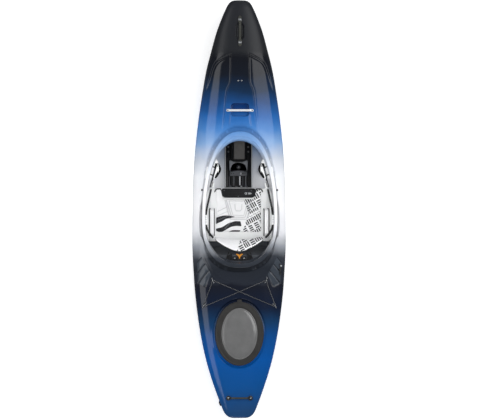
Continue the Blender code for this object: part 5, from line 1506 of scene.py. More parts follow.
def hatch():
    grow = HATCH_HALF[1] - HATCH_HALF[0]
    z0 = HATCH_Z + GAP

    def oval(name, profile, mat, n=160):
        pts, faces, rings = [], [], []
        for w, z in profile:
            if w < 1e-6:
                pts.append((0, HATCH_Y, z))
                rings.append([len(pts) - 1])
                continue
            g = grow * min(1.0, w / 0.10)
            ids = []
            for i in range(n):
                a = 2 * math.pi * i / n
                pts.append((w * math.cos(a), HATCH_Y + (w + g) * math.sin(a), z))
                ids.append(len(pts) - 1)
            rings.append(ids)
        for a, b in zip(rings, rings[1:]):
            for i in range(n):
                j = (i + 1) % n
                if len(a) == 1:
                    faces.append((a[0], b[i], b[j]))
                elif len(b) == 1:
                    faces.append((a[i], b[0], a[j]))
                else:
                    faces.append((a[i], b[i], b[j], a[j]))
        return mesh_object(name, pts, faces, mat, 60)
    # skirt and outer band of the cover, rolled over the rim
    ring = [(0.1195, z0 + 0.0238), (0.1500, z0 + 0.0212), (0.1540, z0 + 0.0200), (0.1547, z0 + 0.0170), (0.1549, z0 + 0.0080),
            (0.1556, z0 + 0.0063), (0.1590, z0 + 0.0060), (0.1612, z0 + 0.0068), (0.1619, z0 + 0.0090),
            (0.1620, z0 + 0.0150), (0.1616, z0 + 0.0205), (0.1606, z0 + 0.0236), (0.1586, z0 + 0.0252),
            (0.1560, z0 + 0.0256), (0.1535, z0 + 0.0250), (0.1515, z0 + 0.0243), (0.1490, z0 + 0.0241),
            (0.1440, z0 + 0.0246), (0.1380, z0 + 0.0250), (0.1310, z0 + 0.0253), (0.1262, z0 + 0.0250),
            (0.1240, z0 + 0.0243), (0.1226, z0 + 0.0240), (0.1205, z0 + 0.0244)]
    profile = ring + [ring[0]]
    pts, faces = [], []
    n, m = 180, len(ring)
    for w, z in ring:
        for i in range(n):
            a = 2 * math.pi * i / n
            pts.append((w * math.cos(a), HATCH_Y + (w + grow) * math.sin(a), z))
    for k in range(m):
        for i in range(n):
            j, kk = (i + 1) % n, (k + 1) % m
            faces.append((k * n + i, kk * n + i, kk * n + j, k * n + j))
    band = mesh_object("hatch_band", pts, faces, HATCH_RING, 60)
    place(band, "hatch_cover", "hatch_rubber", "hatch_cover")
    dome = [(0, z0 + 0.0236), (0.060, z0 + 0.0234), (0.105, z0 + 0.0226), (0.1180, z0 + 0.0228), (0.1206, z0 + 0.0246),
            (0.1208, z0 + 0.0262), (0.1200, z0 + 0.0276), (0.1180, z0 + 0.0286), (0.1150, z0 + 0.0292),
            (0.1130, z0 + 0.0289), (0.1112, z0 + 0.0288), (0.1090, z0 + 0.0296), (0.1040, z0 + 0.0312),
            (0.0950, z0 + 0.0332), (0.0800, z0 + 0.0350), (0.0600, z0 + 0.0361), (0.0400, z0 + 0.0366),
            (0.0200, z0 + 0.0369), (0, z0 + 0.0370)]
    lid = oval("hatch_dome", dome, HATCH_DOME, 180)
    place(lid, "hatch_cover", "hatch_rubber", "hatch_cover")
    outline = [(-0.0155, 0.2060), (-0.0155, 0.2220), (-0.0140, 0.2262), (-0.0105, 0.2286), (0.0105, 0.2286),
               (0.0140, 0.2262), (0.0155, 0.2220), (0.0155, 0.2060)]
    tab = slab("hatch_pull_tab", even_ring(np.array(outline), 40), 0.0185, 0.0226, Matrix.Translation((0, HATCH_Y, z0)),
               HATCH_RING, 0.0012, 3)
    place(tab, "hatch_cover", "hatch_rubber")
    for k in (-1, 0, 1):
        y = HATCH_Y + 0.2215 + 0.0022 * k
        rib = sweep("hatch_tab_rib_%d" % (k + 1), [(-0.0105, y, z0 + 0.0226), (-0.004, y, z0 + 0.0229), (0.004, y, z0 + 0.0229),
                                                  (0.0105, y, z0 + 0.0226)], round_ring(0.0006, 8), HATCH_RING)
        place(rib, "hatch_cover", "hatch_rubber")


bow_fittings()
stern_fittings()
deck_hardware()
hatch()


def cleat():
    """Wavy toggle that locks the skeg's cord, and the bead on the cord beside it."""
    low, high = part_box("skeg_cleat")
    f = deck_frame(CLEAT[0], CLEAT[1], 0.0006)
    right, left = [], []
    for i in range(61):
        y = -0.0372 + 0.0744 * i / 60
        end = math.sqrt(max(0.0, 1 - (abs(y) / 0.0372) ** 6))
        wave = 0.0026 * math.sin(y * 150)
        half = 0.0052 + 0.0026 * math.cos(y * 168)
        right.append((wave + half * end, y))
        left.append((wave - half * end, y))
    outline = even_ring(np.array(right + left[::-1]), 180)
    body = slab("cleat_body", outline, 0.0, 0.0084, f, BLACK, 0.0022, 5)
    place(body, "hull", "black_plastic", "skeg_cleat")
    for k, (x, y) in enumerate(((0.0014, 0.0272),)):
        pin = lathe("cleat_screw_%d" % k, [(0, 0.0074), (0.0032, 0.0074), (0.0034, 0.0082), (0.0026, 0.0090), (0, 0.0092)],
                    f @ Matrix.Translation((x, y, 0)), STEEL_DARK, 28)
        place(pin, "hull", "black_plastic")
    low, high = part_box("skeg_slider")
    mid = (low + high) / 2
    g = f.copy()
    g.translation = Vector((mid.x, mid.y, mid.z))
    bead = lathe("slider_bead", [(0, -0.0058), (0.0030, -0.0057), (0.0050, -0.0044), (0.0059, -0.0020), (0.0060, 0.0014), (0.0052, 0.0036),
                                 (0.0036, 0.0050), (0.0020, 0.0054), (0.0013, 0.0048), (0, 0.0047)], g, PALE_PLASTIC, 40)
    place(bead, "skeg_slider", "black_plastic", "skeg_slider")


cleat()


def pillars():
    """Foam walls under the deck, shaved to the inside of the moulding."""
    def wall(name, half, y0, y1, top, foot, mat, slot, node):
        ys = np.linspace(y0, y1, 241)
        xs = np.linspace(-half, half, 15)
        gx, gy = np.meshgrid(xs, ys)
        up, down = top(gx, gy), foot(gx, gy)
        pts, n, w = [], len(ys), len(xs)
        for z in (up, down):
            pts += [(x, y, h) for x, y, h in zip(gx.ravel(), gy.ravel(), z.ravel())]
        low = n * w
        faces = []
        for j in range(n - 1):
            for i in range(w - 1):
                a, b, c, d = j * w + i, j * w + i + 1, (j + 1) * w + i + 1, (j + 1) * w + i
                faces.append((a, b, c, d))
                faces.append((low + d, low + c, low + b, low + a))
        rim = [i for i in range(w)] + [j * w + w - 1 for j in range(1, n)] \
            + [(n - 1) * w + i for i in range(w - 2, -1, -1)] + [j * w for j in range(n - 2, 0, -1)]
        for k, i in enumerate(rim):
            j = rim[(k + 1) % len(rim)]
            faces.append((j, i, low + i, low + j))
        body = mesh_object(name, np.array(pts), faces, mat, smooth_angle=30)
        place(body, "hull", slot, node)

    def ceiling(x, y):
        return top_z(x, y, WALL) - 0.0012

    def front_top(x, y):
        line = [(0.338, 0.195), (0.350, 0.205), (0.440, 0.250), (0.499, 0.314), (0.504, 0.400), (1.080, 0.400)]
        z = np.interp(y, [a for a, _ in line], [b for _, b in line])
        z = np.minimum(z, ceiling(x, y))
        z = np.where((y > 0.610) & (y < 0.731), np.minimum(z, 0.290), z)
        return np.where((y > 0.844) & (y < 0.872) & (np.abs(x) < 0.026), np.minimum(z, 0.328), z)

    def front_foot(x, y):
        return np.where(y < 0.4725, 0.0335, fair(KEEL, y) + WALL + 0.0012)
    wall("pillar_front", 0.035, 0.338, 1.080, front_top, front_foot, FOAM_PILLAR, "dark_foam", "front_pillar")
    wall("pillar_rear", 0.030, -0.590, -0.3865, ceiling, lambda x, y: fair(KEEL, y) + WALL + 0.0012, FOAM_PILLAR,
         "grey_foam", "rear_pillar")


pillars()
# ==================================================================== seat
SEAT_FRONT, SEAT_REAR = 0.142, -0.212
NOTCH = (0.1180, 0.0760)


def seat_line(t, y):
    """Half cross-section of the seat, 0 at the centre to 1 at the outer edge of the wing's flange."""
    along = (y - SEAT_REAR) / (SEAT_FRONT - SEAT_REAR)
    rise = 0.034 * max(0.0, along - 0.35) ** 1.3
    top = 0.186 + 0.020 * math.sin(math.pi * along) - 0.018 * along
    wide = 0.2055 + 0.0215 * math.sin(math.pi * min(max(0.10 + 0.80 * along, 0), 1))
    knots = [(0.0, 0.0, 0.020 + rise), (0.20, 0.060, 0.0225 + rise), (0.42, 0.122, 0.034 + rise * 1.4),
             (0.57, 0.165, 0.058 + rise * 1.3), (0.68, 0.188, 0.090), (0.78, 0.197, 0.120), (0.92, 0.2035, top),
             (1.0, wide, top + 0.004)]
    i = max(k for k in range(len(knots) - 1) if knots[k][0] <= t + 1e-9)
    a, b = knots[i], knots[i + 1]
    s = (t - a[0]) / (b[0] - a[0])
    return a[1] + (b[1] - a[1]) * s, a[2] + (b[2] - a[2]) * s


def seat_z(x, y):
    """Height of the seat moulding at |x| up to .165."""
    t = [0.0, 0.20, 0.42, 0.57]
    xs = [0.0, 0.060, 0.122, 0.165]
    i = max(k for k in range(3) if xs[k] <= abs(x) + 1e-9)
    s = t[i] + (t[i + 1] - t[i]) * (abs(x) - xs[i]) / (xs[i + 1] - xs[i])
    return seat_line(s, y)[1]


def notch_edge(x):
    """Front edge of the cloth: straight outboard, let in behind the tray, with rounded corners."""
    ax = abs(x)
    return 0.0765 + (0.1405 - 0.0765) * float(smooth(0.100, 0.1235, ax)) - 0.004 * float(smooth(0.137, 0.156, ax)) ** 2


def seat_moulding():
    # the pan: the bowl under the pad and two wings that stand up beside it
    def surface(u, v):
        w = 2 * u - 1
        t = abs(w)
        y = SEAT_REAR + (SEAT_FRONT - SEAT_REAR) * v
        # rounds the knots of the line a little
        x, z = 0.0, 0.0
        for d, k in ((-0.024, 1), (-0.012, 2), (0.0, 3), (0.012, 2), (0.024, 1)):
            px, pz = seat_line(min(max(t + d, 0.0), 1.0), y)
            x += px * k / 9
            z += pz * k / 9
        if t > 0.985:
            x = seat_line(t, y)[0]
        limit = notch_edge(x) + 0.0015
        if t < 0.56 and y > limit:
            y = limit
        corner = float(smooth(0.80, 1.0, t))
        y -= corner * 0.020 * float(smooth(0.80, 1.0, v)) ** 2
        y += corner * 0.016 * float(smooth(0.20, 0.0, v)) ** 2
        # long ribs pressed into the wings
        x -= 0.0016 * math.exp(-((t - 0.86) / 0.018) ** 2) * float(smooth(0.08, 0.16, v)) * float(smooth(0.92, 0.84, v))
        return math.copysign(x, w), y, z
    q = 1.0
    pan = shell("seat_moulding", surface, int(150 * q), int(90 * q), 0.0036, WHITE, 0.42)
    place(pan, "hull", "white_plastic", "seat_pan")
    # the two ribs that carry the seat on the hull's floor
    for side, tag in ((-1, "left"), (1, "right")):
        outline = [(-0.188, FLOOR), (0.018, FLOOR), (0.018, 0.0190), (-0.188, 0.0190)]
        rib = slab("seat_keel_rib_" + tag, even_ring(np.array(outline), 60), side * 0.030 - 0.010, side * 0.030 + 0.010, NONE,
                   WHITE, 0.002, 3, "X")
        place(rib, "hull", "white_plastic")


REAR = -0.1555


def pad_top(x, y):
    return seat_z(x, y) + 0.0118


def seat_cushion():
    """Foam pad in white cloth: swollen by simulation, then sewn into channels."""
    nx, ny = 64, 56
    half = 0.1545

    def corner(x):
        return 0.010 * float(smooth(0.128, 0.1545, abs(x))) ** 2
    top, low = [], []
    for j in range(ny + 1):
        v = j / ny
        for i in range(nx + 1):
            x = half * (2 * i / nx - 1)
            front = notch_edge(x) - 0.003
            rear = REAR + corner(x)
            y = rear + (front - rear) * v
            edge = min(half - abs(x), y - rear, front - y)
            puff = math.sqrt(max(0.0, 1 - (1 - min(edge / 0.013, 1.0)) ** 2))
            zm = seat_z(x, y) + 0.0062
            top.append((x, y, zm + 0.0005 + 0.0042 * puff))
            low.append((x, y, zm - 0.0005 - 0.0034 * puff))
    w = nx + 1
    n = len(top)
    pts = np.array(top + low)
    faces = []
    for j in range(ny):
        for i in range(nx):
            a, b, c, d = j * w + i, j * w + i + 1, (j + 1) * w + i + 1, (j + 1) * w + i
            faces.append((a, b, c, d))
            faces.append((n + d, n + c, n + b, n + a))
    rim = [i for i in range(w)] + [j * w + nx for j in range(1, ny + 1)] \
        + [ny * w + i for i in range(nx - 1, -1, -1)] + [j * w for j in range(ny - 1, 0, -1)]
    for k, i in enumerate(rim):
        j = rim[(k + 1) % len(rim)]
        faces.append((j, i, n + i, n + j))
    pad = mesh_object("seat_cushion", pts, faces, CLOTH)
    inflate(pad, 0.0042, 3.2, 0.0030)
    trap = lambda a, b, y0, y1: [[(-a, y0), (-b, y1)], [(a, y0), (b, y1)], [(-b, y1), (b, y1)]]
    lines = trap(0.0815, 0.0450, 0.0640, -0.0530)
    fine = trap(0.0640, 0.0370, 0.0560, -0.0400) + [[(-0.062, 0.058), (0.062, 0.058)]]
    fine += [[(-0.0235, 0.034), (-0.0215, 0.000), (-0.014, -0.009), (0.014, -0.009), (0.0215, 0.000), (0.0235, 0.034)]]
    for s in (-1, 1):
        lines += [[(s * 0.0975, 0.0900), (s * 0.0560, -0.0640)]]
        for k in range(3):
            y0 = 0.0160 - 0.0290 * k
            fine += [[(s * 0.1400, y0 - 0.030), (s * (0.0800 - 0.008 * k), y0)]]
    lines += [[(-0.052, -0.066), (0.052, -0.066)], [(-0.052, -0.086), (-0.090, -0.128)], [(0.052, -0.086), (0.090, -0.128)]]
    wide = lambda ls: [[(a, b, 0) for a, b in l] for l in ls]
    press(pad, wide(lines), 0.0052, 0.0052)
    press(pad, wide(fine), 0.0038, 0.0032)
    # nothing above the space the solid holds, nothing into the moulding under it
    co = np.empty(len(pad.data.vertices) * 3)
    pad.data.vertices.foreach_get("co", co)
    co = co.reshape(-1, 3)
    floor_z = np.array([seat_z(min(abs(p[0]), 0.1649), p[1]) for p in co])
    co[:, 2] = np.maximum(co[:, 2], floor_z + 0.0014)
    co[:, 2] = np.minimum(co[:, 2], floor_z + 0.0140)
    pad.data.vertices.foreach_set("co", co.reshape(-1))
    pad.data.update()
    place(pad, "hull", "pad_fabric", "seat_pad")
    # piping along the pad's front edge, outboard of the tray
    for side, tag in ((-1, "left"), (1, "right")):
        pts = [(side * x, notch_edge(x) - 0.0015 - 0.020 * float(smooth(0.1500, 0.1640, x)) ** 1.5) for x in np.linspace(0.1630, 0.1065, 40)]
        path = spline([(x, y, seat_z(min(abs(x), 0.1649), y) + 0.0082) for x, y in pts], 120)
        piping = sweep("seat_piping_" + tag, path, round_ring(0.0036, 12), PIPING,
                       scale=lambda t: min(1.0, (min(t, 1 - t) / 0.06 + 0.04) ** 0.5))
        place(piping, "hull", "pad_fabric")


def lifter_tray():
    """Black tray between the front corners of the seat, with its turn latch."""
    pts = box_ring(0.1142, 0.0792, 0.1418, 0.014, 160)
    # lower corners rounder, narrower towards the rear
    pts = np.array(pts)
    t = np.clip((0.118 - pts[:, 1]) / 0.0388, 0, 1)
    pts[:, 0] *= 1 - 0.150 * (1 - np.sqrt(np.maximum(1 - t ** 2.2, 0)))
    low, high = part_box("leg_lifter")
    tray = slab("lifter_tray", pts, 0.0582, 0.0640, NONE, BLACK, 0.0016, 4)
    place(tray, "leg_lifter", "black_plastic", "leg_lifter")
    inner = offset(pts, -0.0050)
    border = []
    for d, z in ((0.0, 0.0636), (-0.0006, 0.0652), (-0.0018, 0.0659), (-0.0040, 0.0659), (-0.0052, 0.0652),
                 (-0.0058, 0.0636)):
        border.append(with_z(offset(pts, d - 0.0004), z))
    skin = Skin()
    rows = [skin.add(r) for r in border]
    for a, b in zip(rows, rows[1:] + rows[:1]):
        skin.band(a, b)
    lipped = mesh_object("lifter_border", skin.where(), skin.faces, BLACK, 60)
    place(lipped, "leg_lifter", "black_plastic")
    edge = slab("lifter_front_lip", even_ring(np.array([(-0.0935, 0.0442), (0.0935, 0.0442), (0.0935, 0.0584),
                (-0.0935, 0.0584)]), 60), 0.1352, 0.1403, NONE, BLACK, 0.0012, 3, "Y")
    place(edge, "leg_lifter", "black_plastic")
    for k, (x0, x1, y) in enumerate(((-0.082, 0.024, 0.1160), (-0.082, 0.024, 0.1060), (-0.076, 0.020, 0.0960))):
        rib = sweep("lifter_rib_%d" % k, [(x0, y, 0.0640), (x0 + 0.004, y, 0.0650), (x1 - 0.004, y, 0.0650), (x1, y, 0.0640)],
                    round_ring(0.0015, 8), BLACK)
        place(rib, "leg_lifter", "black_plastic")
    for k, x in enumerate((-0.096, -0.002, 0.086)):
        head = lathe("lifter_stud_%d" % k, [(0, 0.0634), (0.0042, 0.0634), (0.0044, 0.0646), (0.0036, 0.0656), (0.0018, 0.0660),
                                            (0, 0.0661)], Matrix.Translation((x, 0.0880 if k == 1 else 0.128, 0)), STEEL_DARK, 24)
        place(head, "leg_lifter", "stainless_steel")
    # the latch: a round boss with a key-shaped opening and a tapering pointer
    x0, y0, z0 = 0.0490, 0.1080, 0.0664
    shape = []
    for i in range(41):
        a = math.radians(32 + 296 * i / 40)
        shape.append((x0 + 0.0085 * math.cos(a), y0 + 0.0085 * math.sin(a)))
    shape += [(x0 + 0.018, y0 - 0.0062), (x0 + 0.028, y0 - 0.0062), (x0 + 0.036, y0 - 0.0040), (x0 + 0.0408, y0),
              (x0 + 0.036, y0 + 0.0040), (x0 + 0.028, y0 + 0.0062), (x0 + 0.018, y0 + 0.0062)]
    body = slab("latch_key", even_ring(np.array(shape), 110), z0 - 0.0002, z0 + 0.0040, NONE, PALE_PLASTIC, 0.0010, 3)
    place(body, "lifter_latch", "stainless_steel", "lifter_latch")
    dark = [(x0 + 0.0120 + 0.0052 * math.cos(a), y0 + 0.0046 * math.sin(a)) for a in np.linspace(0, 2 * math.pi, 33)[:-1]]
    eye = slab("latch_eye", np.array(dark), z0 + 0.0034, z0 + 0.0046, NONE, TRACK_BLACK, 0.0004, 2)
    place(eye, "lifter_latch", "black_plastic")
    boss = lathe("latch_boss", [(0, z0 + 0.0036), (0.0062, z0 + 0.0036), (0.0064, z0 + 0.0044), (0.0056, z0 + 0.0049),
                                (0.0028, z0 + 0.0050), (0.0022, z0 + 0.0042), (0, z0 + 0.0042)],
                 Matrix.Translation((x0 - 0.0012, y0, 0)), STEEL, 36)
    place(boss, "lifter_latch", "stainless_steel")


def hip_pads():
    for side, tag in ((-1, "left"), (1, "right")):
        outline = []
        for cy, cz, start in ((-0.020, 0.1780, 0), (-0.150, 0.1780, 90), (-0.150, 0.1390, 180), (-0.020, 0.1390, 270)):
            for i in range(13):
                a = math.radians(start + 90 * i / 12)
                outline.append((cy + 0.0265 * math.cos(a), cz + 0.0255 * math.sin(a)))
        ring = even_ring(np.array(outline), 150)
        lo, hi = (0.1662, 0.1906) if side > 0 else (-0.1906, -0.1662)
        pad = slab("hip_cushion_" + tag, ring, lo, hi, NONE, CLOTH_PLAIN, 0.0050, 5, "X")
        inflate(pad, 0.0038, 3.0, 0.0016)
        co = np.empty(len(pad.data.vertices) * 3)
        pad.data.vertices.foreach_get("co", co)
        co = co.reshape(-1, 3)
        ax = np.abs(co[:, 0])
        ends = smooth(-0.166, -0.140, co[:, 1]) * smooth(-0.004, -0.030, co[:, 1])
        groove = sum(np.exp(-((co[:, 2] - z) / 0.0028) ** 2) for z in (0.1450, 0.1720))
        ax = np.where(ax < 0.1784, ax + 0.0026 * groove * ends, ax)
        ax = np.clip(ax, 0.1643, 0.1922)
        # the outer face leans on the seat's flared wing
        lean = smooth(0.120, 0.188, co[:, 2])
        ax = ax + np.maximum(ax - 0.1784, 0) / 0.0138 * 0.0088 * lean
        co[:, 0] = side * ax
        pad.data.vertices.foreach_set("co", co.reshape(-1))
        pad.data.update()
        place(pad, "hull", "pad_fabric", "hip_pad_" + tag)
        wide = offset(ring, -0.0012)
        for k, x in enumerate((0.1668, 0.1900)):
            loop = [(side * (x + (0.0085 * float(smooth(0.120, 0.188, z)) if k else 0.0)), y, z) for y, z in wide]
            pipe = sweep("hip_piping_%s_%d" % (tag, k), loop, round_ring(0.0028, 12), PIPING, closed=True, up=(1, 0, 0))
            place(pipe, "hull", "pad_fabric")
        # piping across the front of the pad
        nose = [(side * x, y, z) for x, y, z in ((0.1985, -0.0005, 0.1900), (0.1960, 0.0035, 0.1860), (0.1890, 0.0020, 0.1850),
                                                  (0.1800, -0.0035, 0.1865), (0.1720, -0.0100, 0.1900), (0.1672, -0.0170, 0.1945))]
        pipe = sweep("hip_nose_piping_" + tag, spline(nose, 60), round_ring(0.0026, 12), PIPING, up=(0, 0, 1))
        place(pipe, "hull", "pad_fabric")


# ==================================================================== backband
def band_front(w, v):
    """Front face of the backband: w across from -1 to 1, v from its lower to its upper edge."""
    x = (0.157 + 0.004 * v) * w
    low = -0.176 - 0.020 * (1 - w * w)
    high = -0.187 - 0.088 * (1 - abs(w) ** 1.5)
    lean = v ** 1.25
    z = 0.098 + 0.010 * w * w + (0.146 - 0.034 * abs(w) ** 1.6) * v
    return np.array((x, low + (high - low) * lean, z))


def band_normal(w, v):
    e = 0.01
    a = band_front(min(w + e, 1), v) - band_front(max(w - e, -1), v)
    b = band_front(w, min(v + e, 1)) - band_front(w, max(v - e, 0))
    n = np.cross(a, b)
    n /= np.linalg.norm(n)
    return n if n[1] > 0 else -n


def backband():
    nu, nv = 72, 34
    top, low = [], []
    for j in range(nv + 1):
        for i in range(nu + 1):
            w, v = 2 * i / nu - 1, j / nv
            # rounded plan
            p = band_front(w * 0.985, 0.02 + 0.96 * v)
            n = band_normal(w * 0.985, 0.02 + 0.96 * v)
            edge = min((1 - abs(w)) * 0.157, min(v, 1 - v) * 0.150)
            puff = math.sqrt(max(0.0, 1 - (1 - min(edge / 0.018, 1.0)) ** 2))
            mid = p - n * 0.0088
            top.append(mid + n * (0.0006 + 0.0072 * puff))
            low.append(mid - n * (0.0006 + 0.0070 * puff))
    w_, n_ = nu + 1, len(top)
    faces = []
    for j in range(nv):
        for i in range(nu):
            a, b, c, d = j * w_ + i, j * w_ + i + 1, (j + 1) * w_ + i + 1, (j + 1) * w_ + i
            faces.append((a, b, c, d))
            faces.append((n_ + d, n_ + c, n_ + b, n_ + a))
    rim = [i for i in range(w_)] + [j * w_ + nu for j in range(1, nv + 1)] \
        + [nv * w_ + i for i in range(nu - 1, -1, -1)] + [j * w_ for j in range(nv - 1, 0, -1)]
    for k, i in enumerate(rim):
        j = rim[(k + 1) % len(rim)]
        faces.append((j, i, n_ + i, n_ + j))
    pad = mesh_object("backband_cushion", np.array(top + low), faces, CLOTH)
    inflate(pad, 0.0042, 2.6, 0.0022)
    # sewn panels: a wide middle panel, and two lines across each end
    seams = []
    for a, b in (((-0.34, 0.05), (-0.42, 0.95)), ((0.34, 0.05), (0.42, 0.95)), ((-0.66, 0.06), (-0.74, 0.94)),
                 ((0.66, 0.06), (0.74, 0.94)), ((-0.40, 0.72), (0.40, 0.72)), ((0.0, 0.74), (0.0, 0.96))):
        seams.append([band_front(a[0] + (b[0] - a[0]) * t, a[1] + (b[1] - a[1]) * t) for t in np.linspace(0, 1, 24)])
    mesh = pad.data
    n = len(mesh.vertices)
    co, nr = np.empty(n * 3), np.empty(n * 3)
    mesh.vertices.foreach_get("co", co)
    mesh.vertices.foreach_get("normal", nr)
    co, nr = co.reshape(-1, 3), nr.reshape(-1, 3)
    sink = np.zeros(n)
    for line in seams:
        for a, b in zip(line, line[1:]):
            ab = b - a
            t = np.clip(((co - a) @ ab) / (ab @ ab), 0, 1)
            d = np.linalg.norm(co - (a + t[:, None] * ab), axis=1)
            d = np.sqrt(np.maximum(d * d - 0.0020 ** 2, 0))
            sink = np.maximum(sink, np.exp(-(d / 0.0040) ** 2))
    co -= nr * (sink * 0.0026 * (nr[:, 1] > 0.1))[:, None]
    mesh.vertices.foreach_set("co", co.reshape(-1))
    mesh.update()
    place(pad, "backband", "pad_fabric", "backband")
    edge = []
    for u in np.linspace(-0.97, 0.97, 40):
        edge.append((u, 1.0))
    for v in np.linspace(0.95, 0.05, 16):
        edge.append((1.0, v))
    for u in np.linspace(0.97, -0.97, 40):
        edge.append((u, 0.0))
    for v in np.linspace(0.05, 0.95, 16):
        edge.append((-1.0, v))
    loop = [band_front(w * 0.985, 0.02 + 0.96 * v) - band_normal(w * 0.985, 0.02 + 0.96 * v) * 0.0148 for w, v in edge]
    loop = [np.array((min(max(q[0], -0.1575), 0.1575), q[1], q[2])) for q in loop]
    pipe = sweep("backband_piping", spline(loop, 360, closed=True), round_ring(0.0027, 10), PIPING, closed=True, up=(0.1, 1, 0.2))
    place(pipe, "backband", "pad_fabric")


seat_moulding()
seat_cushion()
lifter_tray()
hip_pads()
backband()
# ==================================================================== thigh braces
def braces():
    for side, tag in ((-1, "left"), (1, "right")):
        def height(x, y, u, bow):
            roof = min(deck_z(x, y), fair(RIM_HEIGHT, y) - 0.012)
            return roof - (0.0125 + 0.014 * u**3) + 0.001 * bow

        def across(v, inner):
            """Outer edge, outer and inner side of the slot over the ladder strap, inner edge."""
            y = 0.205 + 0.130 * v
            strap = 0.1940 - 0.268 * (y - 0.170) - 0.0015
            edge_in = inner(v)
            outer = 0.232 - 0.020 * v - 0.055 * float(smooth(0.70, 1.0, v))
            slot_in = max(strap - 0.0088, edge_in + 0.0008)
            slot_out = max(strap + 0.0088, slot_in + 0.0008)
            return y, max(outer, slot_out + 0.0010), slot_out, slot_in, edge_in

        def edge(v):
            return 0.1395 + 0.0235 * max(0.0, 1 - 2 * v) ** 2 + 0.0130 * max(0.0, 2 * v - 1) ** 2

        def strip(a, b, v0, v1, name, nu, nv):
            def plate(u, v):
                vv = v0 + (v1 - v0) * (0.01 + 0.98 * v)
                y, outer, slot_out, slot_in, inner = across(vv, edge)
                ends = {"outer": outer, "slot_out": slot_out, "slot_in": slot_in, "inner": inner}
                x = ends[a] + (ends[b] - ends[a]) * u
                whole = (outer - x) / (outer - inner)
                z = height(x, y, min(max(whole, 0), 1), math.sin(math.pi * vv))
                z += 0.0016 * float(smooth(0.93, 1.0, whole)) - 0.0012
                return side * x, y, z
            body = shell("%s_%s" % (name, tag), plate, nu, nv, 0.0036, WHITE, 0.40)
            return body
        flange = strip("outer", "slot_out", 0.0, 1.0, "brace_flange", 34, 60)
        place(flange, "thigh_brace_" + tag, "white_plastic", "thigh_brace_" + tag)
        plate = strip("slot_in", "inner", 0.0, 1.0, "brace_plate", 24, 60)
        place(plate, "thigh_brace_" + tag, "white_plastic", "thigh_brace_" + tag)
        bridge = strip("slot_out", "slot_in", 0.80, 1.0, "brace_bridge", 14, 14)
        place(bridge, "thigh_brace_" + tag, "white_plastic", "thigh_brace_" + tag)
        # foam under it, which shows inboard as a dark crescent
        nu, nv = 44, 44
        upper, lower = [], []
        for j in range(nv + 1):
            for i in range(nu + 1):
                u, v = i / nu, j / nv
                y = 0.2075 + 0.118 * v
                inner = 0.1225 + 0.0340 * abs(2 * v - 1) ** (1.5 if v < 0.5 else 2.0)
                x = 0.168 + (inner - 0.168) * u
                whole = (0.222 - x) / 0.098
                gap = min((1.0 - u) * 0.045, u * 0.045, v * 0.118, (1 - v) * 0.118)
                puff = math.sqrt(max(0.0, 1 - (1 - min(gap / 0.007, 1.0)) ** 2))
                zm = height(x, y, min(whole, 1.0), math.sin(math.pi * v)) - 0.0112
                upper.append((side * x, y, zm + 0.0008 + 0.0040 * puff))
                lower.append((side * x, y, zm - 0.0008 - 0.0038 * puff))
        w, n = nu + 1, len(upper)
        faces = []
        for j in range(nv):
            for i in range(nu):
                a, b, c, d = j * w + i, j * w + i + 1, (j + 1) * w + i + 1, (j + 1) * w + i
                faces.append((a, b, c, d))
                faces.append((n + d, n + c, n + b, n + a))
        rim = [i for i in range(w)] + [j * w + nu for j in range(1, nv + 1)] \
            + [nv * w + i for i in range(nu - 1, -1, -1)] + [j * w for j in range(nv - 1, 0, -1)]
        for k, i in enumerate(rim):
            j = rim[(k + 1) % len(rim)]
            faces.append((j, i, n + i, n + j))
        pad = mesh_object("brace_foam_" + tag, np.array(upper + lower), faces, FOAM_BLACK)
        inflate(pad, 0.0038, 1.2, 0.0008)
        place(pad, "thigh_brace_" + tag, "dark_foam", "thigh_pad_" + tag)
        # keeper hooks on the flange, and a bolt through the plate
        for k, (y, x, turn) in enumerate(((0.2835, 0.1745, 0.42), (0.2310, 0.1880, 0.36))):
            whole = (0.232 - 0.020 * ((y - 0.205) / 0.130) - x) / 0.09
            z = height(x, y, whole, 0.7)
            f = Matrix.Translation((side * x, y, z + 0.0110)) @ Matrix.Rotation(side * turn, 4, "Z") @ Matrix.Rotation(side * 0.10, 4, "Y")
            hook = [(-0.0105, -0.0034), (0.0070, -0.0042), (0.0105, -0.0026), (0.0105, 0.0026), (0.0070, 0.0042), (-0.0105, 0.0034)]
            arm = slab("brace_hook_%s_%d" % (tag, k), even_ring(np.array(hook), 60), -0.0115, 0.0034, f, BLACK, 0.0009, 3)
            place(arm, "thigh_brace_" + tag, "black_plastic")
        x, y = 0.1475, 0.2900
        f = Matrix.Translation((side * x, y, height(x, y, 0.86, 0.9) - 0.0006))
        head = lathe("brace_bolt_" + tag, [(0, -0.001), (0.0040, -0.001), (0.0044, 0.0004), (0.0038, 0.0018),
                                          (0.0026, 0.0024), (0.0018, 0.0020), (0, 0.0016)], f, STEEL_DARK, 28)
        place(head, "thigh_brace_" + tag, "stainless_steel")


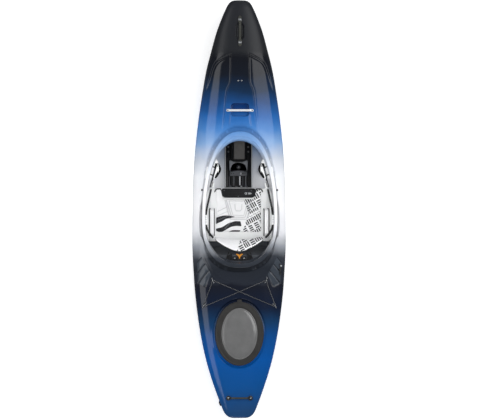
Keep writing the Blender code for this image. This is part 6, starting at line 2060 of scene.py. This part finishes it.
# ==================================================================== ratchets, ladder straps, webbing
def ratchets():
    at, turn = (0.1775, 0.165, 0.2500), math.radians(15)
    for side, tag in ((-1, "left"), (1, "right")):
        f = Matrix.Translation((side * at[0], at[1], at[2])) @ Matrix.Rotation(side * turn, 4, "Z")
        side_plate = even_ring(np.array([(-0.0236, -0.0115), (0.0240, -0.0115), (0.0274, -0.0040), (0.0236, 0.0095),
                                         (0.0120, 0.0106), (-0.0098, 0.0114), (-0.0232, 0.0076)]), 84)
        for k, (a, b) in enumerate(((0.0003, 0.0026), (0.0074, 0.0097))):
            lo, hi = (a, b) if side > 0 else (-b, -a)
            cheek = slab("ratchet_cheek_%s_%d" % (tag, k), side_plate, lo, hi, f, WHITE, 0.0008, 3, "X")
            place(cheek, "hull", "white_plastic", "ratchet_" + tag)
        core = even_ring(np.array([(-0.0190, -0.0100), (0.0200, -0.0100), (0.0210, -0.0030), (0.0150, 0.0035),
                                   (-0.0190, 0.0040)]), 60)
        lo, hi = (0.0027, 0.0073) if side > 0 else (-0.0073, -0.0027)
        mid = slab("ratchet_core_" + tag, core, lo, hi, f, TRACK_BLACK, 0.0006, 2, "X")
        place(mid, "hull", "black_plastic")
        for y, z, r in ((0.0100, 0.0040, 0.0030), (-0.0150, -0.0040, 0.0024), (0.0190, -0.0050, 0.0024)):
            g = f @ Matrix.Translation((side * 0.0098, y, z)) @ Matrix.Rotation(side * math.pi / 2, 4, "Y")
            rivet = lathe("ratchet_rivet_%s_%d" % (tag, round(y * 1e4) + 500),
                          [(0, -0.0008), (r, -0.0008), (r, 0.0002), (r * 0.6, 0.0009), (0, 0.0010)], g, STEEL, 20)
            place(rivet, "hull", "stainless_steel")
        # lever: a tapering handle with ribs under the finger
        lever_at = f @ Vector((-side * 0.0050, 0.010, 0.004))
        lf = f.copy()
        lf.translation = lever_at
        line = even_ring(np.array([(-0.0398, -0.0040), (-0.0380, 0.0026), (-0.0240, 0.0042), (-0.0060, 0.0058), (0.0036, 0.0040),
                                   (0.0048, -0.0026), (-0.0040, -0.0058), (-0.0360, -0.0068)]), 110)
        lever = slab("ratchet_handle_" + tag, line, -0.0039, 0.0039, lf, WHITE, 0.0014, 3, "X")
        place(lever, "ratchet_lever_" + tag, "white_plastic", "ratchet_lever_" + tag)
        for k in range(4):
            y = -0.0340 + 0.0052 * k
            rib = sweep("ratchet_handle_rib_%s_%d" % (tag, k), [local(lf, s * 0.0032, y, 0.0031 + 0.0002 * k) for s in (-1, -0.3, 0.3, 1)],
                        round_ring(0.0006, 8), TRACK_BLACK)
            place(rib, "ratchet_lever_" + tag, "white_plastic")
        # ladder strap: a flat band with a rack of teeth along its middle
        pts = [f @ Vector((side * 0.0125, y, 0.0)) for y in (-0.022, 0.020, 0.060, 0.100, 0.136)]
        pts[-1].z -= 0.0010
        path = spline(pts, 120)
        lean = tuple((f.to_3x3() @ Vector((side * 0.72, 0, 0.69))))
        band = sweep("ladder_band_" + tag, path, flat_ring(0.0158, 0.0022, 3), LADDER, up=lean,
                     scale=lambda t: min(1.0, (min(t, 1 - t) / 0.03 + 0.05) ** 0.5))
        place(band, "hull", "black_plastic", "ladder_strap_" + tag)
        tan = Vector(path[-1]) - Vector(path[0])
        tan.normalize()
        up = Vector(lean).normalized()
        across = tan.cross(up).normalized()
        up = across.cross(tan).normalized()
        # painted highlight: the teeth are grey on the black band, standing in for the light the black teeth catch
        skin = Skin()
        faces_at = []
        for k in range(22):
            c = Vector(path[8 + int(k * 4.7)]) + up * 0.0010
            a0, a1 = across * 0.0052, tan * 0.0016
            quad = [c - a0 - a1, c + a0 - a1, c + a0 + a1, c - a0 + a1]
            crest = [q + up * 0.0011 + (tan * 0.0009 if i < 2 else tan * -0.0003) for i, q in enumerate(quad)]
            ids = skin.add([tuple(q) for q in quad] + [tuple(q) for q in crest])
            i = [int(v) for v in ids]
            skin.faces += [(i[3], i[2], i[1], i[0]), (i[4], i[5], i[6], i[7]), (i[0], i[1], i[5], i[4]), (i[1], i[2], i[6], i[5]),
                           (i[2], i[3], i[7], i[6]), (i[3], i[0], i[4], i[7])]
        rack = mesh_object("ladder_teeth_" + tag, skin.where(), skin.faces, GREY_PLASTIC, 30)
        place(rack, "hull", "black_plastic")


def webbing_straps():
    for side, tag in ((-1, "left"), (1, "right")):
        nodes = [(side * 0.1895, 0.136, 0.2470), (side * 0.2020, 0.080, 0.2420), (side * 0.2170, 0.010, 0.2380),
                 (side * 0.2240, -0.040, 0.2370), (side * 0.2255, -0.085, 0.2360), (side * 0.2170, -0.130, 0.2330),
                 (side * 0.1960, -0.165, 0.2290), (side * 0.1740, -0.1890, 0.2220)]
        path = spline(nodes, 150)

        def lean(p, t, side=side):
            k = 0.80 if p[1] < -0.1 else 0.66
            return (side * k, 0.0, 0.75)

        def turned(p, t):
            u = lean(p, t)
            s = np.cross(t, u)
            return s / np.linalg.norm(s)
        ring = [(b, a) for a, b in flat_ring(0.0195, 0.0020, 3)]
        # ring is (thickness, width), so that the band's width stands up
        band = sweep("backband_webbing_" + tag, path, ring[::-1], WEB, up=lean)
        layer = band.data.uv_layers["along"]
        m = len(ring)
        for poly in band.data.polygons:
            for li in poly.loop_indices:
                vi = band.data.loops[li].vertex_index
                layer.data[li].uv = (layer.data[li].uv[0], ring[::-1][vi % m][1])
        place(band, "hull", "webbing", "backband_strap_" + tag)
        # plastic buckle where the strap meets the backband
        c = Vector(path[-14])
        d = (Vector(path[-8]) - Vector(path[-20])).normalized()
        f = Matrix((d, Vector((0, 0, 1)).cross(d).normalized(), d.cross(Vector((0, 0, 1)).cross(d).normalized()))).transposed().to_4x4()
        f.translation = c
        frame_ring = box_ring(0.0130, -0.0028, 0.0028, 0.0020, 40)
        buckle = slab("strap_buckle_" + tag, frame_ring, -0.0115, 0.0115, f, BLACK, 0.0010, 2)
        place(buckle, "hull", "black_plastic")
        # pale guide that hides the strap where it bears on the coaming's inner wall
        mid = Vector(path[80])
        a, b = Vector(path[76]), Vector(path[104])
        along = (a - b).normalized()
        f = Matrix((along.cross(Vector((0, 0, 1))).normalized(), along, Vector((0, 0, 1)))).transposed().to_4x4()
        f.translation = (a + b) / 2
        half = (a - b).length / 2
        sec = [(-0.0085, -0.0090), (-0.0085, 0.0095), (-0.0070, 0.0118), (0.0050, 0.0126), (0.0070, 0.0110), (0.0070, 0.0090), (0.0052, 0.0098),
               (-0.0058, 0.0092), (-0.0066, 0.0078), (-0.0066, -0.0090)]
        if side > 0:
            sec = [(x, z) for x, z in sec]
        else:
            sec = [(-x, z) for x, z in reversed(sec)]
        cover = sweep("strap_guide_" + tag, [local(f, 0, t, 0) for t in np.linspace(-half, half, 30)], even_ring(np.array(sec), 60), WHITE,
                      smooth_angle=35)
        place(cover, "hull", "white_plastic")
        for k, t in enumerate((-0.45, 0.05, 0.55)):
            vent = slab("strap_vent_%s_%d" % (tag, k), box_ring(0.0026, -0.0016, 0.0016, 0.0010, 24), 0.0112, 0.0131,
                        f @ Matrix.Translation((0, t * half, 0)), GREY_PLASTIC, 0.0004, 2)
            place(vent, "hull", "white_plastic")


def anchor():
    low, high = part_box("anchor_block")
    cy = (low.y + high.y) / 2
    block = slab("anchor_plate", box_ring((high.x - low.x) / 2 - 0.0004, low.y + 0.0004, high.y - 0.0004, 0.004, 80), low.z,
                 low.z + 0.0070, NONE, BLACK, 0.0012, 3)
    place(block, "hull", "black_plastic", "anchor_block")
    # webbing wings that hang either side of the plate
    for side, tag in ((-1, "left"), (1, "right")):
        wing = shell("anchor_wing_" + tag, lambda u, v, side=side: (side * (0.050 + 0.032 * u), -0.3400 + (0.046 - 0.016 * u) * v,
                                                                   max(high.z - 0.0065, 0.2335) + 0.0018 * math.sin(9 * u + 4 * v)),
                     24, 30, 0.0022, WEB, 0.4)
        place(wing, "hull", "webbing")
        tail_strap = shell("anchor_tail_" + tag, lambda u, v, side=side: (side * (0.0865 + 0.0050 * u - 0.018 * v), -0.3330 + 0.048 * v,
                                                                         max(high.z - 0.0010, 0.2370) + 0.0030 * v), 8, 30, 0.0018, WEB, 0.3)
        place(tail_strap, "hull", "webbing")
    # webbing folds standing on the plate
    for k, x in enumerate((-0.0435, -0.0375, -0.0185, -0.0125, 0.0125, 0.0185, 0.0375, 0.0435)):
        s = 1 if x > 0 else -1
        pts = [(x, low.y + 0.002, low.z + 0.0072), (x + s * 0.0006, cy - 0.004, low.z + 0.0098), (x, cy + 0.004, low.z + 0.0100),
               (x - s * 0.0006, high.y - 0.002, low.z + 0.0074)]
        fold = sweep("anchor_fold_%d" % k, spline(pts, 30), flat_ring(0.0040, 0.0022, 3), WEB)
        place(fold, "hull", "webbing")
    for side, tag in ((-1, "left"), (1, "right")):
        f = Matrix.Translation((side * ANCHOR[0], ANCHOR[1], 0.2400))
        screw_head("anchor_head_" + tag, f, 0.0058, 0.0044, "hull", "anchor_screw_" + tag)
    # orange strap, doubled over the middle and spreading into two tails
    zt = low.z + 0.0136
    stem = sweep("yoke_stem", spline([(0, -0.3280, zt), (0, -0.3200, zt + 0.0028), (0, -0.3110, zt + 0.0022),
                                      (0, -0.3062, zt - 0.0070)], 60), flat_ring(0.0135, 0.0030, 3), ORANGE, up=(0, 0.25, 1),
                 scale=lambda t: 0.62 + 1.55 * float(smooth(0.25, 0.95, t)))
    place(stem, "hull", "orange_cord", "backband_yoke")
    for side, tag in ((-1, "left"), (1, "right")):
        tail = sweep("yoke_tail_" + tag, spline([(side * 0.001, -0.3125, zt + 0.0022), (side * 0.007, -0.3040, zt - 0.0006),
                                                 (side * 0.0200, -0.2975, zt - 0.0080)], 40), flat_ring(0.0085, 0.0024, 3), ORANGE,
                     up=(0, 0.35, 1))
        place(tail, "hull", "orange_cord")


# ==================================================================== centre track
def track():
    # channel with turned-in flanges and ribs on its floor
    line = [(-0.0928, FLOOR + 0.0002), (-0.0918, FLOOR), (0.0918, FLOOR), (0.0928, FLOOR + 0.0002), (0.0930, 0.0600),
            (0.0922, 0.0626), (0.0902, 0.0640), (0.0882, 0.0640), (0.0862, 0.0626), (0.0836, 0.0590), (0.0790, 0.0250),
            (0.0776, 0.0222), (0.0600, 0.0186), (0.0564, 0.0186), (0.0548, 0.0200), (0.0528, 0.0292), (0.0508, 0.0308),
            (0.0420, 0.0310), (0.0360, 0.0310), (0.0340, 0.0296), (0.0300, 0.0296), (0.0280, 0.0310), (0.0120, 0.0310),
            (0.0100, 0.0296), (-0.0100, 0.0296), (-0.0120, 0.0310), (-0.0280, 0.0310), (-0.0300, 0.0296), (-0.0340, 0.0296),
            (-0.0360, 0.0310), (-0.0420, 0.0310), (-0.0508, 0.0308), (-0.0528, 0.0292), (-0.0548, 0.0200), (-0.0564, 0.0186),
            (-0.0600, 0.0186), (-0.0776, 0.0222), (-0.0790, 0.0250), (-0.0836, 0.0590), (-0.0862, 0.0626), (-0.0882, 0.0640),
            (-0.0902, 0.0640), (-0.0922, 0.0626), (-0.0930, 0.0600)]
    path = [(0, y, 0) for y in np.linspace(0.1482, 0.4548, 60)]
    ring = [(x, z) for x, z in line]
    body = sweep("track_channel", path, ring, TRACK_BLACK, smooth_angle=30)
    place(body, "hull", "black_plastic", "center_track")
    # pale strips along the outer flanges: painted light for the channel's lit walls
    for side, tag in ((-1, "left"), (1, "right")):
        strip = sweep("track_edge_" + tag, [(side * 0.0892, y, 0.0640) for y in np.linspace(0.150, 0.452, 40)],
                      flat_ring(0.0062, 0.0014, 2), PALE_PLASTIC)
        place(strip, "hull", "black_plastic")
        # studs beside the pillar
        for k, y in enumerate((0.4220, 0.3900)):
            head = lathe("track_stud_%s_%d" % (tag, k), [(0, 0.018), (0.0062, 0.018), (0.0066, 0.0205), (0.0058, 0.0226),
                                                         (0.0040, 0.0236), (0.0024, 0.0230), (0, 0.0226)],
                         Matrix.Translation((side * 0.0675, y, 0)), GREY_PLASTIC, 28)
            place(head, "hull", "black_plastic")
        # rails between the saddle and the tray
        rails = ((0.0310, 0.0100, RAIL_GREY), (0.0605, 0.0050, RAIL_GREY)) if side < 0 else ((0.0300, 0.0042, RAIL_GREY), (0.0500, 0.0055, GREY_PLASTIC))
        for k, (x, w, mat) in enumerate(rails):
            z = 0.0310
            rail = sweep("track_rail_%s_%d" % (tag, k), [(side * x, y, z + 0.0022) for y in np.linspace(0.162, 0.224, 24)],
                         flat_ring(w, 0.0042, 3), mat)
            place(rail, "hull", "black_plastic")
    bright = sweep("track_rod", [(0.0100, y, 0.0352) for y in np.linspace(0.164, 0.224, 24)], round_ring(0.0044, 16), ALLOY)
    place(bright, "hull", "stainless_steel")
    for k, (x, y, w, d) in enumerate(((-0.0560, 0.1560, 0.016, 0.010), (-0.0140, 0.1540, 0.018, 0.008), (0.0200, 0.1560, 0.012, 0.008),
                                      (0.0520, 0.1550, 0.018, 0.010))):
        z = 0.0312 if abs(x) < 0.05 else 0.0312
        lump = slab("track_stop_%d" % k, box_ring(w / 2, -d / 2, d / 2, 0.002, 40), z, z + 0.0075,
                    Matrix.Translation((x, y, 0)), RAIL_GREY if k != 2 else PALE_PLASTIC, 0.0012, 3)
        place(lump, "hull", "black_plastic")

    # saddle: grey wishbone round a black dome, with a clamp bar behind it
    outer = [(-0.0620, 0.3060), (-0.0625, 0.3240), (-0.0590, 0.3310), (-0.0530, 0.3318), (-0.0450, 0.3270), (-0.0330, 0.3210),
             (0.0, 0.3190), (0.0330, 0.3210), (0.0450, 0.3270), (0.0530, 0.3318), (0.0590, 0.3310), (0.0625, 0.3240),
             (0.0620, 0.3060), (0.0605, 0.2800), (0.0590, 0.2610), (0.0530, 0.2610), (0.0520, 0.2760), (0.0460, 0.2930),
             (0.0360, 0.3050), (0.0200, 0.3120), (0.0, 0.3140), (-0.0200, 0.3120), (-0.0360, 0.3050), (-0.0460, 0.2930),
             (-0.0520, 0.2760), (-0.0530, 0.2610), (-0.0590, 0.2610), (-0.0605, 0.2800)]
    bone = slab("saddle_wishbone", even_ring(np.array(outer), 260), 0.0440, 0.0556, NONE, GREY_PLASTIC, 0.0018, 4)
    place(bone, "hull", "white_plastic", "track_saddle")
    base = even_ring(np.array([(-0.0515, 0.2450), (0.0515, 0.2450), (0.0515, 0.2760), (0.0440, 0.2930), (0.0340, 0.3035), (0.0, 0.3125),
                               (-0.0340, 0.3035), (-0.0440, 0.2930), (-0.0515, 0.2760)]), 160)
    foot = slab("saddle_foot", base, 0.0322, 0.0490, NONE, TRACK_BLACK, 0.0040, 5)
    place(foot, "hull", "white_plastic", "track_saddle")
    bar = [(-0.0570, 0.2270), (0.0570, 0.2270), (0.0585, 0.2300), (0.0580, 0.2500), (0.0530, 0.2560), (0.0400, 0.2530), (0.0330, 0.2590),
           (0.0220, 0.2620), (-0.0220, 0.2620), (-0.0330, 0.2590), (-0.0400, 0.2530), (-0.0530, 0.2560), (-0.0580, 0.2500),
           (-0.0585, 0.2300)]
    clamp = slab("saddle_clamp", even_ring(np.array(bar), 160), 0.0440, 0.0530, NONE, RAIL_GREY, 0.0018, 4)
    place(clamp, "hull", "black_plastic")
    for k, (x, r) in enumerate(((-0.0480, 0.0038), (-0.0340, 0.0034), (0.0300, 0.0042), (0.0440, 0.0032))):
        pin = lathe("clamp_pin_%d" % k, [(0, 0.0520), (r, 0.0520), (r + 0.0003, 0.0534), (r - 0.0006, 0.0544), (0, 0.0546)],
                    Matrix.Translation((x, 0.2430, 0)), TRACK_BLACK, 24)
        place(pin, "hull", "black_plastic")
    tongue = slab("clamp_catch", box_ring(0.0036, -0.0080, 0.0060, 0.0015, 30), 0.0524, 0.0556,
                  Matrix.Translation((0.0160, 0.2430, 0)), PALE_PLASTIC, 0.0008, 2)
    place(tongue, "hull", "black_plastic")

    # knob: ribbed black dome with a bright centre pin
    def lobes(a, r):
        return 1.0 + (0.030 * math.cos(14 * a) if r > 0.0145 else 0.0)
    f = Matrix.Translation((0.0, 0.286, 0.0565))
    dome = lathe("knob_dome", [(0, 0.0002), (0.0140, 0.0002), (0.0160, 0.0010), (0.0165, 0.0030), (0.0163, 0.0090), (0.0155, 0.0122),
                               (0.0138, 0.0148), (0.0112, 0.0168), (0.0080, 0.0180), (0.0044, 0.0186), (0.0038, 0.0178),
                               (0, 0.0176)], f, BLACK, 112, 45, lobes)
    place(dome, "track_knob", "black_plastic", "track_knob")
    pin = lathe("knob_pin", [(0, 0.0170), (0.0030, 0.0170), (0.0034, 0.0180), (0.0030, 0.0194), (0.0016, 0.0199), (0, 0.0200)],
                f, STEEL, 28)
    place(pin, "track_knob", "stainless_steel")


RAIL_GREY = plastic("rail_nylon", "#4a4c50", 0.36, 900.0, 0.00006, 0.08, 0.5, 0.1)


def bulkhead_mat():
    """Foam that fills the floor between the seat and the bulkhead."""
    def surface(u, v):
        y = -0.2560 + 0.046 * v
        half = 0.196
        x = half * (2 * u - 1)
        # the floor turns up into the bilge
        z = 0.0205 + 0.055 * float(smooth(0.125, 0.235, abs(x))) + 0.0012 * math.sin(9 * v) * math.sin(14 * u)
        return x, y, z
    mat = shell("bulkhead_mat", surface, 80, 16, 0.0110, SLATE, 0.4)
    place(mat, "hull", "dark_foam")


bulkhead_mat()
braces()
ratchets()
webbing_straps()
anchor()
track()
# ==================================================================== floor, light, camera
floor_mat = Nodes("studio_floor")
floor_mat.set(Roughness=0.9)
floor_noise = floor_mat.noise(3.0, 2.0)
floor_mat.set(Emission_Color=(1, 1, 1, 1), Emission_Strength=0.48)
floor_mat.out(floor_mat.ramp(floor_noise, [(0.3, (0.84, 0.845, 0.85)), (0.7, (0.87, 0.875, 0.88))]))
floor = mesh_object("studio_floor_sheet", [(-30, -30, -0.0015), (30, -30, -0.0015), (30, 30, -0.0015), (-30, 30, -0.0015)],
                    [(0, 1, 2, 3)], floor_mat.mat, recalc=False)
floor.visible_glossy = False


def area(name, at, size, power_w, target=(0, 0, 0.2), colour=(1, 1, 1), spin=0.0):
    data = bpy.data.lights.new(name, "AREA")
    data.shape = "RECTANGLE"
    data.size, data.size_y = size
    data.energy = power_w
    data.color = colour
    obj = bpy.data.objects.new(name, data)
    bpy.context.scene.collection.objects.link(obj)
    obj.location = at
    way = (Vector(target) - Vector(at)).normalized()
    right = way.cross(Vector((0, 1, 0))).normalized()
    up = right.cross(way)
    obj.rotation_euler = Matrix((right, up, -way)).transposed().to_euler()
    obj.visible_camera = False
    return obj


area("left_strip", (-3.90, 0.42, 4.2), (2.2, 5.9), 106, (0, 0.2, 0.2))
area("right_softbox", (3.45, 1.22, 4.2), (3.9, 4.3), 145, (0, 0.2, 0.2))
area("stern_fill", (-0.4, -6.6, 3.4), (4.5, 2.5), 90)
area("bow_fill", (0.2, 7.2, 3.4), (4.5, 2.5), 62)

# broad light straight above, which only fills: no mirror image of it lies along the crown of the deck
over = area("overhead_fill", (0.0, 0.0, 7.0), (5.0, 6.0), 185, (0, 0.001, 0.2))
over.visible_glossy = False

# a spot that opens up the cockpit
spot_data = bpy.data.lights.new("cockpit_spot", "SPOT")
spot_data.energy = 1150
spot_data.spot_size = 2 * math.atan(0.275 / 6.0)
spot_data.spot_blend = 0.65
spot_data.shadow_soft_size = 0.5
spot = bpy.data.objects.new("cockpit_spot", spot_data)
bpy.context.scene.collection.objects.link(spot)
spot.location = (0.0, 0.0, 6.2)
spot.visible_glossy = False

world = bpy.data.worlds.new("studio")
bpy.context.scene.world = world
world.use_nodes = True
back = world.node_tree.nodes["Background"]
back.inputs["Color"].default_value = (0.92, 0.95, 1.0, 1)
back.inputs["Strength"].default_value = 0.15

camera_data = bpy.data.cameras.new("camera")
camera = bpy.data.objects.new("camera", camera_data)
bpy.context.scene.collection.objects.link(camera)
camera_data.sensor_width = 36.0
camera_data.lens = 270.0
# a little to the left of straight above, aimed at the middle of the deck
lean = math.radians(2.0)
camera.location = (0.0037 - 24.06 * math.sin(lean), -0.0033, 0.24 + 24.06 * math.cos(lean))
camera.rotation_euler = (0, -lean, 0)
camera_data.clip_end = 200.0
bpy.context.scene.camera = camera
bpy.context.scene.view_settings.view_transform = "Standard"
